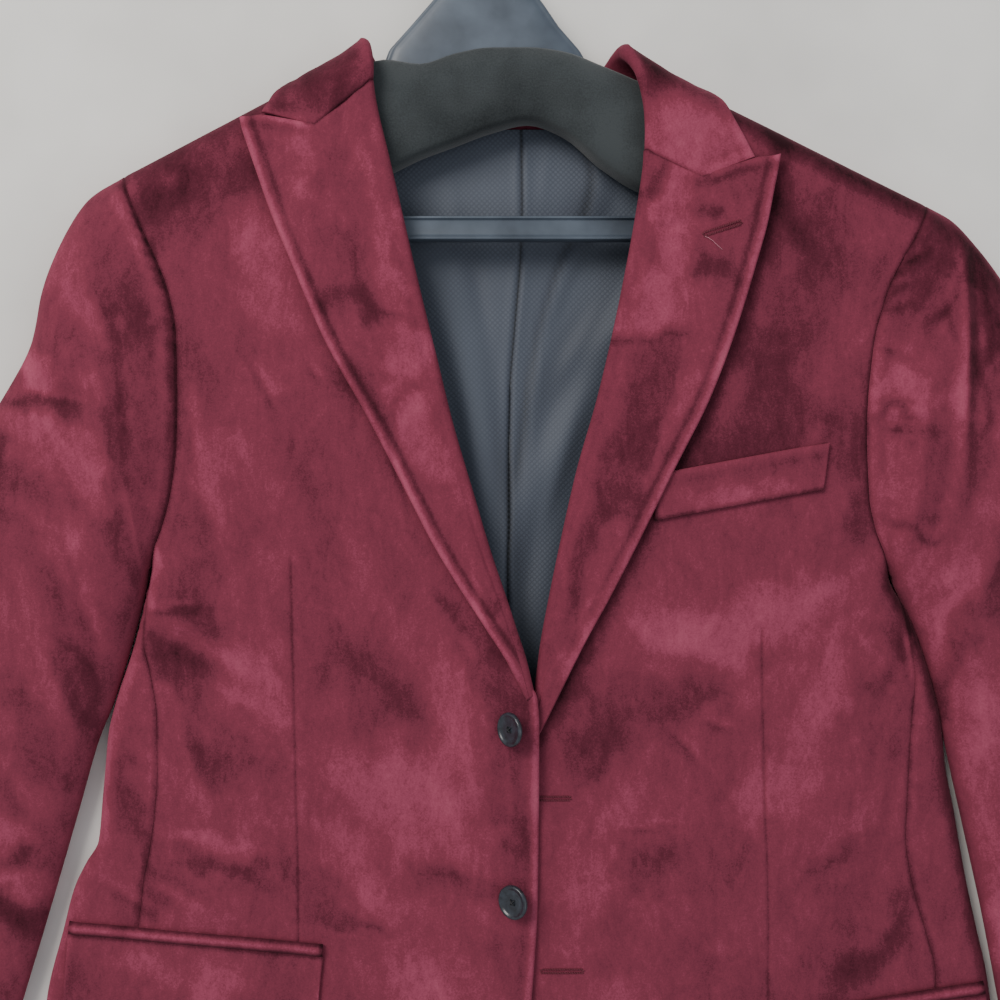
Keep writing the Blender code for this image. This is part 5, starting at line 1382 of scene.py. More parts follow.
@dataclass(frozen=True)
class MouldedPlastic(Finish):
    """Injection-moulded polypropylene with a fine satin texture from its mould.

    It has a broad soft highlight, slightly clouded, and shows a few hairline scuffs.
    """

    worn: str = "#626e7c"

    def dress(self, tree: bpy.types.NodeTree, shader: bpy.types.Node) -> None:
        """Adds the mould's grain and clouding."""
        place = add(tree, "ShaderNodeTexCoord").outputs["Object"]
        cloud = add(
            tree, "ShaderNodeTexNoise", {"Scale": 1 / 0.03, "Detail": 4.0}, {"Vector": place}
        ).outputs["Fac"]
        stops = ((0.25, linear(self.colour)), (0.9, linear(self.worn)))
        colour = add(tree, "ShaderNodeValToRGB", {"stops": stops}, {"Fac": cloud}).outputs["Color"]
        tree.links.new(colour, shader.inputs["Base Color"])
        rough = add(
            tree, "ShaderNodeMapRange",
            {"To Min": self.roughness - 0.06, "To Max": self.roughness + 0.12}, {"Value": cloud},
        ).outputs["Result"]
        tree.links.new(rough, shader.inputs["Roughness"])
        # The mould's 0.1 mm grain is drawn at 0.5 mm.
        grain = add(tree, "ShaderNodeTexNoise", {"Scale": 2000.0, "Detail": 2.0}, {"Vector": place})
        bump = add(
            tree, "ShaderNodeBump", {"Strength": 0.12, "Distance": 0.0002},
            {"Height": grain.outputs["Fac"]},
        )
        tree.links.new(bump.outputs["Normal"], shader.inputs["Normal"])


@dataclass(frozen=True)
class NeedledFelt(Finish):
    """Needled polyester felt: short fibres lie every way, so it is matt and faintly speckled."""

    fibre: str = "#3f4446"

    def dress(self, tree: bpy.types.NodeTree, shader: bpy.types.Node) -> None:
        """Mixes the fibres' tones and raises them."""
        place = add(tree, "ShaderNodeTexCoord").outputs["Object"]
        # Fibre clumps of about 1 mm over drifts of 40 mm.
        clump = add(
            tree, "ShaderNodeTexNoise", {"Scale": 1 / 0.0010, "Detail": 3.0, "Roughness": 0.7},
            {"Vector": place},
        ).outputs["Fac"]
        drift = add(
            tree, "ShaderNodeTexNoise", {"Scale": 1 / 0.04, "Detail": 2.0}, {"Vector": place}
        ).outputs["Fac"]
        level = add(
            tree, "ShaderNodeMath", {"operation": "MULTIPLY_ADD", 1: 0.6}, {0: clump, 2: drift}
        ).outputs["Value"]
        stops = ((0.5, linear(self.colour)), (1.05 / 1.1, linear(self.fibre)))
        colour = add(tree, "ShaderNodeValToRGB", {"stops": stops}, {"Fac": level}).outputs["Color"]
        tree.links.new(colour, shader.inputs["Base Color"])
        shader.inputs["Specular IOR Level"].default_value = 0.2
        shader.inputs["Sheen Weight"].default_value = 0.25
        bump = add(tree, "ShaderNodeBump", {"Strength": 0.5, "Distance": 0.0004}, {"Height": clump})
        tree.links.new(bump.outputs["Normal"], shader.inputs["Normal"])


@dataclass(frozen=True)
class DrawnSteel(Finish):
    """Chromed steel wire: bright, with faint lines from the die along its length."""

    def dress(self, tree: bpy.types.NodeTree, shader: bpy.types.Node) -> None:
        """Adds the die's lines to the chrome."""
        shader.inputs["Metallic"].default_value = 1.0
        place = add(tree, "ShaderNodeTexCoord").outputs["Object"]
        lines = add(tree, "ShaderNodeTexNoise", {"Scale": 700.0, "Detail": 3.0}, {"Vector": place})
        rough = add(
            tree, "ShaderNodeMapRange",
            {"To Min": self.roughness - 0.05, "To Max": self.roughness + 0.1},
            {"Value": lines.outputs["Fac"]},
        ).outputs["Result"]
        tree.links.new(rough, shader.inputs["Roughness"])


@dataclass(frozen=True)
class CastPolyester(Finish):
    """Cast polyester button, turned and tumbled: horn-like clouds under a satin polish."""

    cloud: str = "#39404a"

    def dress(self, tree: bpy.types.NodeTree, shader: bpy.types.Node) -> None:
        """Casts the clouds into the resin."""
        place = add(tree, "ShaderNodeTexCoord").outputs["Object"]
        veins = add(
            tree, "ShaderNodeTexNoise", {"Scale": 1 / 0.006, "Detail": 5.0, "Distortion": 1.2},
            {"Vector": place},
        ).outputs["Fac"]
        stops = ((0.3, linear(self.colour)), (0.8, linear(self.cloud)))
        colour = add(tree, "ShaderNodeValToRGB", {"stops": stops}, {"Fac": veins}).outputs["Color"]
        tree.links.new(colour, shader.inputs["Base Color"])
        shader.inputs["Coat Weight"].default_value = 0.25
        shader.inputs["Coat Roughness"].default_value = 0.2


@dataclass(frozen=True)
class SewingThread(Finish):
    """Twisted polyester thread: its turns make small soft glints."""

    def dress(self, tree: bpy.types.NodeTree, shader: bpy.types.Node) -> None:
        """Twists the thread, with a painted highlight on each turn."""
        place = add(tree, "ShaderNodeTexCoord").outputs["Object"]
        # The real twist of 0.3 mm is drawn at 0.8 mm.
        twist = add(
            tree, "ShaderNodeTexWave",
            {"Scale": 1 / 0.0008, "bands_direction": "DIAGONAL", "Distortion": 0.5},
            {"Vector": place},
        ).outputs["Fac"]
        # Painted highlight: each turn of the twist is lighter.
        stops = ((0.1, linear(self.colour)), (0.9, tuple(1.7 * c for c in linear(self.colour))))
        colour = add(tree, "ShaderNodeValToRGB", {"stops": stops}, {"Fac": twist}).outputs["Color"]
        tree.links.new(colour, shader.inputs["Base Color"])
        bump = add(tree, "ShaderNodeBump", {"Strength": 0.4, "Distance": 0.0002}, {"Height": twist})
        tree.links.new(bump.outputs["Normal"], shader.inputs["Normal"])


@dataclass(frozen=True)
class PaintedFloor(Finish):
    """Smooth painted board: pale, with a faint unevenness."""

    def dress(self, tree: bpy.types.NodeTree, shader: bpy.types.Node) -> None:
        """Clouds the paint a little."""
        place = add(tree, "ShaderNodeTexCoord").outputs["Object"]
        cloud = add(tree, "ShaderNodeTexNoise", {"Scale": 9.0, "Detail": 3.0}, {"Vector": place})
        stops = ((0.3, linear(self.colour)), (0.8, linear("#dcdad6")))
        colour = add(
            tree, "ShaderNodeValToRGB", {"stops": stops}, {"Fac": cloud.outputs["Fac"]}
        ).outputs["Color"]
        tree.links.new(colour, shader.inputs["Base Color"])


VELVET = CottonVelvet("burgundy cotton velvet", "velvet", "#7e3547", 0.88)
LINING = JacquardLining("slate jacquard lining", "lining", "#434955", 0.58)
PLASTIC = MouldedPlastic("moulded hanger plastic", "hanger_plastic", "#333b46", 0.38)
FELT = NeedledFelt("needled hanger felt", "hanger_felt", "#1f2325", 0.95)
STEEL = DrawnSteel("drawn steel wire", "hook_steel", "#c8c9cb", 0.22)
RESIN = CastPolyester("cast polyester", "button_horn", "#191a20", 0.30)
DARK_THREAD = SewingThread("charcoal sewing thread", "button_horn", "#15171b", 0.6)
RED_THREAD = SewingThread("burgundy buttonhole thread", "velvet", "#5c1c2c", 0.6)
PALE_THREAD = SewingThread("pale loose thread", "velvet", "#a8707c", 0.6)
FLOOR = PaintedFloor("pale painted board", "velvet", "#f3f1ed", 0.7)


def sew(piece: bpy.types.Object, node: str, finish: Finish) -> bpy.types.Object:
    """Lets a piece stand for its solid: it rides on the coat and takes its finish.

    Args:
        piece: The piece.
        node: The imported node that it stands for.
        finish: What it is made of.

    Returns:
        The piece.
    """
    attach(piece, BODY)
    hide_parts(node)
    piece.data.materials.append(finish.material())
    LOG.info("%s: %d faces", piece.name, len(piece.data.polygons))
    return piece


@dataclass
class Body:
    """Front, side and back panels of one side.

    Attributes:
        half: The side's lines and heights.
        pile: The velvet's finish.
        dart_top: Where the dart ends, up the front.
    """

    half: Half
    pile: Finish
    dart_top: float

    def front_plan(self) -> tuple[Array, Array, Array]:
        """Places of the front's grid, each row's distance down and the dart's column."""
        half, side = self.half, self.half.side
        fan = FRONT_FAN[side]
        u = np.linspace(0, 1, 92)
        t = 0.22 * u + 0.78 * u**1.35
        outer = half.beside(FRONT_ARMHOLE, t, -SEAM_GAP)
        inner_y = smooth(t, fan["share"], fan["inner_y"])
        start, end = outer[-1, 1], FRONT_ROWS_BELOW[side][-1]
        below = start + (end - start) * spaced(start - end)[1:]
        outer = np.concatenate([outer, np.stack([half.seam_line(below) - SEAM_GAP, below], -1)])
        sag = 1.2 * ease((below - end - 40) / -40)
        inner_y = np.concatenate([inner_y, below - sag])
        inner = np.stack([half.front_line(inner_y), inner_y], -1)
        dart = DART_LINE[side]
        middle = (inner[:, 1] + outer[:, 1]) / 2
        at = smooth(middle, dart["y"], dart["out"])
        knots = np.clip((at - inner[:, 0]) / (outer[:, 0] - inner[:, 0]), 0.12, 0.9)
        first, second = spaced(128), spaced(88)
        share = spans((first, second), knots)
        plan = inner[:, None] + (outer - inner)[:, None] * share[..., None]
        return plan, share, np.full(1, len(first) - 1)

    def front(self) -> bpy.types.Object:
        """Front panel: from the lapel fold and front edge to the armhole and side seam."""
        half = self.half
        plan, share, column = self.front_plan()
        out, y = plan[..., 0], plan[..., 1]
        width = np.linalg.norm(plan[:, -1] - plan[:, 0], axis=-1)[:, None]
        to_seam, to_edge = (1 - share) * width, share * width
        run = run_of(half.place(out, y, 0), 0)
        relief = seam_relief(to_seam) + 0.2 * pucker(run, to_seam, 12.5, 31)
        open_edge = ease((BREAK_Y[half.side] + 6 - y) / 10)
        leaf = LAPEL[half.side]
        from_leaf = out - smooth(y, leaf["edge_y"], leaf["edge_out"])
        # Painted shadow cast by the lapel's lifted outer edge on the front beside it.
        lapel_shadow = LAPEL_SHADOW[half.side] * ridge(from_leaf, 1.0, 8.0) * ease((y - BREAK_Y[half.side]) / 30)
        relief = relief + open_edge * edge_relief(to_edge)
        to_hem = y - y[-1:]
        relief = relief + edge_relief(to_hem) * ease((30 - to_hem) / 20)
        from_dart = np.abs(out - out[:, column])
        dart = ease((self.dart_top - y) / 14)
        relief = relief - dart * (0.5 * ridge(from_dart, 0, 0.7) - 0.16 * ridge(from_dart, 4, 2.6))
        relief = relief + dart * 0.10 * pucker(run, from_dart, 12, 57)
        top = half.into_body(out, y)
        relief = relief + seam_relief(top) * ease((24 - top) / 10) * half.edge_share(out, y)
        z = half.front_height(out, y)
        z[0] += SEAM_GAP
        normal = half.face_normals(half.form_height, out, y, 1)
        normal[0] = half.shoulder_normal()
        base = half.place(out, y, z)
        grid = base.copy()
        grid[..., 2] += relief
        nap = half.front_tone_and_shade(FRONT_SHADES, out, y) - lapel_shadow
        # Painted highlight and shade along the open front edge.
        nap = nap + open_edge * edge_shade(to_edge) - 0.35 * ridge(to_seam, 0, 1.1)
        nap = nap - dart * 0.34 * ridge(from_dart, 0, 0.8)
        # Painted highlight on raised seams and puckers.
        nap = nap + 0.25 * (relief - np.minimum(relief, 0.1))
        node = f"front_{half.side.value}"
        piece = Wall(
            f"{node}_cloth", grid, base - CLOTH * normal, half.side.sign, nap,
            (SEWN, SEWN, TURNED, TURNED),
        ).build()
        return sew(piece, node, self.pile)

    def side_row(self, y_top: float, y_low: float, out_top: float, out_low: float) -> Array:
        """A side panel's row: over the top, round the edge and under, to the back's seam."""
        half = self.half
        line = SIDE_EDGE[half.side]
        edge = float(smooth(y_top, line["y"], line["out"]))
        start = min(edge - out_top, SIDE_ROUND * 3.2)
        top_turn = np.radians(np.linspace(54, 0, 8))
        rolled = np.minimum(SIDE_ROUND * (1 - np.cos(top_turn)), start * np.sin(top_turn))
        level = np.linspace(0, 1, 9)[:-1]
        top_out = np.concatenate([out_top + (edge - rolled[0] - out_top) * level, edge - rolled])
        top_z = half.front_height(top_out, np.full_like(top_out, y_top))
        low_turn = np.radians(np.linspace(0, 90, 9))[1:]
        low_out = edge - SIDE_ROUND * (1 - np.cos(low_turn))
        inwards = (out_low - low_out[-1]) * np.linspace(0, 1, 7)[1:]
        low_out = np.concatenate([low_out, low_out[-1] + inwards])
        low_y = y_top + (y_low - y_top) * (edge - low_out) / (edge - out_low)
        low_z = half.back_height(low_out, low_y)
        return half.place(
            np.concatenate([top_out, low_out]),
            np.concatenate([np.full_like(top_out, y_top), low_y]),
            np.concatenate([top_z, low_z]),
        )

    def side_panel(self) -> bpy.types.Object:
        """Panel under the arm, from the front's seam round the edge to the back's seam."""
        half, side = self.half, self.half.side
        corner = FRONT_ARMHOLE[side]["y"][-1]
        turned = half.armhole(BACK_ARMHOLE)[0][BACK_ARMHOLE_KNOT]
        end = FRONT_ROWS_BELOW[side][-1]
        rows = []
        for y in corner + (end - corner) * spaced(corner - end):
            level = float(np.clip((corner - y) / (corner + 110), 0, 1))
            low_y = max(turned[1] + (y - turned[1]) * level, HEM_Y)
            low_out = np.interp(-low_y, -BACK_SEAM["y"], BACK_SEAM["out"]) + SEAM_GAP
            gap = 1 - level
            seam = float(half.seam_line(y)) + SEAM_GAP
            rows.append(self.side_row(y - gap, low_y - gap, seam, low_out))
        base = np.array(rows)
        normal = normals_of(base, side.sign)
        start = base[:, 0]
        normal[:, 0] = half.face_normals(half.form_height, side.sign * start[:, 0], start[:, 1], 1)
        normal[base[..., 2] < 0.01] = (0, 0, -1)
        from_seam = run_of(base, 1)
        down = run_of(base, 0)
        shown = ease(base[..., 2] / 3)
        relief = (seam_relief(from_seam) + 0.35 * pucker(down, from_seam, 9.5, 71)) * shown
        grid = base + relief[..., None] * normal
        out, y = side.sign * base[..., 0], base[..., 1]
        nap = half.front_tone_and_shade(FRONT_SHADES, out, y)
        # Painted highlight on raised seams and puckers.
        nap = nap * shown - 0.35 * ridge(from_seam, 0, 1.1) + 0.25 * np.maximum(relief, 0)
        node = f"side_panel_{side.value}"
        piece = Wall(
            f"{node}_cloth", grid, base - CLOTH * normal, side.sign, nap,
            (SEWN, SEWN, TURNED, SEWN),
        ).build()
        return sew(piece, node, self.pile)

    def back(self) -> bpy.types.Object:
        """Back panel on the floor, from the neck and centre seam to armhole and side."""
        half, side = self.half, self.half.side
        fan = BACK_FAN[side]
        knot = half.armhole(BACK_ARMHOLE)[1][BACK_ARMHOLE_KNOT]
        u = np.linspace(0, 1, 40)
        t = 0.2 * u + 0.8 * u**1.5
        outer = half.beside(BACK_ARMHOLE, t * knot, -SEAM_GAP)
        outer[-1, 0] = BACK_SEAM["out"][0] - SEAM_GAP
        below = outer[-1, 1] + (HEM_Y - outer[-1, 1]) * spaced(530, 9.0)[1:]
        seam = np.interp(-below, -BACK_SEAM["y"], BACK_SEAM["out"]) - SEAM_GAP
        outer = np.concatenate([outer, np.stack([seam, below], -1)])
        centre = side.sign * CENTRE_BACK_X + SEAM_GAP / 2
        inner = np.stack(
            [smooth(t, fan["share"], fan[name]) for name in ("inner_out", "inner_y")], -1
        )
        inner = np.concatenate([inner, np.stack([np.full(len(below), centre), below], -1)])
        inner[:, 0] = np.maximum(inner[:, 0], centre)
        plan = inner[:, None] + (outer - inner)[:, None] * spaced(200, 9.0)[None, :, None]
        out, y = plan[..., 0], plan[..., 1]
        z = half.back_height(out, y)
        z[0] -= SEAM_GAP
        grid = half.place(out, y, z)
        normal = half.face_normals(half.back_height, out, y, -1)
        normal[0] = half.shoulder_normal()
        node = f"back_{side.value}"
        piece = Wall(
            f"{node}_cloth", grid, grid - CLOTH * normal, -side.sign, 0 * z,
            (SEWN, SEWN, TURNED, SEWN),
        ).build()
        return sew(piece, node, self.pile)

    def build(self) -> None:
        """Makes the three panels."""
        self.front()
        self.side_panel()
        self.back()


@dataclass
class Lapel:
    """A peak lapel: turned under at its fold, round it, and out over the front to its peak.

    Attributes:
        half: The side's lines and heights.
        pile: The velvet's finish.
    """

    half: Half
    pile: Finish

    def lines(self) -> tuple[Array, Array, Array]:
        """Fold and edge points row by row, and the row of the solid that each stands at."""
        rows = LAPEL[self.half.side]
        count = len(rows["fold_y"])
        at = (count - 1) * spaced(345, 2.6)
        index = np.arange(count)
        fold, edge = (
            np.stack([smooth(at, index, rows[f"{line}_{way}"]) for way in ("out", "y")], -1)
            for line in ("fold", "edge")
        )
        return fold, edge, at / (count - 1) * (LAPEL_ROWS - 1)

    def build(self) -> None:
        """Makes the lapel."""
        half, side = self.half, self.half.side
        fold, edge, step = self.lines()
        width = np.linalg.norm(edge - fold, axis=1)
        across = (edge - fold) / width[:, None]
        notch = NOTCH[side]
        share = leaf_shares(66, 74, notch["share"])[1:]
        turns = np.radians(np.linspace(-62, 62, 9))
        closing = ease((step - (LAPEL_ROWS - TIP_START)) / TIP_LENGTH)
        z_fold = half.front_height(fold[:, 0] + ROLL_INSET, fold[:, 1])
        z_fold = z_fold - CLOTH / 2 - TIP_FOLD * closing
        tail = np.minimum(LAPEL_TAIL, 0.8 * width)
        drop = notch["drop"] * np.exp(-((step / 3.6) ** 2))
        faces = []
        for radius, wall in ((ROLL_RADIUS, CLOTH), (ROLL_RADIUS - CLOTH, 0.0)):
            under = [
                (np.maximum(tail, ROLL_RADIUS + 0.3), -radius),
                (0 * tail + ROLL_RADIUS + 0.15, -radius),
            ]
            under += [
                (0 * tail + ROLL_RADIUS - radius * math.cos(turn), radius * math.sin(turn))
                for turn in turns
            ]
            shift = GORGE_CLOSE * np.exp(-((step / 0.9) ** 2))
            turned = fold + np.stack([0 * shift, shift], -1)
            columns = [
                np.concatenate([turned + across * d[:, None], (z_fold + z)[:, None]], 1)
                for d, z in under
            ]
            for s in share:
                d = ROLL_RADIUS + (width - ROLL_RADIUS) * s
                here = fold + across * d[:, None]
                tent = np.interp(d / width, [0, notch["share"], 1], [0, 1, 0])
                seamed = 1 - float(ease((s - 0.80) / 0.20))
                here[:, 1] += seamed * shift - drop * tent
                rise = LAYER_GAP + np.minimum(LAPEL_LIFT, 0.055 * width) * (d / width) ** 2
                z = half.front_height(here[:, 0], here[:, 1]) + rise + wall - TIP_LEAF * closing
                columns.append(np.concatenate([here, z[:, None]], 1))
            faces.append(np.stack(columns, 1))
        outer, inner = faces
        relief, nap = self.relief(outer, len(turns) + 2, share)
        outer[..., 2] += relief
        flip = np.array([side.sign, 1, 1])
        node = f"lapel_{side.value}"
        piece = Wall(
            f"{node}_cloth", outer * flip, inner * flip, side.sign, nap,
            (0.5, TURNED, TURNED, SEWN),
        ).build()
        sew(piece, node, self.pile)

    def face_height(self, x: float, y: float) -> float:
        """Height of the lapel's face at a place across and up the coat."""
        rows, out = LAPEL[self.half.side], self.half.side.sign * x
        fold = float(smooth(y, rows["fold_y"], rows["fold_out"]))
        width = float(smooth(y, rows["edge_y"], rows["edge_out"])) - fold
        rise = LAYER_GAP + min(LAPEL_LIFT, 0.055 * width) * ((out - fold) / width) ** 2
        return float(self.half.front_height(out, y)) + rise + CLOTH

    def relief(self, outer: Array, first: int, share: Array) -> tuple[Array, Array]:
        """Height of the lapel's face, and its tone with painted shade and highlights.

        Args:
            outer: Its outer grid.
            first: The first column on the leaf.
            share: The leaf columns' shares of its width.

        Returns:
            What is added to the height, and the tone with painted shade and highlights.
        """
        half, side = self.half, self.half.side
        out, y = outer[..., 0], outer[..., 1]
        across = run_of(outer, 1)
        to_edge = across[:, -1:] - across
        leaf = np.concatenate([np.zeros(first), share])
        peak = ease((leaf - NOTCH[side]["share"] - 0.02) / 0.06)[None]
        from_top = run_of(outer, 0)
        on_leaf = ease((leaf - 0.03) / 0.1)[None]
        fade = ease((y - y[-1:]) / EDGE_FADE[side])
        finished = peak * edge_relief(from_top) * ease((30 - from_top) / 20)
        sewn = (1 - peak) * 0.7 * seam_relief(from_top)
        edge = fade * EDGE_ROLL[side] * edge_relief(to_edge)
        folds = folds_at(LAPEL_CREASES[side], out, y)
        relief = on_leaf * (edge + finished + sewn + folds + 0.35 * ripple(out, y, 33, 91))
        roll = ridge(across, across[:, first : first + 1] + 5.0, 7.0) * 0.8
        relief = relief + on_leaf * roll
        nap = half.front_tone_and_shade(LAPEL_SHADES, out, y)
        # Painted highlight on the rolled edges and painted shade in the lines behind them.
        shade = fade * EDGE_ROLL[side] * (edge_shade(to_edge) - 0.16 * ridge(to_edge, 6.6, 1.7))
        nap = nap + on_leaf * (shade + peak * edge_shade(from_top) * ease((24 - from_top) / 12))
        nap = nap - (1 - peak) * 0.3 * ridge(from_top, 0, 1.0)
        return relief, nap


@dataclass
class Collar:
    """The collar round the neck, its leaf folded out over fronts and back.

    Attributes:
        halves: Both sides' lines and heights, right first.
        pile: The velvet's finish.
    """

    halves: tuple[Half, Half]
    pile: Finish

    def row(self, half: Half, ends: dict[str, Array], at: float) -> tuple[list[Array], list[float]]:
        """One line across the collar, from the leaf's edge over the fold to the neck seam.

        Args:
            half: The side.
            ends: Where fold, edge and neck seam run, round the shoulder edge.
            at: The line's place among the collar's stations.

        Returns:
            Its points and the leaf share of each.
        """
        count = len(ends["fold"])
        index = np.arange(count)
        step = at / (count - 1) * (COLLAR_STEPS - 1)
        notch = COLLAR_NOTCH[half.side]
        _, run, inward = half.shoulder_axes()
        down = -np.array([run[1], inward[1]])
        fold, edge, neck = (
            np.array([float(smooth(at, index, ends[end][:, k])) for k in (0, 1)])
            for end in ("fold", "edge", "neck")
        )
        crest = math.exp(-((fold[1] / 26) ** 2))
        bend = notch["drop"] * math.exp(-((step / 4.0) ** 2))
        neck = neck + (fold - neck) / np.linalg.norm(fold - neck) * min(1.0, step)
        lift = COLLAR_CLEAR + COLLAR_CLOTH
        line, shares = [], []
        leaf = leaf_shares(34, 30, notch["share"])
        leaf = leaf[leaf > 0.09]
        for share in leaf[::-1]:
            reach = float(np.interp(share, [0, notch["share"], 1], [0, 1, 0]))
            point, normal = half.wrap_point(fold + (edge - fold) * share + bend * reach * down)
            extra = COLLAR_BULGE * crest * (1 - share) ** 2
            if normal[2] <= -0.999:
                point[2] = 0.0
                normal = np.zeros(3)
            line.append(point + normal * (lift + extra))
            shares.append(share)
        here, normal = half.wrap_point(fold)
        behind, _ = half.wrap_point(fold + (edge - fold) * 0.05)
        onward = here - behind
        onward = onward - normal * float(onward @ normal)
        onward = onward / np.linalg.norm(onward)
        high = lift + COLLAR_BULGE * crest
        if normal[2] <= -0.999:
            high = here[2]
        radius = (high + COLLAR_CLOTH) / 2
        centre = here + normal * (high - radius) - onward * radius
        for turn in np.linspace(72, -72, 9):
            angle = math.radians(turn)
            line.append(centre + radius * (onward * math.cos(angle) + normal * math.sin(angle)))
            shares.append(0.0)
        for share in (0.35, 0.6, 0.8, 1.0):
            point, facing = half.wrap_point(fold + (neck - fold) * share)
            line.append(point - facing * COLLAR_CLOTH)
            shares.append(0.0)
        return line, shares

    def half_grid(self, half: Half) -> tuple[Array, Array]:
        """Outer grid of half the collar from the gorge to the centre back, and leaf shares."""
        rows = COLLAR[half.side]
        count = len(rows["face"])
        ends = {
            end: np.array([
                half.wrap_place(rows["face"][i], rows[f"{end}_out"][i], rows[f"{end}_y"][i])
                for i in range(count)
            ])
            for end in ("fold", "edge", "neck")
        }
        lines = [self.row(half, ends, at) for at in (count - 1) * spaced(190, 2.8)]
        grid = np.array([line for line, _ in lines]) * np.array([half.side.sign, 1, 1])
        grid[..., 2] = np.maximum(grid[..., 2], 0.0)
        return grid, np.array(lines[0][1])

    def build(self) -> None:
        """Makes the collar in one piece."""
        (right, share), (left, _) = (self.half_grid(half) for half in self.halves)
        base = np.concatenate([right[:-1], ((right[-1] + left[-1]) / 2)[None], left[-2::-1]])
        normal = normals_of(base, -1)
        across = run_of(base, 1)
        along_it = run_of(base, 0)
        from_end = np.minimum(along_it, along_it[-1:] - along_it)
        level = ease(base[..., 2] / 6) * ease((share - 0.05) / 0.1)[None]
        open_end = ease((share - 0.56) / 0.06)[None]
        relief = edge_relief(across) + open_end * edge_relief(from_end) * ease((26 - from_end) / 16)
        relief = relief + (1 - open_end) * 0.7 * seam_relief(from_end)
        relief = relief + 0.4 * ripple(base[..., 0], base[..., 1], 26, 7)
        relief = relief + folds_at(COLLAR_CREASES, base[..., 0], base[..., 1])
        grid = base + (relief * level)[..., None] * normal
        # Painted highlight and shade along the collar's edges, and painted sheen and shade by the
        # way each slope faces.
        nap = edge_shade(across) * 0.6 - (1 - open_end) * 0.3 * ridge(from_end, 0, 1.0)
        nap = nap + open_end * 0.5 * edge_shade(from_end)
        nap = nap + strokes_and_shade_at(COLLAR_SHADES, base[..., 0], base[..., 1])
        nap = nap + np.clip(-0.8 * normal[..., 1] - 0.6 * normal[..., 0], -0.6, 0.5) * level
        piece = Wall(
            "collar_cloth", grid, base - COLLAR_CLOTH * normal, -1, nap, (0.5, SEWN, 0.5, TURNED)
        ).build()
        sew(piece, "collar", self.pile)


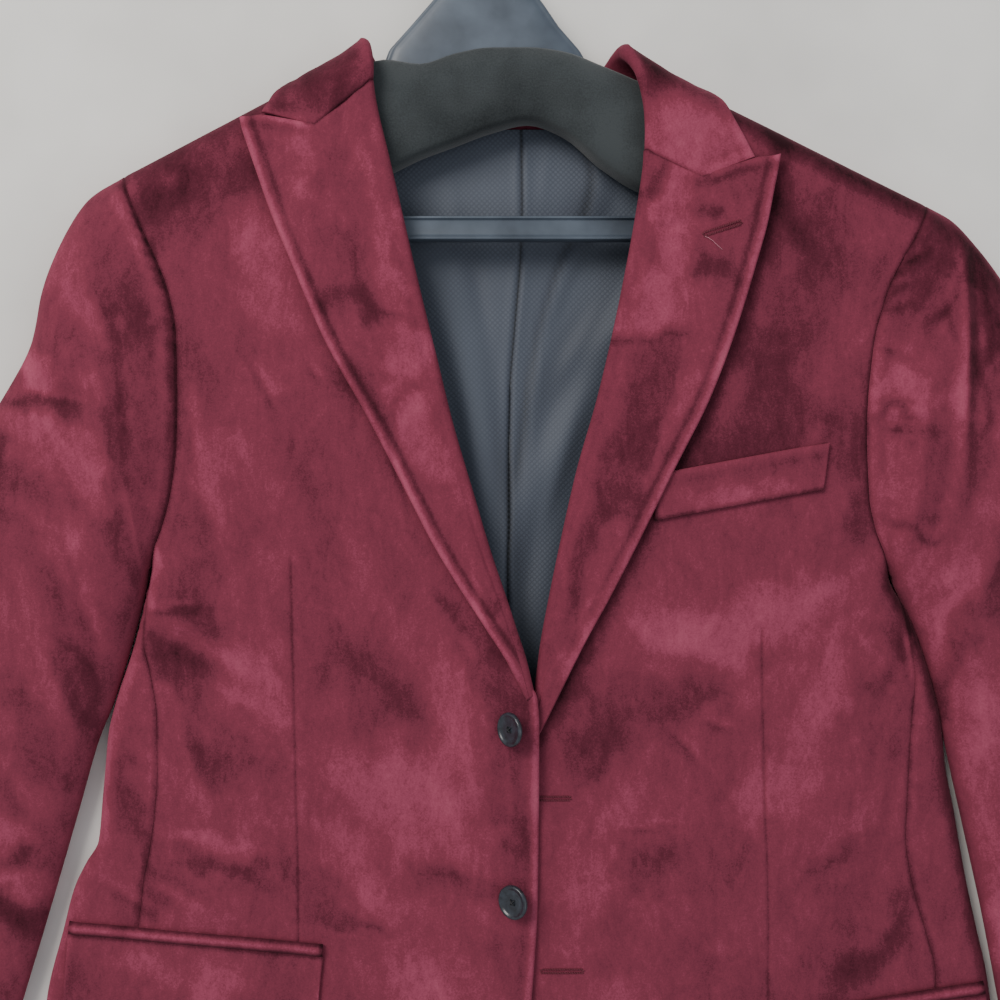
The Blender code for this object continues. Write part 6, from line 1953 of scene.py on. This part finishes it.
@dataclass
class Sleeve:
    """Top and under sleeve of one side.

    Attributes:
        half: The side's lines and heights.
        pile: The velvet's finish.
    """

    half: Half
    pile: Finish

    def ring(self, i: int, share: Array, below: bool) -> Array:
        """Points of one of the sleeve's stations.

        Args:
            i: The station.
            share: Shares of its width from the inner edge.
            below: Whether they lie on the underside.

        Returns:
            One point a share.
        """
        row = {name: column[i] for name, column in SLEEVE[self.half.side].items()}
        inner = np.array([row["in_out"], row["in_y"]])
        outer = np.array([row["out_out"], row["out_y"]])
        width = float(np.linalg.norm(outer - inner))
        plan = inner + (outer - inner) * share[:, None]
        rim = np.minimum(share, 1 - share) * width
        if below:
            z = row["edge"] * (1 - quarter(rim / 14.0))
        else:
            z = row["edge"] + (row["thick"] - row["edge"]) * quarter(rim / (0.36 * width)) ** 0.9
        return np.concatenate([plan, z[:, None]], 1)

    def grid(self, top: Array, low: Array, at: Array) -> Array:
        """Points round the sleeve from the armhole to the cuff.

        Args:
            top: Shares of the width on the upper face.
            low: Shares on the underside.
            at: Places among the sleeve's stations, from 0.

        Returns:
            A row for each place, its upper points first.
        """
        half, side = self.half, self.half.side
        front = half.beside(FRONT_ARMHOLE, 1 - top, SEAM_GAP)
        back = half.beside(BACK_ARMHOLE, 1 - low, SEAM_GAP)
        front_z = half.front_height(front[:, 0], front[:, 1])
        back_z = half.back_height(back[:, 0], back[:, 1])
        first = np.concatenate([
            np.concatenate([front, front_z[:, None]], 1), np.concatenate([back, back_z[:, None]], 1)
        ])
        first[:, 2] = np.where(first[:, 2] < 0.02, 0.0, first[:, 2])
        count = len(SLEEVE[side]["thick"])
        rings = [first] + [
            np.concatenate([self.ring(i, top, False), self.ring(i, low, True)])
            for i in range(count)
        ]
        rings = np.array(rings)
        index = np.arange(count + 1)
        dense = np.empty((len(at), rings.shape[1], 3))
        for j in range(rings.shape[1]):
            for k in range(3):
                dense[:, j, k] = smooth(at, index, rings[:, j, k])
        return dense

    def stations(self, step: float) -> Array:
        """Places among the stations, closer near the armhole and the cuff."""
        return len(SLEEVE[self.half.side]["thick"]) * spaced(640, step) ** 1.15

    def top_sleeve(self) -> bpy.types.Object:
        """Top sleeve, wrapped a little way under at both edges."""
        half, side = self.half, self.half.side
        knot = half.armhole(BACK_ARMHOLE)[1][BACK_ARMHOLE_KNOT]
        seams = 1 - BACK_FAN[side]["share"] * knot
        seam_in, seam_out = seams[-1], seams[4]
        top = spaced(215, 2.7)
        count = len(top)
        tuck = np.array([1.0, 0.82, 0.65, 0.47, 0.30, 0.15])
        low = np.concatenate([seam_in * tuck, 1 - (1 - seam_out) * tuck[::-1]])
        at = self.stations(2.9)
        dense = self.grid(top, low, at)
        order = [*range(count, count + 6), *range(count), *range(count + 6, count + 12)]
        base = dense[:, order]
        out, y = base[..., 0], base[..., 1]
        share = np.concatenate([np.zeros(6), top, np.ones(6)])[None]
        inside = np.minimum(share, 1 - share)
        fade = ease(at / 1.5)[:, None]
        base[..., 2] += fade * ease(inside / 0.12) * folds_at(SLEEVE_FOLDS[side], out, y)
        level = ease(inside / 0.05)
        from_hole, to_cuff = run_of(base, 0), run_of(base[::-1], 0)[::-1]
        around = run_of(base, 1)
        head = ease((y - 20) / 70)
        relief = seam_relief(from_hole) + (0.3 + 0.7 * head) * ridge(from_hole, 5.5, 4.5)
        relief = relief + (0.10 + 0.12 * head) * pucker(around, from_hole / 1.2, 11, 41)
        relief = relief + edge_relief(to_cuff) * ease((30 - to_cuff) / 20)
        creases = folds_at(SLEEVE_CREASES[side], out, y)
        swell = 0.6 * ripple(out, y, 44, 61) + 0.25 * ripple(out, y, 19, 62)
        relief = relief * level + (creases + swell * fade) * ease(inside / 0.09)
        flip = np.array([side.sign, 1, 1])
        base = base * flip
        normal = normals_of(base, side.sign)
        normal[base[..., 2] < 0.01] = (0, 0, -1)
        grid = base + relief[..., None] * np.array([0, 0, 1.0]) * (normal[..., 2:] > 0.05)
        face = normals_of(grid, side.sign)
        # Painted sheen and shade by the way each slope faces, then brushed patches with painted
        # crease shade.
        nap = np.clip(-1.1 * face[..., 1] - 0.8 * face[..., 0], -0.75, 0.26) * level
        nap = nap + strokes_and_shade_at(SLEEVE_SHADES[side], out, y) - 0.35 * ridge(from_hole, 0, 1.2)
        node = f"top_sleeve_{side.value}"
        piece = Wall(
            f"{node}_cloth", grid, base - CLOTH * normal, side.sign, nap, (SEWN, SEWN, TURNED, SEWN)
        ).build()
        return sew(piece, node, self.pile)

    def under_sleeve(self) -> bpy.types.Object:
        """Under sleeve, flat on the floor."""
        half, side = self.half, self.half.side
        knot = half.armhole(BACK_ARMHOLE)[1][BACK_ARMHOLE_KNOT]
        seams = 1 - BACK_FAN[side]["share"] * knot
        low = seams[-1] + 0.0045 + (seams[4] - seams[-1] - 0.009) * spaced(150, 9.0)
        base = self.grid(np.empty(0), low, self.stations(9.0)) * np.array([side.sign, 1, 1])
        normal = normals_of(base, -side.sign)
        normal[base[..., 2] < 0.01] = (0, 0, -1)
        node = f"under_sleeve_{side.value}"
        piece = Wall(
            f"{node}_cloth", base, base - CLOTH * normal, -side.sign, 0 * base[..., 2],
            (SEWN, SEWN, TURNED, SEWN),
        ).build()
        return sew(piece, node, self.pile)

    def build(self) -> None:
        """Makes both pieces."""
        self.top_sleeve()
        self.under_sleeve()


@dataclass
class BackLining:
    """Lining of the back, seen through the neck; the left piece folds over in a pleat.

    Attributes:
        half: The side's lines and heights.
        satin: The lining's finish.
    """

    half: Half
    satin: Finish

    def build(self) -> None:
        """Makes this side's piece."""
        side = self.half.side
        start, end = LINING_TOP, LINING_YS[-1]
        upper = np.arange(start, -75, -2.0)
        ys = np.concatenate([upper, upper[-1] + (end - upper[-1]) * np.linspace(0, 1, 40)[1:]])
        centre = smooth(ys, LINING_CENTRE["y"], LINING_CENTRE["x"])
        reach = smooth(ys, LINING_REACH["y"], LINING_REACH["out"])
        inner = side.sign * centre + SEAM_GAP / 2
        share = spaced(130, 2.1)
        out = inner[:, None] + (reach - inner)[:, None] * share[None]
        y = np.broadcast_to(ys[:, None], out.shape)
        x = side.sign * out
        from_neck = np.hypot((x + 8) / 118, (y - 262) / 66)
        floor = CLOTH + 0.5 + (NECK_RAISE + 0.3) * (1 - ease((from_neck - 1.2) / 0.6))
        keep = ease((reach[:, None] - out) / 40) * ease((start - y) / 14)
        swell = np.maximum(folds_at(LINING_FOLDS, x, y), 0) * keep
        fine = folds_at(LINING_CREASES, x, y) + 0.35 * ripple(x, y, 24, 5) + 0.5
        pleat = x - smooth(y, PLEAT_LINE["y"], PLEAT_LINE["x"])
        step = 1.1 * ease(pleat / 4.0) * ease((16 - pleat) / 12) * ease((y + 2) / 24)
        seam = -0.8 * ridge(out - inner[:, None], 0, 1.4) + 0.5 * ridge(out - inner[:, None], 3, 2)
        z = floor + LINING_CLOTH + np.maximum(swell + (fine + step) * keep + seam * keep, 0)
        grid = np.stack([x, y, z], -1)
        low = grid - np.array([0, 0, LINING_CLOTH])
        node = f"back_lining_{side.value}"
        shade = folds_at(LINING_SHADES, x, y) - 0.9 * ridge(out - inner[:, None], 0, 1.0)
        # Painted shadow beside the pleat's folded edge.
        shade = shade - 0.45 * ridge(pleat, -0.6, 2.8) * ease((y + 2) / 24)
        piece = Wall(f"{node}_cloth", grid, low, side.sign, shade).build()
        sew(piece, node, self.satin)


@dataclass
class Pockets:
    """Breast welt, hip jets and flaps, all lying on the fronts.

    Attributes:
        halves: Both sides' lines and heights, right first.
        pile: The velvet's finish.
    """

    halves: tuple[Half, Half]
    pile: Finish

    def lying(
        self, node: str, half: Half, plan: Array, off: float, wall: float, bulge: Sequence[float],
        open_sides: tuple[bool, bool, bool, bool], full: float = 0.0,
    ) -> bpy.types.Object:
        """A flat piece made from the front's own face, moved out.

        Args:
            node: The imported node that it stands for.
            half: The side it lies on.
            plan: Its grid of places.
            off: How far its underside stands off the front.
            wall: Its thickness.
            bulge: How far each edge bulges, as Wall has it.
            open_sides: Which edges are finished: first row, last column, last row, first column.
            full: How far its middle swells.

        Returns:
            The piece.
        """
        out, y = plan[..., 0], plan[..., 1]
        base = half.front_height(out, y) + off
        low = half.place(out, y, base)
        down, across = run_of(low, 0), run_of(low, 1)
        gaps = (down, across[:, -1:] - across, down[-1:] - down, across)
        middle = np.sin(np.pi * np.clip(down / np.maximum(down[-1:], 1e-6), 0, 1))
        relief = 0.12 * ripple(out, y, 17, 3) + full * middle
        nap = half.front_tone_and_shade(POCKET_SHADES, out, y)
        # Painted highlight on the swelling middle.
        nap = nap + 0.4 * full * middle
        # Painted highlight and shade along finished edges, and painted shade along the edges that
        # meet the cloth.
        for gap, finished in zip(gaps, open_sides):
            if finished:
                relief = relief + 0.6 * edge_relief(gap)
                nap = nap + 0.5 * edge_shade(gap)
            else:
                nap = nap - 0.6 * ridge(gap, 0, 1.8)
        piece = Wall(
            f"{node}_cloth", half.place(out, y, base + wall + relief), low, half.side.sign, nap,
            tuple(bulge),
        ).build()
        return sew(piece, node, self.pile)

    def breast_welt(self) -> None:
        """Welt of the breast pocket, on the wearer's left."""
        half = self.halves[1]
        low, high = np.array(BREAST_WELT["low"]), np.array(BREAST_WELT["high"])
        across, up = spaced(98, 2.0), spaced(25.5, 1.5)[::-1]
        base = low + (high - low) * across[:, None]
        plan = base[None] + np.array([0, BREAST_WELT["depth"]]) * up[:, None, None]
        lean = np.clip(across * 7 - 6, 0, 1)
        plan = plan + np.array([3.0, 0]) * up[:, None, None] * lean[None, :, None]
        piece = self.lying(
            "breast_welt", half, plan, BREAST_WELT["off"], BREAST_WELT["wall"],
            (TURNED, 0.5, 0.4, 0.5), (True, True, False, False),
        )

    def hip_pocket(self, half: Half) -> None:
        """Jet along a hip pocket's mouth, and the flap that hangs from under it."""
        key = half.side.value
        inner, outer = (np.array(HIP_POCKET[half.side][end]) for end in ("inner", "outer"))
        length = float(np.linalg.norm(outer - inner))
        run = (outer - inner) / length
        down = np.array([run[1], -run[0]])
        down = down if down[1] < 0 else -down
        shares = spaced(length, 2.0)
        mouth = inner + (outer - inner) * shares[:, None]
        depth = np.linspace(0, JET_DEPTH, 8)
        jet = mouth[None] + down * depth[:, None, None]
        jet_piece = self.lying(
            f"hip_jet_{key}", half, jet, 1.0, JET_WALL, (0.5, 0.3, TURNED, 0.3),
            (False, False, False, False), 0.9,
        )
        from_end = np.minimum(shares, 1 - shares) * length
        bend = FLAP_CORNER - np.sqrt(
            np.maximum(0, FLAP_CORNER**2 - np.maximum(0, FLAP_CORNER - from_end) ** 2)
        )
        reach = FLAP_DEPTH - bend * 0.9
        depths = spaced(FLAP_DEPTH, 2.2)
        flap = mouth[None] + down * (JET_DEPTH + 0.5 + depths[:, None] * reach[None])[..., None]
        piece = self.lying(
            f"hip_flap_{key}", half, flap, 0.8, FLAP_WALL, (SEWN, TURNED, TURNED, TURNED),
            (False, True, True, True),
        )

    def build(self) -> None:
        """Makes the three pockets."""
        self.breast_welt()
        for half in self.halves:
            self.hip_pocket(half)


def tube(name: str, path: Array, radius: float, sides: int = 10) -> bpy.types.Object:
    """A round tube with closed ends along a path.

    Args:
        name: The piece's name.
        path: Points of its middle line, in millimetres.
        radius: Its radius.
        sides: Faces round it.

    Returns:
        The object.
    """
    path = np.asarray(path, float)
    run = np.gradient(path, axis=0)
    run = run / np.linalg.norm(run, axis=1, keepdims=True)
    side = np.cross(run[0], (0.31, 0.17, 0.93))
    angle = np.linspace(0, 2 * math.pi, sides, endpoint=False)
    rings = []
    for k, (point, ahead) in enumerate(zip(path, run)):
        side = side - ahead * float(side @ ahead)
        side = side / np.linalg.norm(side)
        other = np.cross(ahead, side)
        ring = point + radius * (np.outer(np.cos(angle), side) + np.outer(np.sin(angle), other))
        rings.append(ring)
        for at, away in ((0, -1), (len(path) - 1, 1)):
            if k == at:
                cap = point + ahead * away * radius * 0.5 + (ring - point) * 0.6
                rings.insert(0 if away < 0 else len(rings), cap)
    return loft(name, np.array(rings))


def loft(name: str, rings: Array, sharp: float = SHARP) -> bpy.types.Object:
    """A closed form through rings of points, with a cap at each end.

    Args:
        name: The piece's name.
        rings: Rings of points, all with the same count.
        sharp: Angle in degrees past which two faces are shaded apart.

    Returns:
        The object.
    """
    rings = np.asarray(rings, float)
    count, size = rings.shape[:2]
    index = np.arange(count * size).reshape(count, size)
    after = np.roll(index, -1, axis=1)
    sides = np.stack([index[:-1], after[:-1], after[1:], index[1:]], -1).reshape(-1, 4)
    caps = np.stack([index[0][::-1], index[-1]])
    a, b, c = (rings.reshape(-1, 3)[sides[:, k]] for k in (0, 1, 2))
    volume = float(np.sum(a * np.cross(b, c)))
    if volume < 0:
        sides, caps = sides[:, ::-1], caps[:, ::-1]
    return mesh_object(name, rings.reshape(-1, 3), [sides, caps], sharp)


def joined(piece: bpy.types.Object, other: bpy.types.Object, operation: str) -> None:
    """Joins another form to a piece or cuts it out, and removes the other form."""
    change = piece.modifiers.new(operation.lower(), "BOOLEAN")
    change.operation, change.object, change.solver = operation, other, "EXACT"
    settled = piece.evaluated_get(bpy.context.evaluated_depsgraph_get())
    mesh = bpy.data.meshes.new_from_object(settled)
    piece.modifiers.clear()
    piece.data = mesh
    mesh.shade_smooth()
    mesh.set_sharp_from_angle(angle=math.radians(32))
    bpy.data.objects.remove(other, do_unlink=True)


def squared_oval(count: int, square: float) -> Array:
    """Unit points round a squared oval."""
    angle = np.linspace(0, 2 * math.pi, count, endpoint=False)
    c, s = np.cos(angle), np.sin(angle)
    return np.stack([
        np.sign(c) * np.abs(c) ** (2 / square), np.sign(s) * np.abs(s) ** (2 / square)
    ], -1)


@dataclass
class FrontButton:
    """A four-hole button, its thread and its thread shank.

    Attributes:
        node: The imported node.
        x: Where it is sewn on, across the coat.
        y: Where it is sewn on, up the coat.
        lean: How far it leans to the wearer's right, in degrees.
        half: The front that it is sewn to.
    """

    node: str
    x: float
    y: float
    lean: float
    half: Half

    def place(self) -> Matrix:
        """Where the button stands, in millimetres."""
        lean = math.radians(self.lean)
        r = BUTTON_RADIUS
        rest = float(self.half.form_height(-self.x + r * math.cos(lean), self.y))
        centre = Vector((self.x, self.y, rest + BUTTON_SEAT + r * math.sin(lean)))
        return Matrix.Translation(centre) @ Matrix.Rotation(-lean, 4, "Y")

    def moved(self, points: Array) -> Array:
        """Points of the button, moved to where it stands."""
        turn = np.array(self.place())
        return points @ turn[:3, :3].T + turn[:3, 3]

    def turned(self) -> bpy.types.Object:
        """The turned disc with its rounded rim, dished face and four holes."""
        r, t = BUTTON_RADIUS, BUTTON_THICK
        profile = (
            (r - 2.6, 0.0), (r - 1.4, 0.08), (r - 0.7, 0.4), (r - 0.2, 0.95), (r, 1.6),
            (r, t - 1.3), (r - 0.12, t - 0.7), (r - 0.45, t - 0.22), (r - 0.9, t),
            (r - 1.35, t - 0.04), (r - 1.8, t - 0.26), (r - 2.2, t - 0.6), (r - 2.7, t - 0.88),
            (r - 3.4, t - 1.02), (r - 5.5, t - 1.1), (r - 7.5, t - 1.14), (0.4, t - 1.15),
        )
        angle = np.linspace(0, 2 * math.pi, 64, endpoint=False)
        rings = np.array([
            np.stack([p * np.cos(angle), p * np.sin(angle), np.full(64, z)], -1) for p, z in profile
        ])
        disc = loft(f"{self.node}_disc", self.moved(rings), 40)
        sections = ((BUTTON_HOLE, -2.0), (BUTTON_HOLE, t - 1.25), (BUTTON_HOLE + 0.6, t + 0.4))
        round_it = np.linspace(0, 2 * math.pi, 20, endpoint=False)
        for k in range(4):
            turn = math.radians(45 + 90 * k)
            middle = np.array([math.cos(turn), math.sin(turn), 0]) * BUTTON_HOLE_SPACING
            hole = np.array([
                middle + np.stack([p * np.cos(round_it), p * np.sin(round_it), np.full(20, z)], -1)
                for p, z in sections
            ])
            joined(disc, loft("hole", self.moved(hole)), "DIFFERENCE")
        return disc

    def stitches(self) -> bpy.types.Object:
        """Four strands crossed through the holes and wound into a shank below."""
        spacing, t = BUTTON_HOLE_SPACING, BUTTON_THICK
        points = []
        for k in (0, 1):
            turn = math.radians(45 + 90 * k)
            way = np.array([math.cos(turn), math.sin(turn)]) * spacing
            for s in np.linspace(-1, 1, 13):
                z = t - 1.0 + 0.75 * (1 - abs(s) ** 3) + 0.35 * k * (1 - abs(s))
                points.append((*(way * s), z))
            points.append((*(way * 0.98), 0.6))
            points.append((*(way * 0.4), -0.5))
            points.append((0.3 - 0.6 * k, 0.2, -1.0))
            if k == 0:
                points.append((-spacing / 2, -spacing / 2, -0.4))
        for s in np.linspace(0, 3, 25):
            a = 2 * math.pi * s
            points.append((0.8 * math.cos(a), 0.8 * math.sin(a), -1.1 - 0.75 * s))
        return tube(f"{self.node}_thread", self.moved(np.array(points)), 0.42, 8)

    def build(self) -> None:
        """Makes the button and its thread."""
        disc = sew(self.turned(), self.node, RESIN)
        thread = sew(self.stitches(), self.node, DARK_THREAD)
        LOG.info("%s is sewn on with %s", disc.name, thread.name)


@dataclass
class Buttonhole:
    """A buttonhole: one thread stitched all round a slit.

    Attributes:
        name: Its piece's name.
        node: The cloth's node.
        start: One end, across and up the coat.
        end: Its other end.
        rise: Height of the cloth at each place across and up the coat.
        stand: How far the stitches stand over that height.
    """

    name: str
    node: str
    start: tuple[float, float]
    end: tuple[float, float]
    rise: Callable[[Array, Array], Array]
    stand: float = 0.25

    def build(self) -> None:
        """Makes the ring of stitches."""
        start, end = np.array(self.start), np.array(self.end)
        run = end - start
        length = float(np.linalg.norm(run))
        run = run / length
        side = np.array([-run[1], run[0]])
        around = 2 * (length + HOLE_END)
        count = STITCH_POINTS * int(2 * length / STITCH_PITCH)
        places = []
        for k, s in enumerate(around * np.linspace(0, 1, count + 1)):
            lap = s % around
            if lap < length:
                middle, way = start + run * lap + side * HALF_SLIT, side
            elif lap < length + HOLE_END:
                turn = math.pi * (lap - length) / HOLE_END
                way = side * math.cos(turn) + run * math.sin(turn)
                middle = end + way * HALF_SLIT
            elif lap < 2 * length + HOLE_END:
                middle, way = end - run * (lap - length - HOLE_END) - side * HALF_SLIT, -side
            else:
                turn = math.pi * (lap - 2 * length - HOLE_END) / HOLE_END
                way = -side * math.cos(turn) - run * math.sin(turn)
                middle = start + way * HALF_SLIT
            phase = 2 * math.pi * k / STITCH_POINTS
            lift = self.stand + 0.25 * math.cos(phase)
            here = middle + way * (0.45 + 0.55 * math.sin(phase))
            places.append((*here, float(self.rise(here[0], here[1])) + lift))
        piece = tube(self.name, np.array(places), 0.26, 6)
        sew(piece, self.node, RED_THREAD)


@dataclass
class Hanger:
    """Moulded suit hanger: arms, neck and trouser bar, felt cover and wire hook.

    Attributes:
        ring_points: Points round an arm.
        arm_step: Spacing of the rings along the arms.
    """

    ring_points: int = 48
    arm_step: float = 5.0

    def arm(self, start: float, end: float, grow: float, seam: float = 0.0) -> Array:
        """Rings of the arms between two places across, grown outwards.

        Args:
            start: The first place across.
            end: The last one.
            grow: How far the rings stand off the arms.
            seam: Height of a rolled edge along the top and bottom.

        Returns:
            The rings.
        """
        xs = np.unique(np.concatenate([
            np.linspace(start, end, int((end - start) / self.arm_step)),
            [start + 0.8, start + 2, start + 4, end - 4, end - 2, end - 0.8],
        ]))
        shape = squared_oval(self.ring_points, 3.4)
        rings = []
        for x in xs:
            top, low, z_low, z_high = (
                float(smooth(x, HANGER_ARMS["x"], HANGER_ARMS[name]))
                for name in ("top", "low", "z_low", "z_high")
            )
            half_y, half_z = (top - low) / 2 + grow, (z_high - z_low) / 2 + grow
            lip = seam * ridge(half_y * (1 - np.abs(shape[:, 0])), 1.4, 1.6)
            rings.append(np.stack([
                np.full(len(shape), x), (top + low) / 2 + half_y * shape[:, 0],
                (z_low + z_high) / 2 + half_z * shape[:, 1] + lip * np.sign(shape[:, 1]),
            ], -1))
        return np.array(rings)

    def neck(self, grow: float, lip: float = 0.0) -> Array:
        """Rings of the flat neck, grown outwards, with a raised lip round its faces."""
        shape = squared_oval(96, 5.0)
        ys = np.unique(np.concatenate([
            np.linspace(HANGER_NECK["y"][0], HANGER_NECK["y"][-1], 40),
            HANGER_NECK["y"][-1] - np.array([0.5, 1.2, 2.2]),
        ]))
        rings = []
        for y in ys:
            x0, x1, z0, z1 = (
                float(np.interp(y, HANGER_NECK["y"], HANGER_NECK[name]))
                for name in ("x_low", "x_high", "z_low", "z_high")
            )
            from_end = HANGER_NECK["y"][-1] - y
            trim = 1.6 * (1 - float(quarter(from_end / 2.4))) if from_end < 2.4 else 0.0
            half_x, half_z = (x1 - x0) / 2 + grow - trim, (z1 - z0) / 2 + grow - trim
            inset = half_x * (1 - np.abs(shape[:, 0]))
            edge = lip * (ridge(inset, 1.2, 1.6) - 0.5 * ridge(inset, 4.2, 1.2))
            rings.append(np.stack([
                (x0 + x1) / 2 + half_x * shape[:, 0], np.full(len(shape), y),
                (z0 + z1) / 2 + half_z * shape[:, 1] + edge * np.sign(shape[:, 1]),
            ], -1))
        return np.array(rings)

    def bar(self) -> bpy.types.Object:
        """Trouser bar: a channel with a raised rim along both long edges."""
        (x0, x1), (y0, y1), (z0, z1) = BAR["x"], BAR["y"], BAR["z"]
        half_y, half_z = (y1 - y0) / 2, (z1 - z0) / 2
        profile = [
            (-1.0, -0.8), (-0.93, -1.0), (0.93, -1.0), (1.0, -0.8), (1.0, 0.72), (0.97, 0.93),
            (0.90, 1.0), (0.80, 0.97), (0.74, 0.80), (0.66, 0.62), (0.4, 0.58), (0.0, 0.57),
            (-0.4, 0.58), (-0.62, 0.62), (-0.70, 0.80), (-0.77, 0.97), (-0.88, 1.0),
            (-0.97, 0.93),
            (-1.0, 0.72),
        ]
        rings = [
            [(x, (y0 + y1) / 2 + half_y * u, (z0 + z1) / 2 + half_z * v) for u, v in profile]
            for x in np.linspace(x0, x1, 60)
        ]
        return loft("hanger_bar", np.array(rings), 50)

    def build_body(self) -> None:
        """Arms, neck and bar, moulded in one."""
        arms = loft("hanger_arms", self.arm(HANGER_ARMS["x"][0], HANGER_ARMS["x"][-1], 0.0))
        neck = loft("hanger_neck", self.neck(0.0, 0.5), 44)
        for piece in (arms, neck, self.bar()):
            sew(piece, "hanger_body", PLASTIC)

    def build_cover(self) -> None:
        """Felt cover on the middle of the arms: its edge is rolled, and the neck passes through."""
        start, end = COVER_ENDS
        cover = loft("hanger_cover_felt", self.arm(start, end, COVER_CLEAR + COVER_WALL - 0.5, 0.5))
        joined(cover, loft("space", self.arm(start - 3, end + 3, COVER_CLEAR)), "DIFFERENCE")
        joined(cover, loft("space", self.neck(COVER_CLEAR)), "DIFFERENCE")
        sew(cover, "hanger_cover", FELT)

    def build_hook(self) -> None:
        """Wire hook: a short stem, then most of a circle, with a rounded end."""
        base = HANGER_NECK["y"][-1] + SEAM_GAP
        centre = base + HOOK_STEM + HOOK_RADIUS
        points = [(HOOK_X, base + s * HOOK_STEM * 0.6, HOOK_Z) for s in np.linspace(0, 0.95, 6)]
        for turn in np.linspace(-90, 125, 72):
            angle = math.radians(turn)
            reach = HOOK_RADIUS * math.cos(angle) * float(ease((turn + 90) / 40))
            points.append((HOOK_X + reach, centre + HOOK_RADIUS * math.sin(angle), HOOK_Z))
        sew(tube("hanger_hook_wire", np.array(points), HOOK_WIRE, 24), "hanger_hook", STEEL)

    def build(self) -> None:
        """Makes the whole hanger."""
        self.build_body()
        self.build_cover()
        self.build_hook()


@dataclass
class Studio:
    """Camera, floor and soft lights.

    Attributes:
        height: The camera's height over the floor, in metres.
        lens: Its lens in millimetres on a 36 mm sensor.
    """

    height: float = 0.68
    lens: float = 40.98

    def light(self, name: str, place: tuple[float, float, float], size: float, power: float,
              colour: str) -> None:
        """A square soft light aimed at the middle of the coat."""
        lamp = bpy.data.lights.new(name, "AREA")
        lamp.shape, lamp.size, lamp.energy = "SQUARE", size, power
        lamp.color = linear(colour)[:3]
        made = bpy.data.objects.new(name, lamp)
        made.location = place
        aim = Vector((0, 0.05, 0)) - Vector(place)
        made.rotation_euler = aim.to_track_quat("-Z", "Y").to_euler()
        bpy.context.scene.collection.objects.link(made)

    def build(self) -> None:
        """Sets up the camera, the floor and the lights."""
        scene = bpy.context.scene
        view = bpy.data.cameras.new("photo_camera")
        view.lens, view.sensor_width = self.lens, 36.0
        camera = bpy.data.objects.new("photo_camera", view)
        camera.location = ((OFFSET[0] - 14.3) * METRES, OFFSET[1] * METRES, self.height)
        scene.collection.objects.link(camera)
        scene.camera = camera
        reach, low = 2600.0, -0.4
        ground = np.array([(x, y, low) for x in (-reach, reach) for y in (-reach, reach)])
        floor = mesh_object("floor", ground, [np.array([[0, 2, 3, 1]])])
        floor.data.materials.append(FLOOR.material())
        self.light("key_light", (-1.15, 1.25, 1.75), 1.1, 44.0, "#fffaf4")
        self.light("fill_light", (1.5, -0.4, 1.9), 2.2, 13.0, "#f3f7ff")
        world = bpy.data.worlds.new("studio")
        world.use_nodes = True
        world.node_tree.nodes["Background"].inputs["Color"].default_value = linear("#e9ecef")
        world.node_tree.nodes["Background"].inputs["Strength"].default_value = 0.55
        scene.world = world


def main() -> None:
    """Builds the coat, its hanger and the studio."""
    logging.basicConfig(level=logging.INFO, format="%(message)s")
    right, left = Half(Side.RIGHT), Half(Side.LEFT)
    halves = (right, left)
    for half in halves:
        Body(half, VELVET, DART_TOP[half.side.value]).build()
        Lapel(half, VELVET).build()
        Sleeve(half, VELVET).build()
        BackLining(half, LINING).build()
    Collar(halves, VELVET).build()
    Pockets(halves, VELVET).build()
    for name, start, end in BUTTONHOLES:
        Buttonhole(f"buttonhole_{name}", "front_left", start, end, left.front_height).build()
    lapel = Lapel(left, VELVET)
    Buttonhole("buttonhole_lapel", "lapel_left", *LAPEL_HOLE, lapel.face_height, 0.75).build()
    loose = np.array([(x, y, lapel.face_height(x, y) + rise) for x, y, rise in LOOSE_THREAD])
    sew(tube("buttonhole_thread", loose, 0.16, 6), "lapel_left", PALE_THREAD)
    for spec in BUTTONS:
        FrontButton(spec["name"], spec["x"], spec["y"], spec["lean"], right).build()
    Hanger().build()
    Studio().build()


if __name__ == "__main__":
    main()
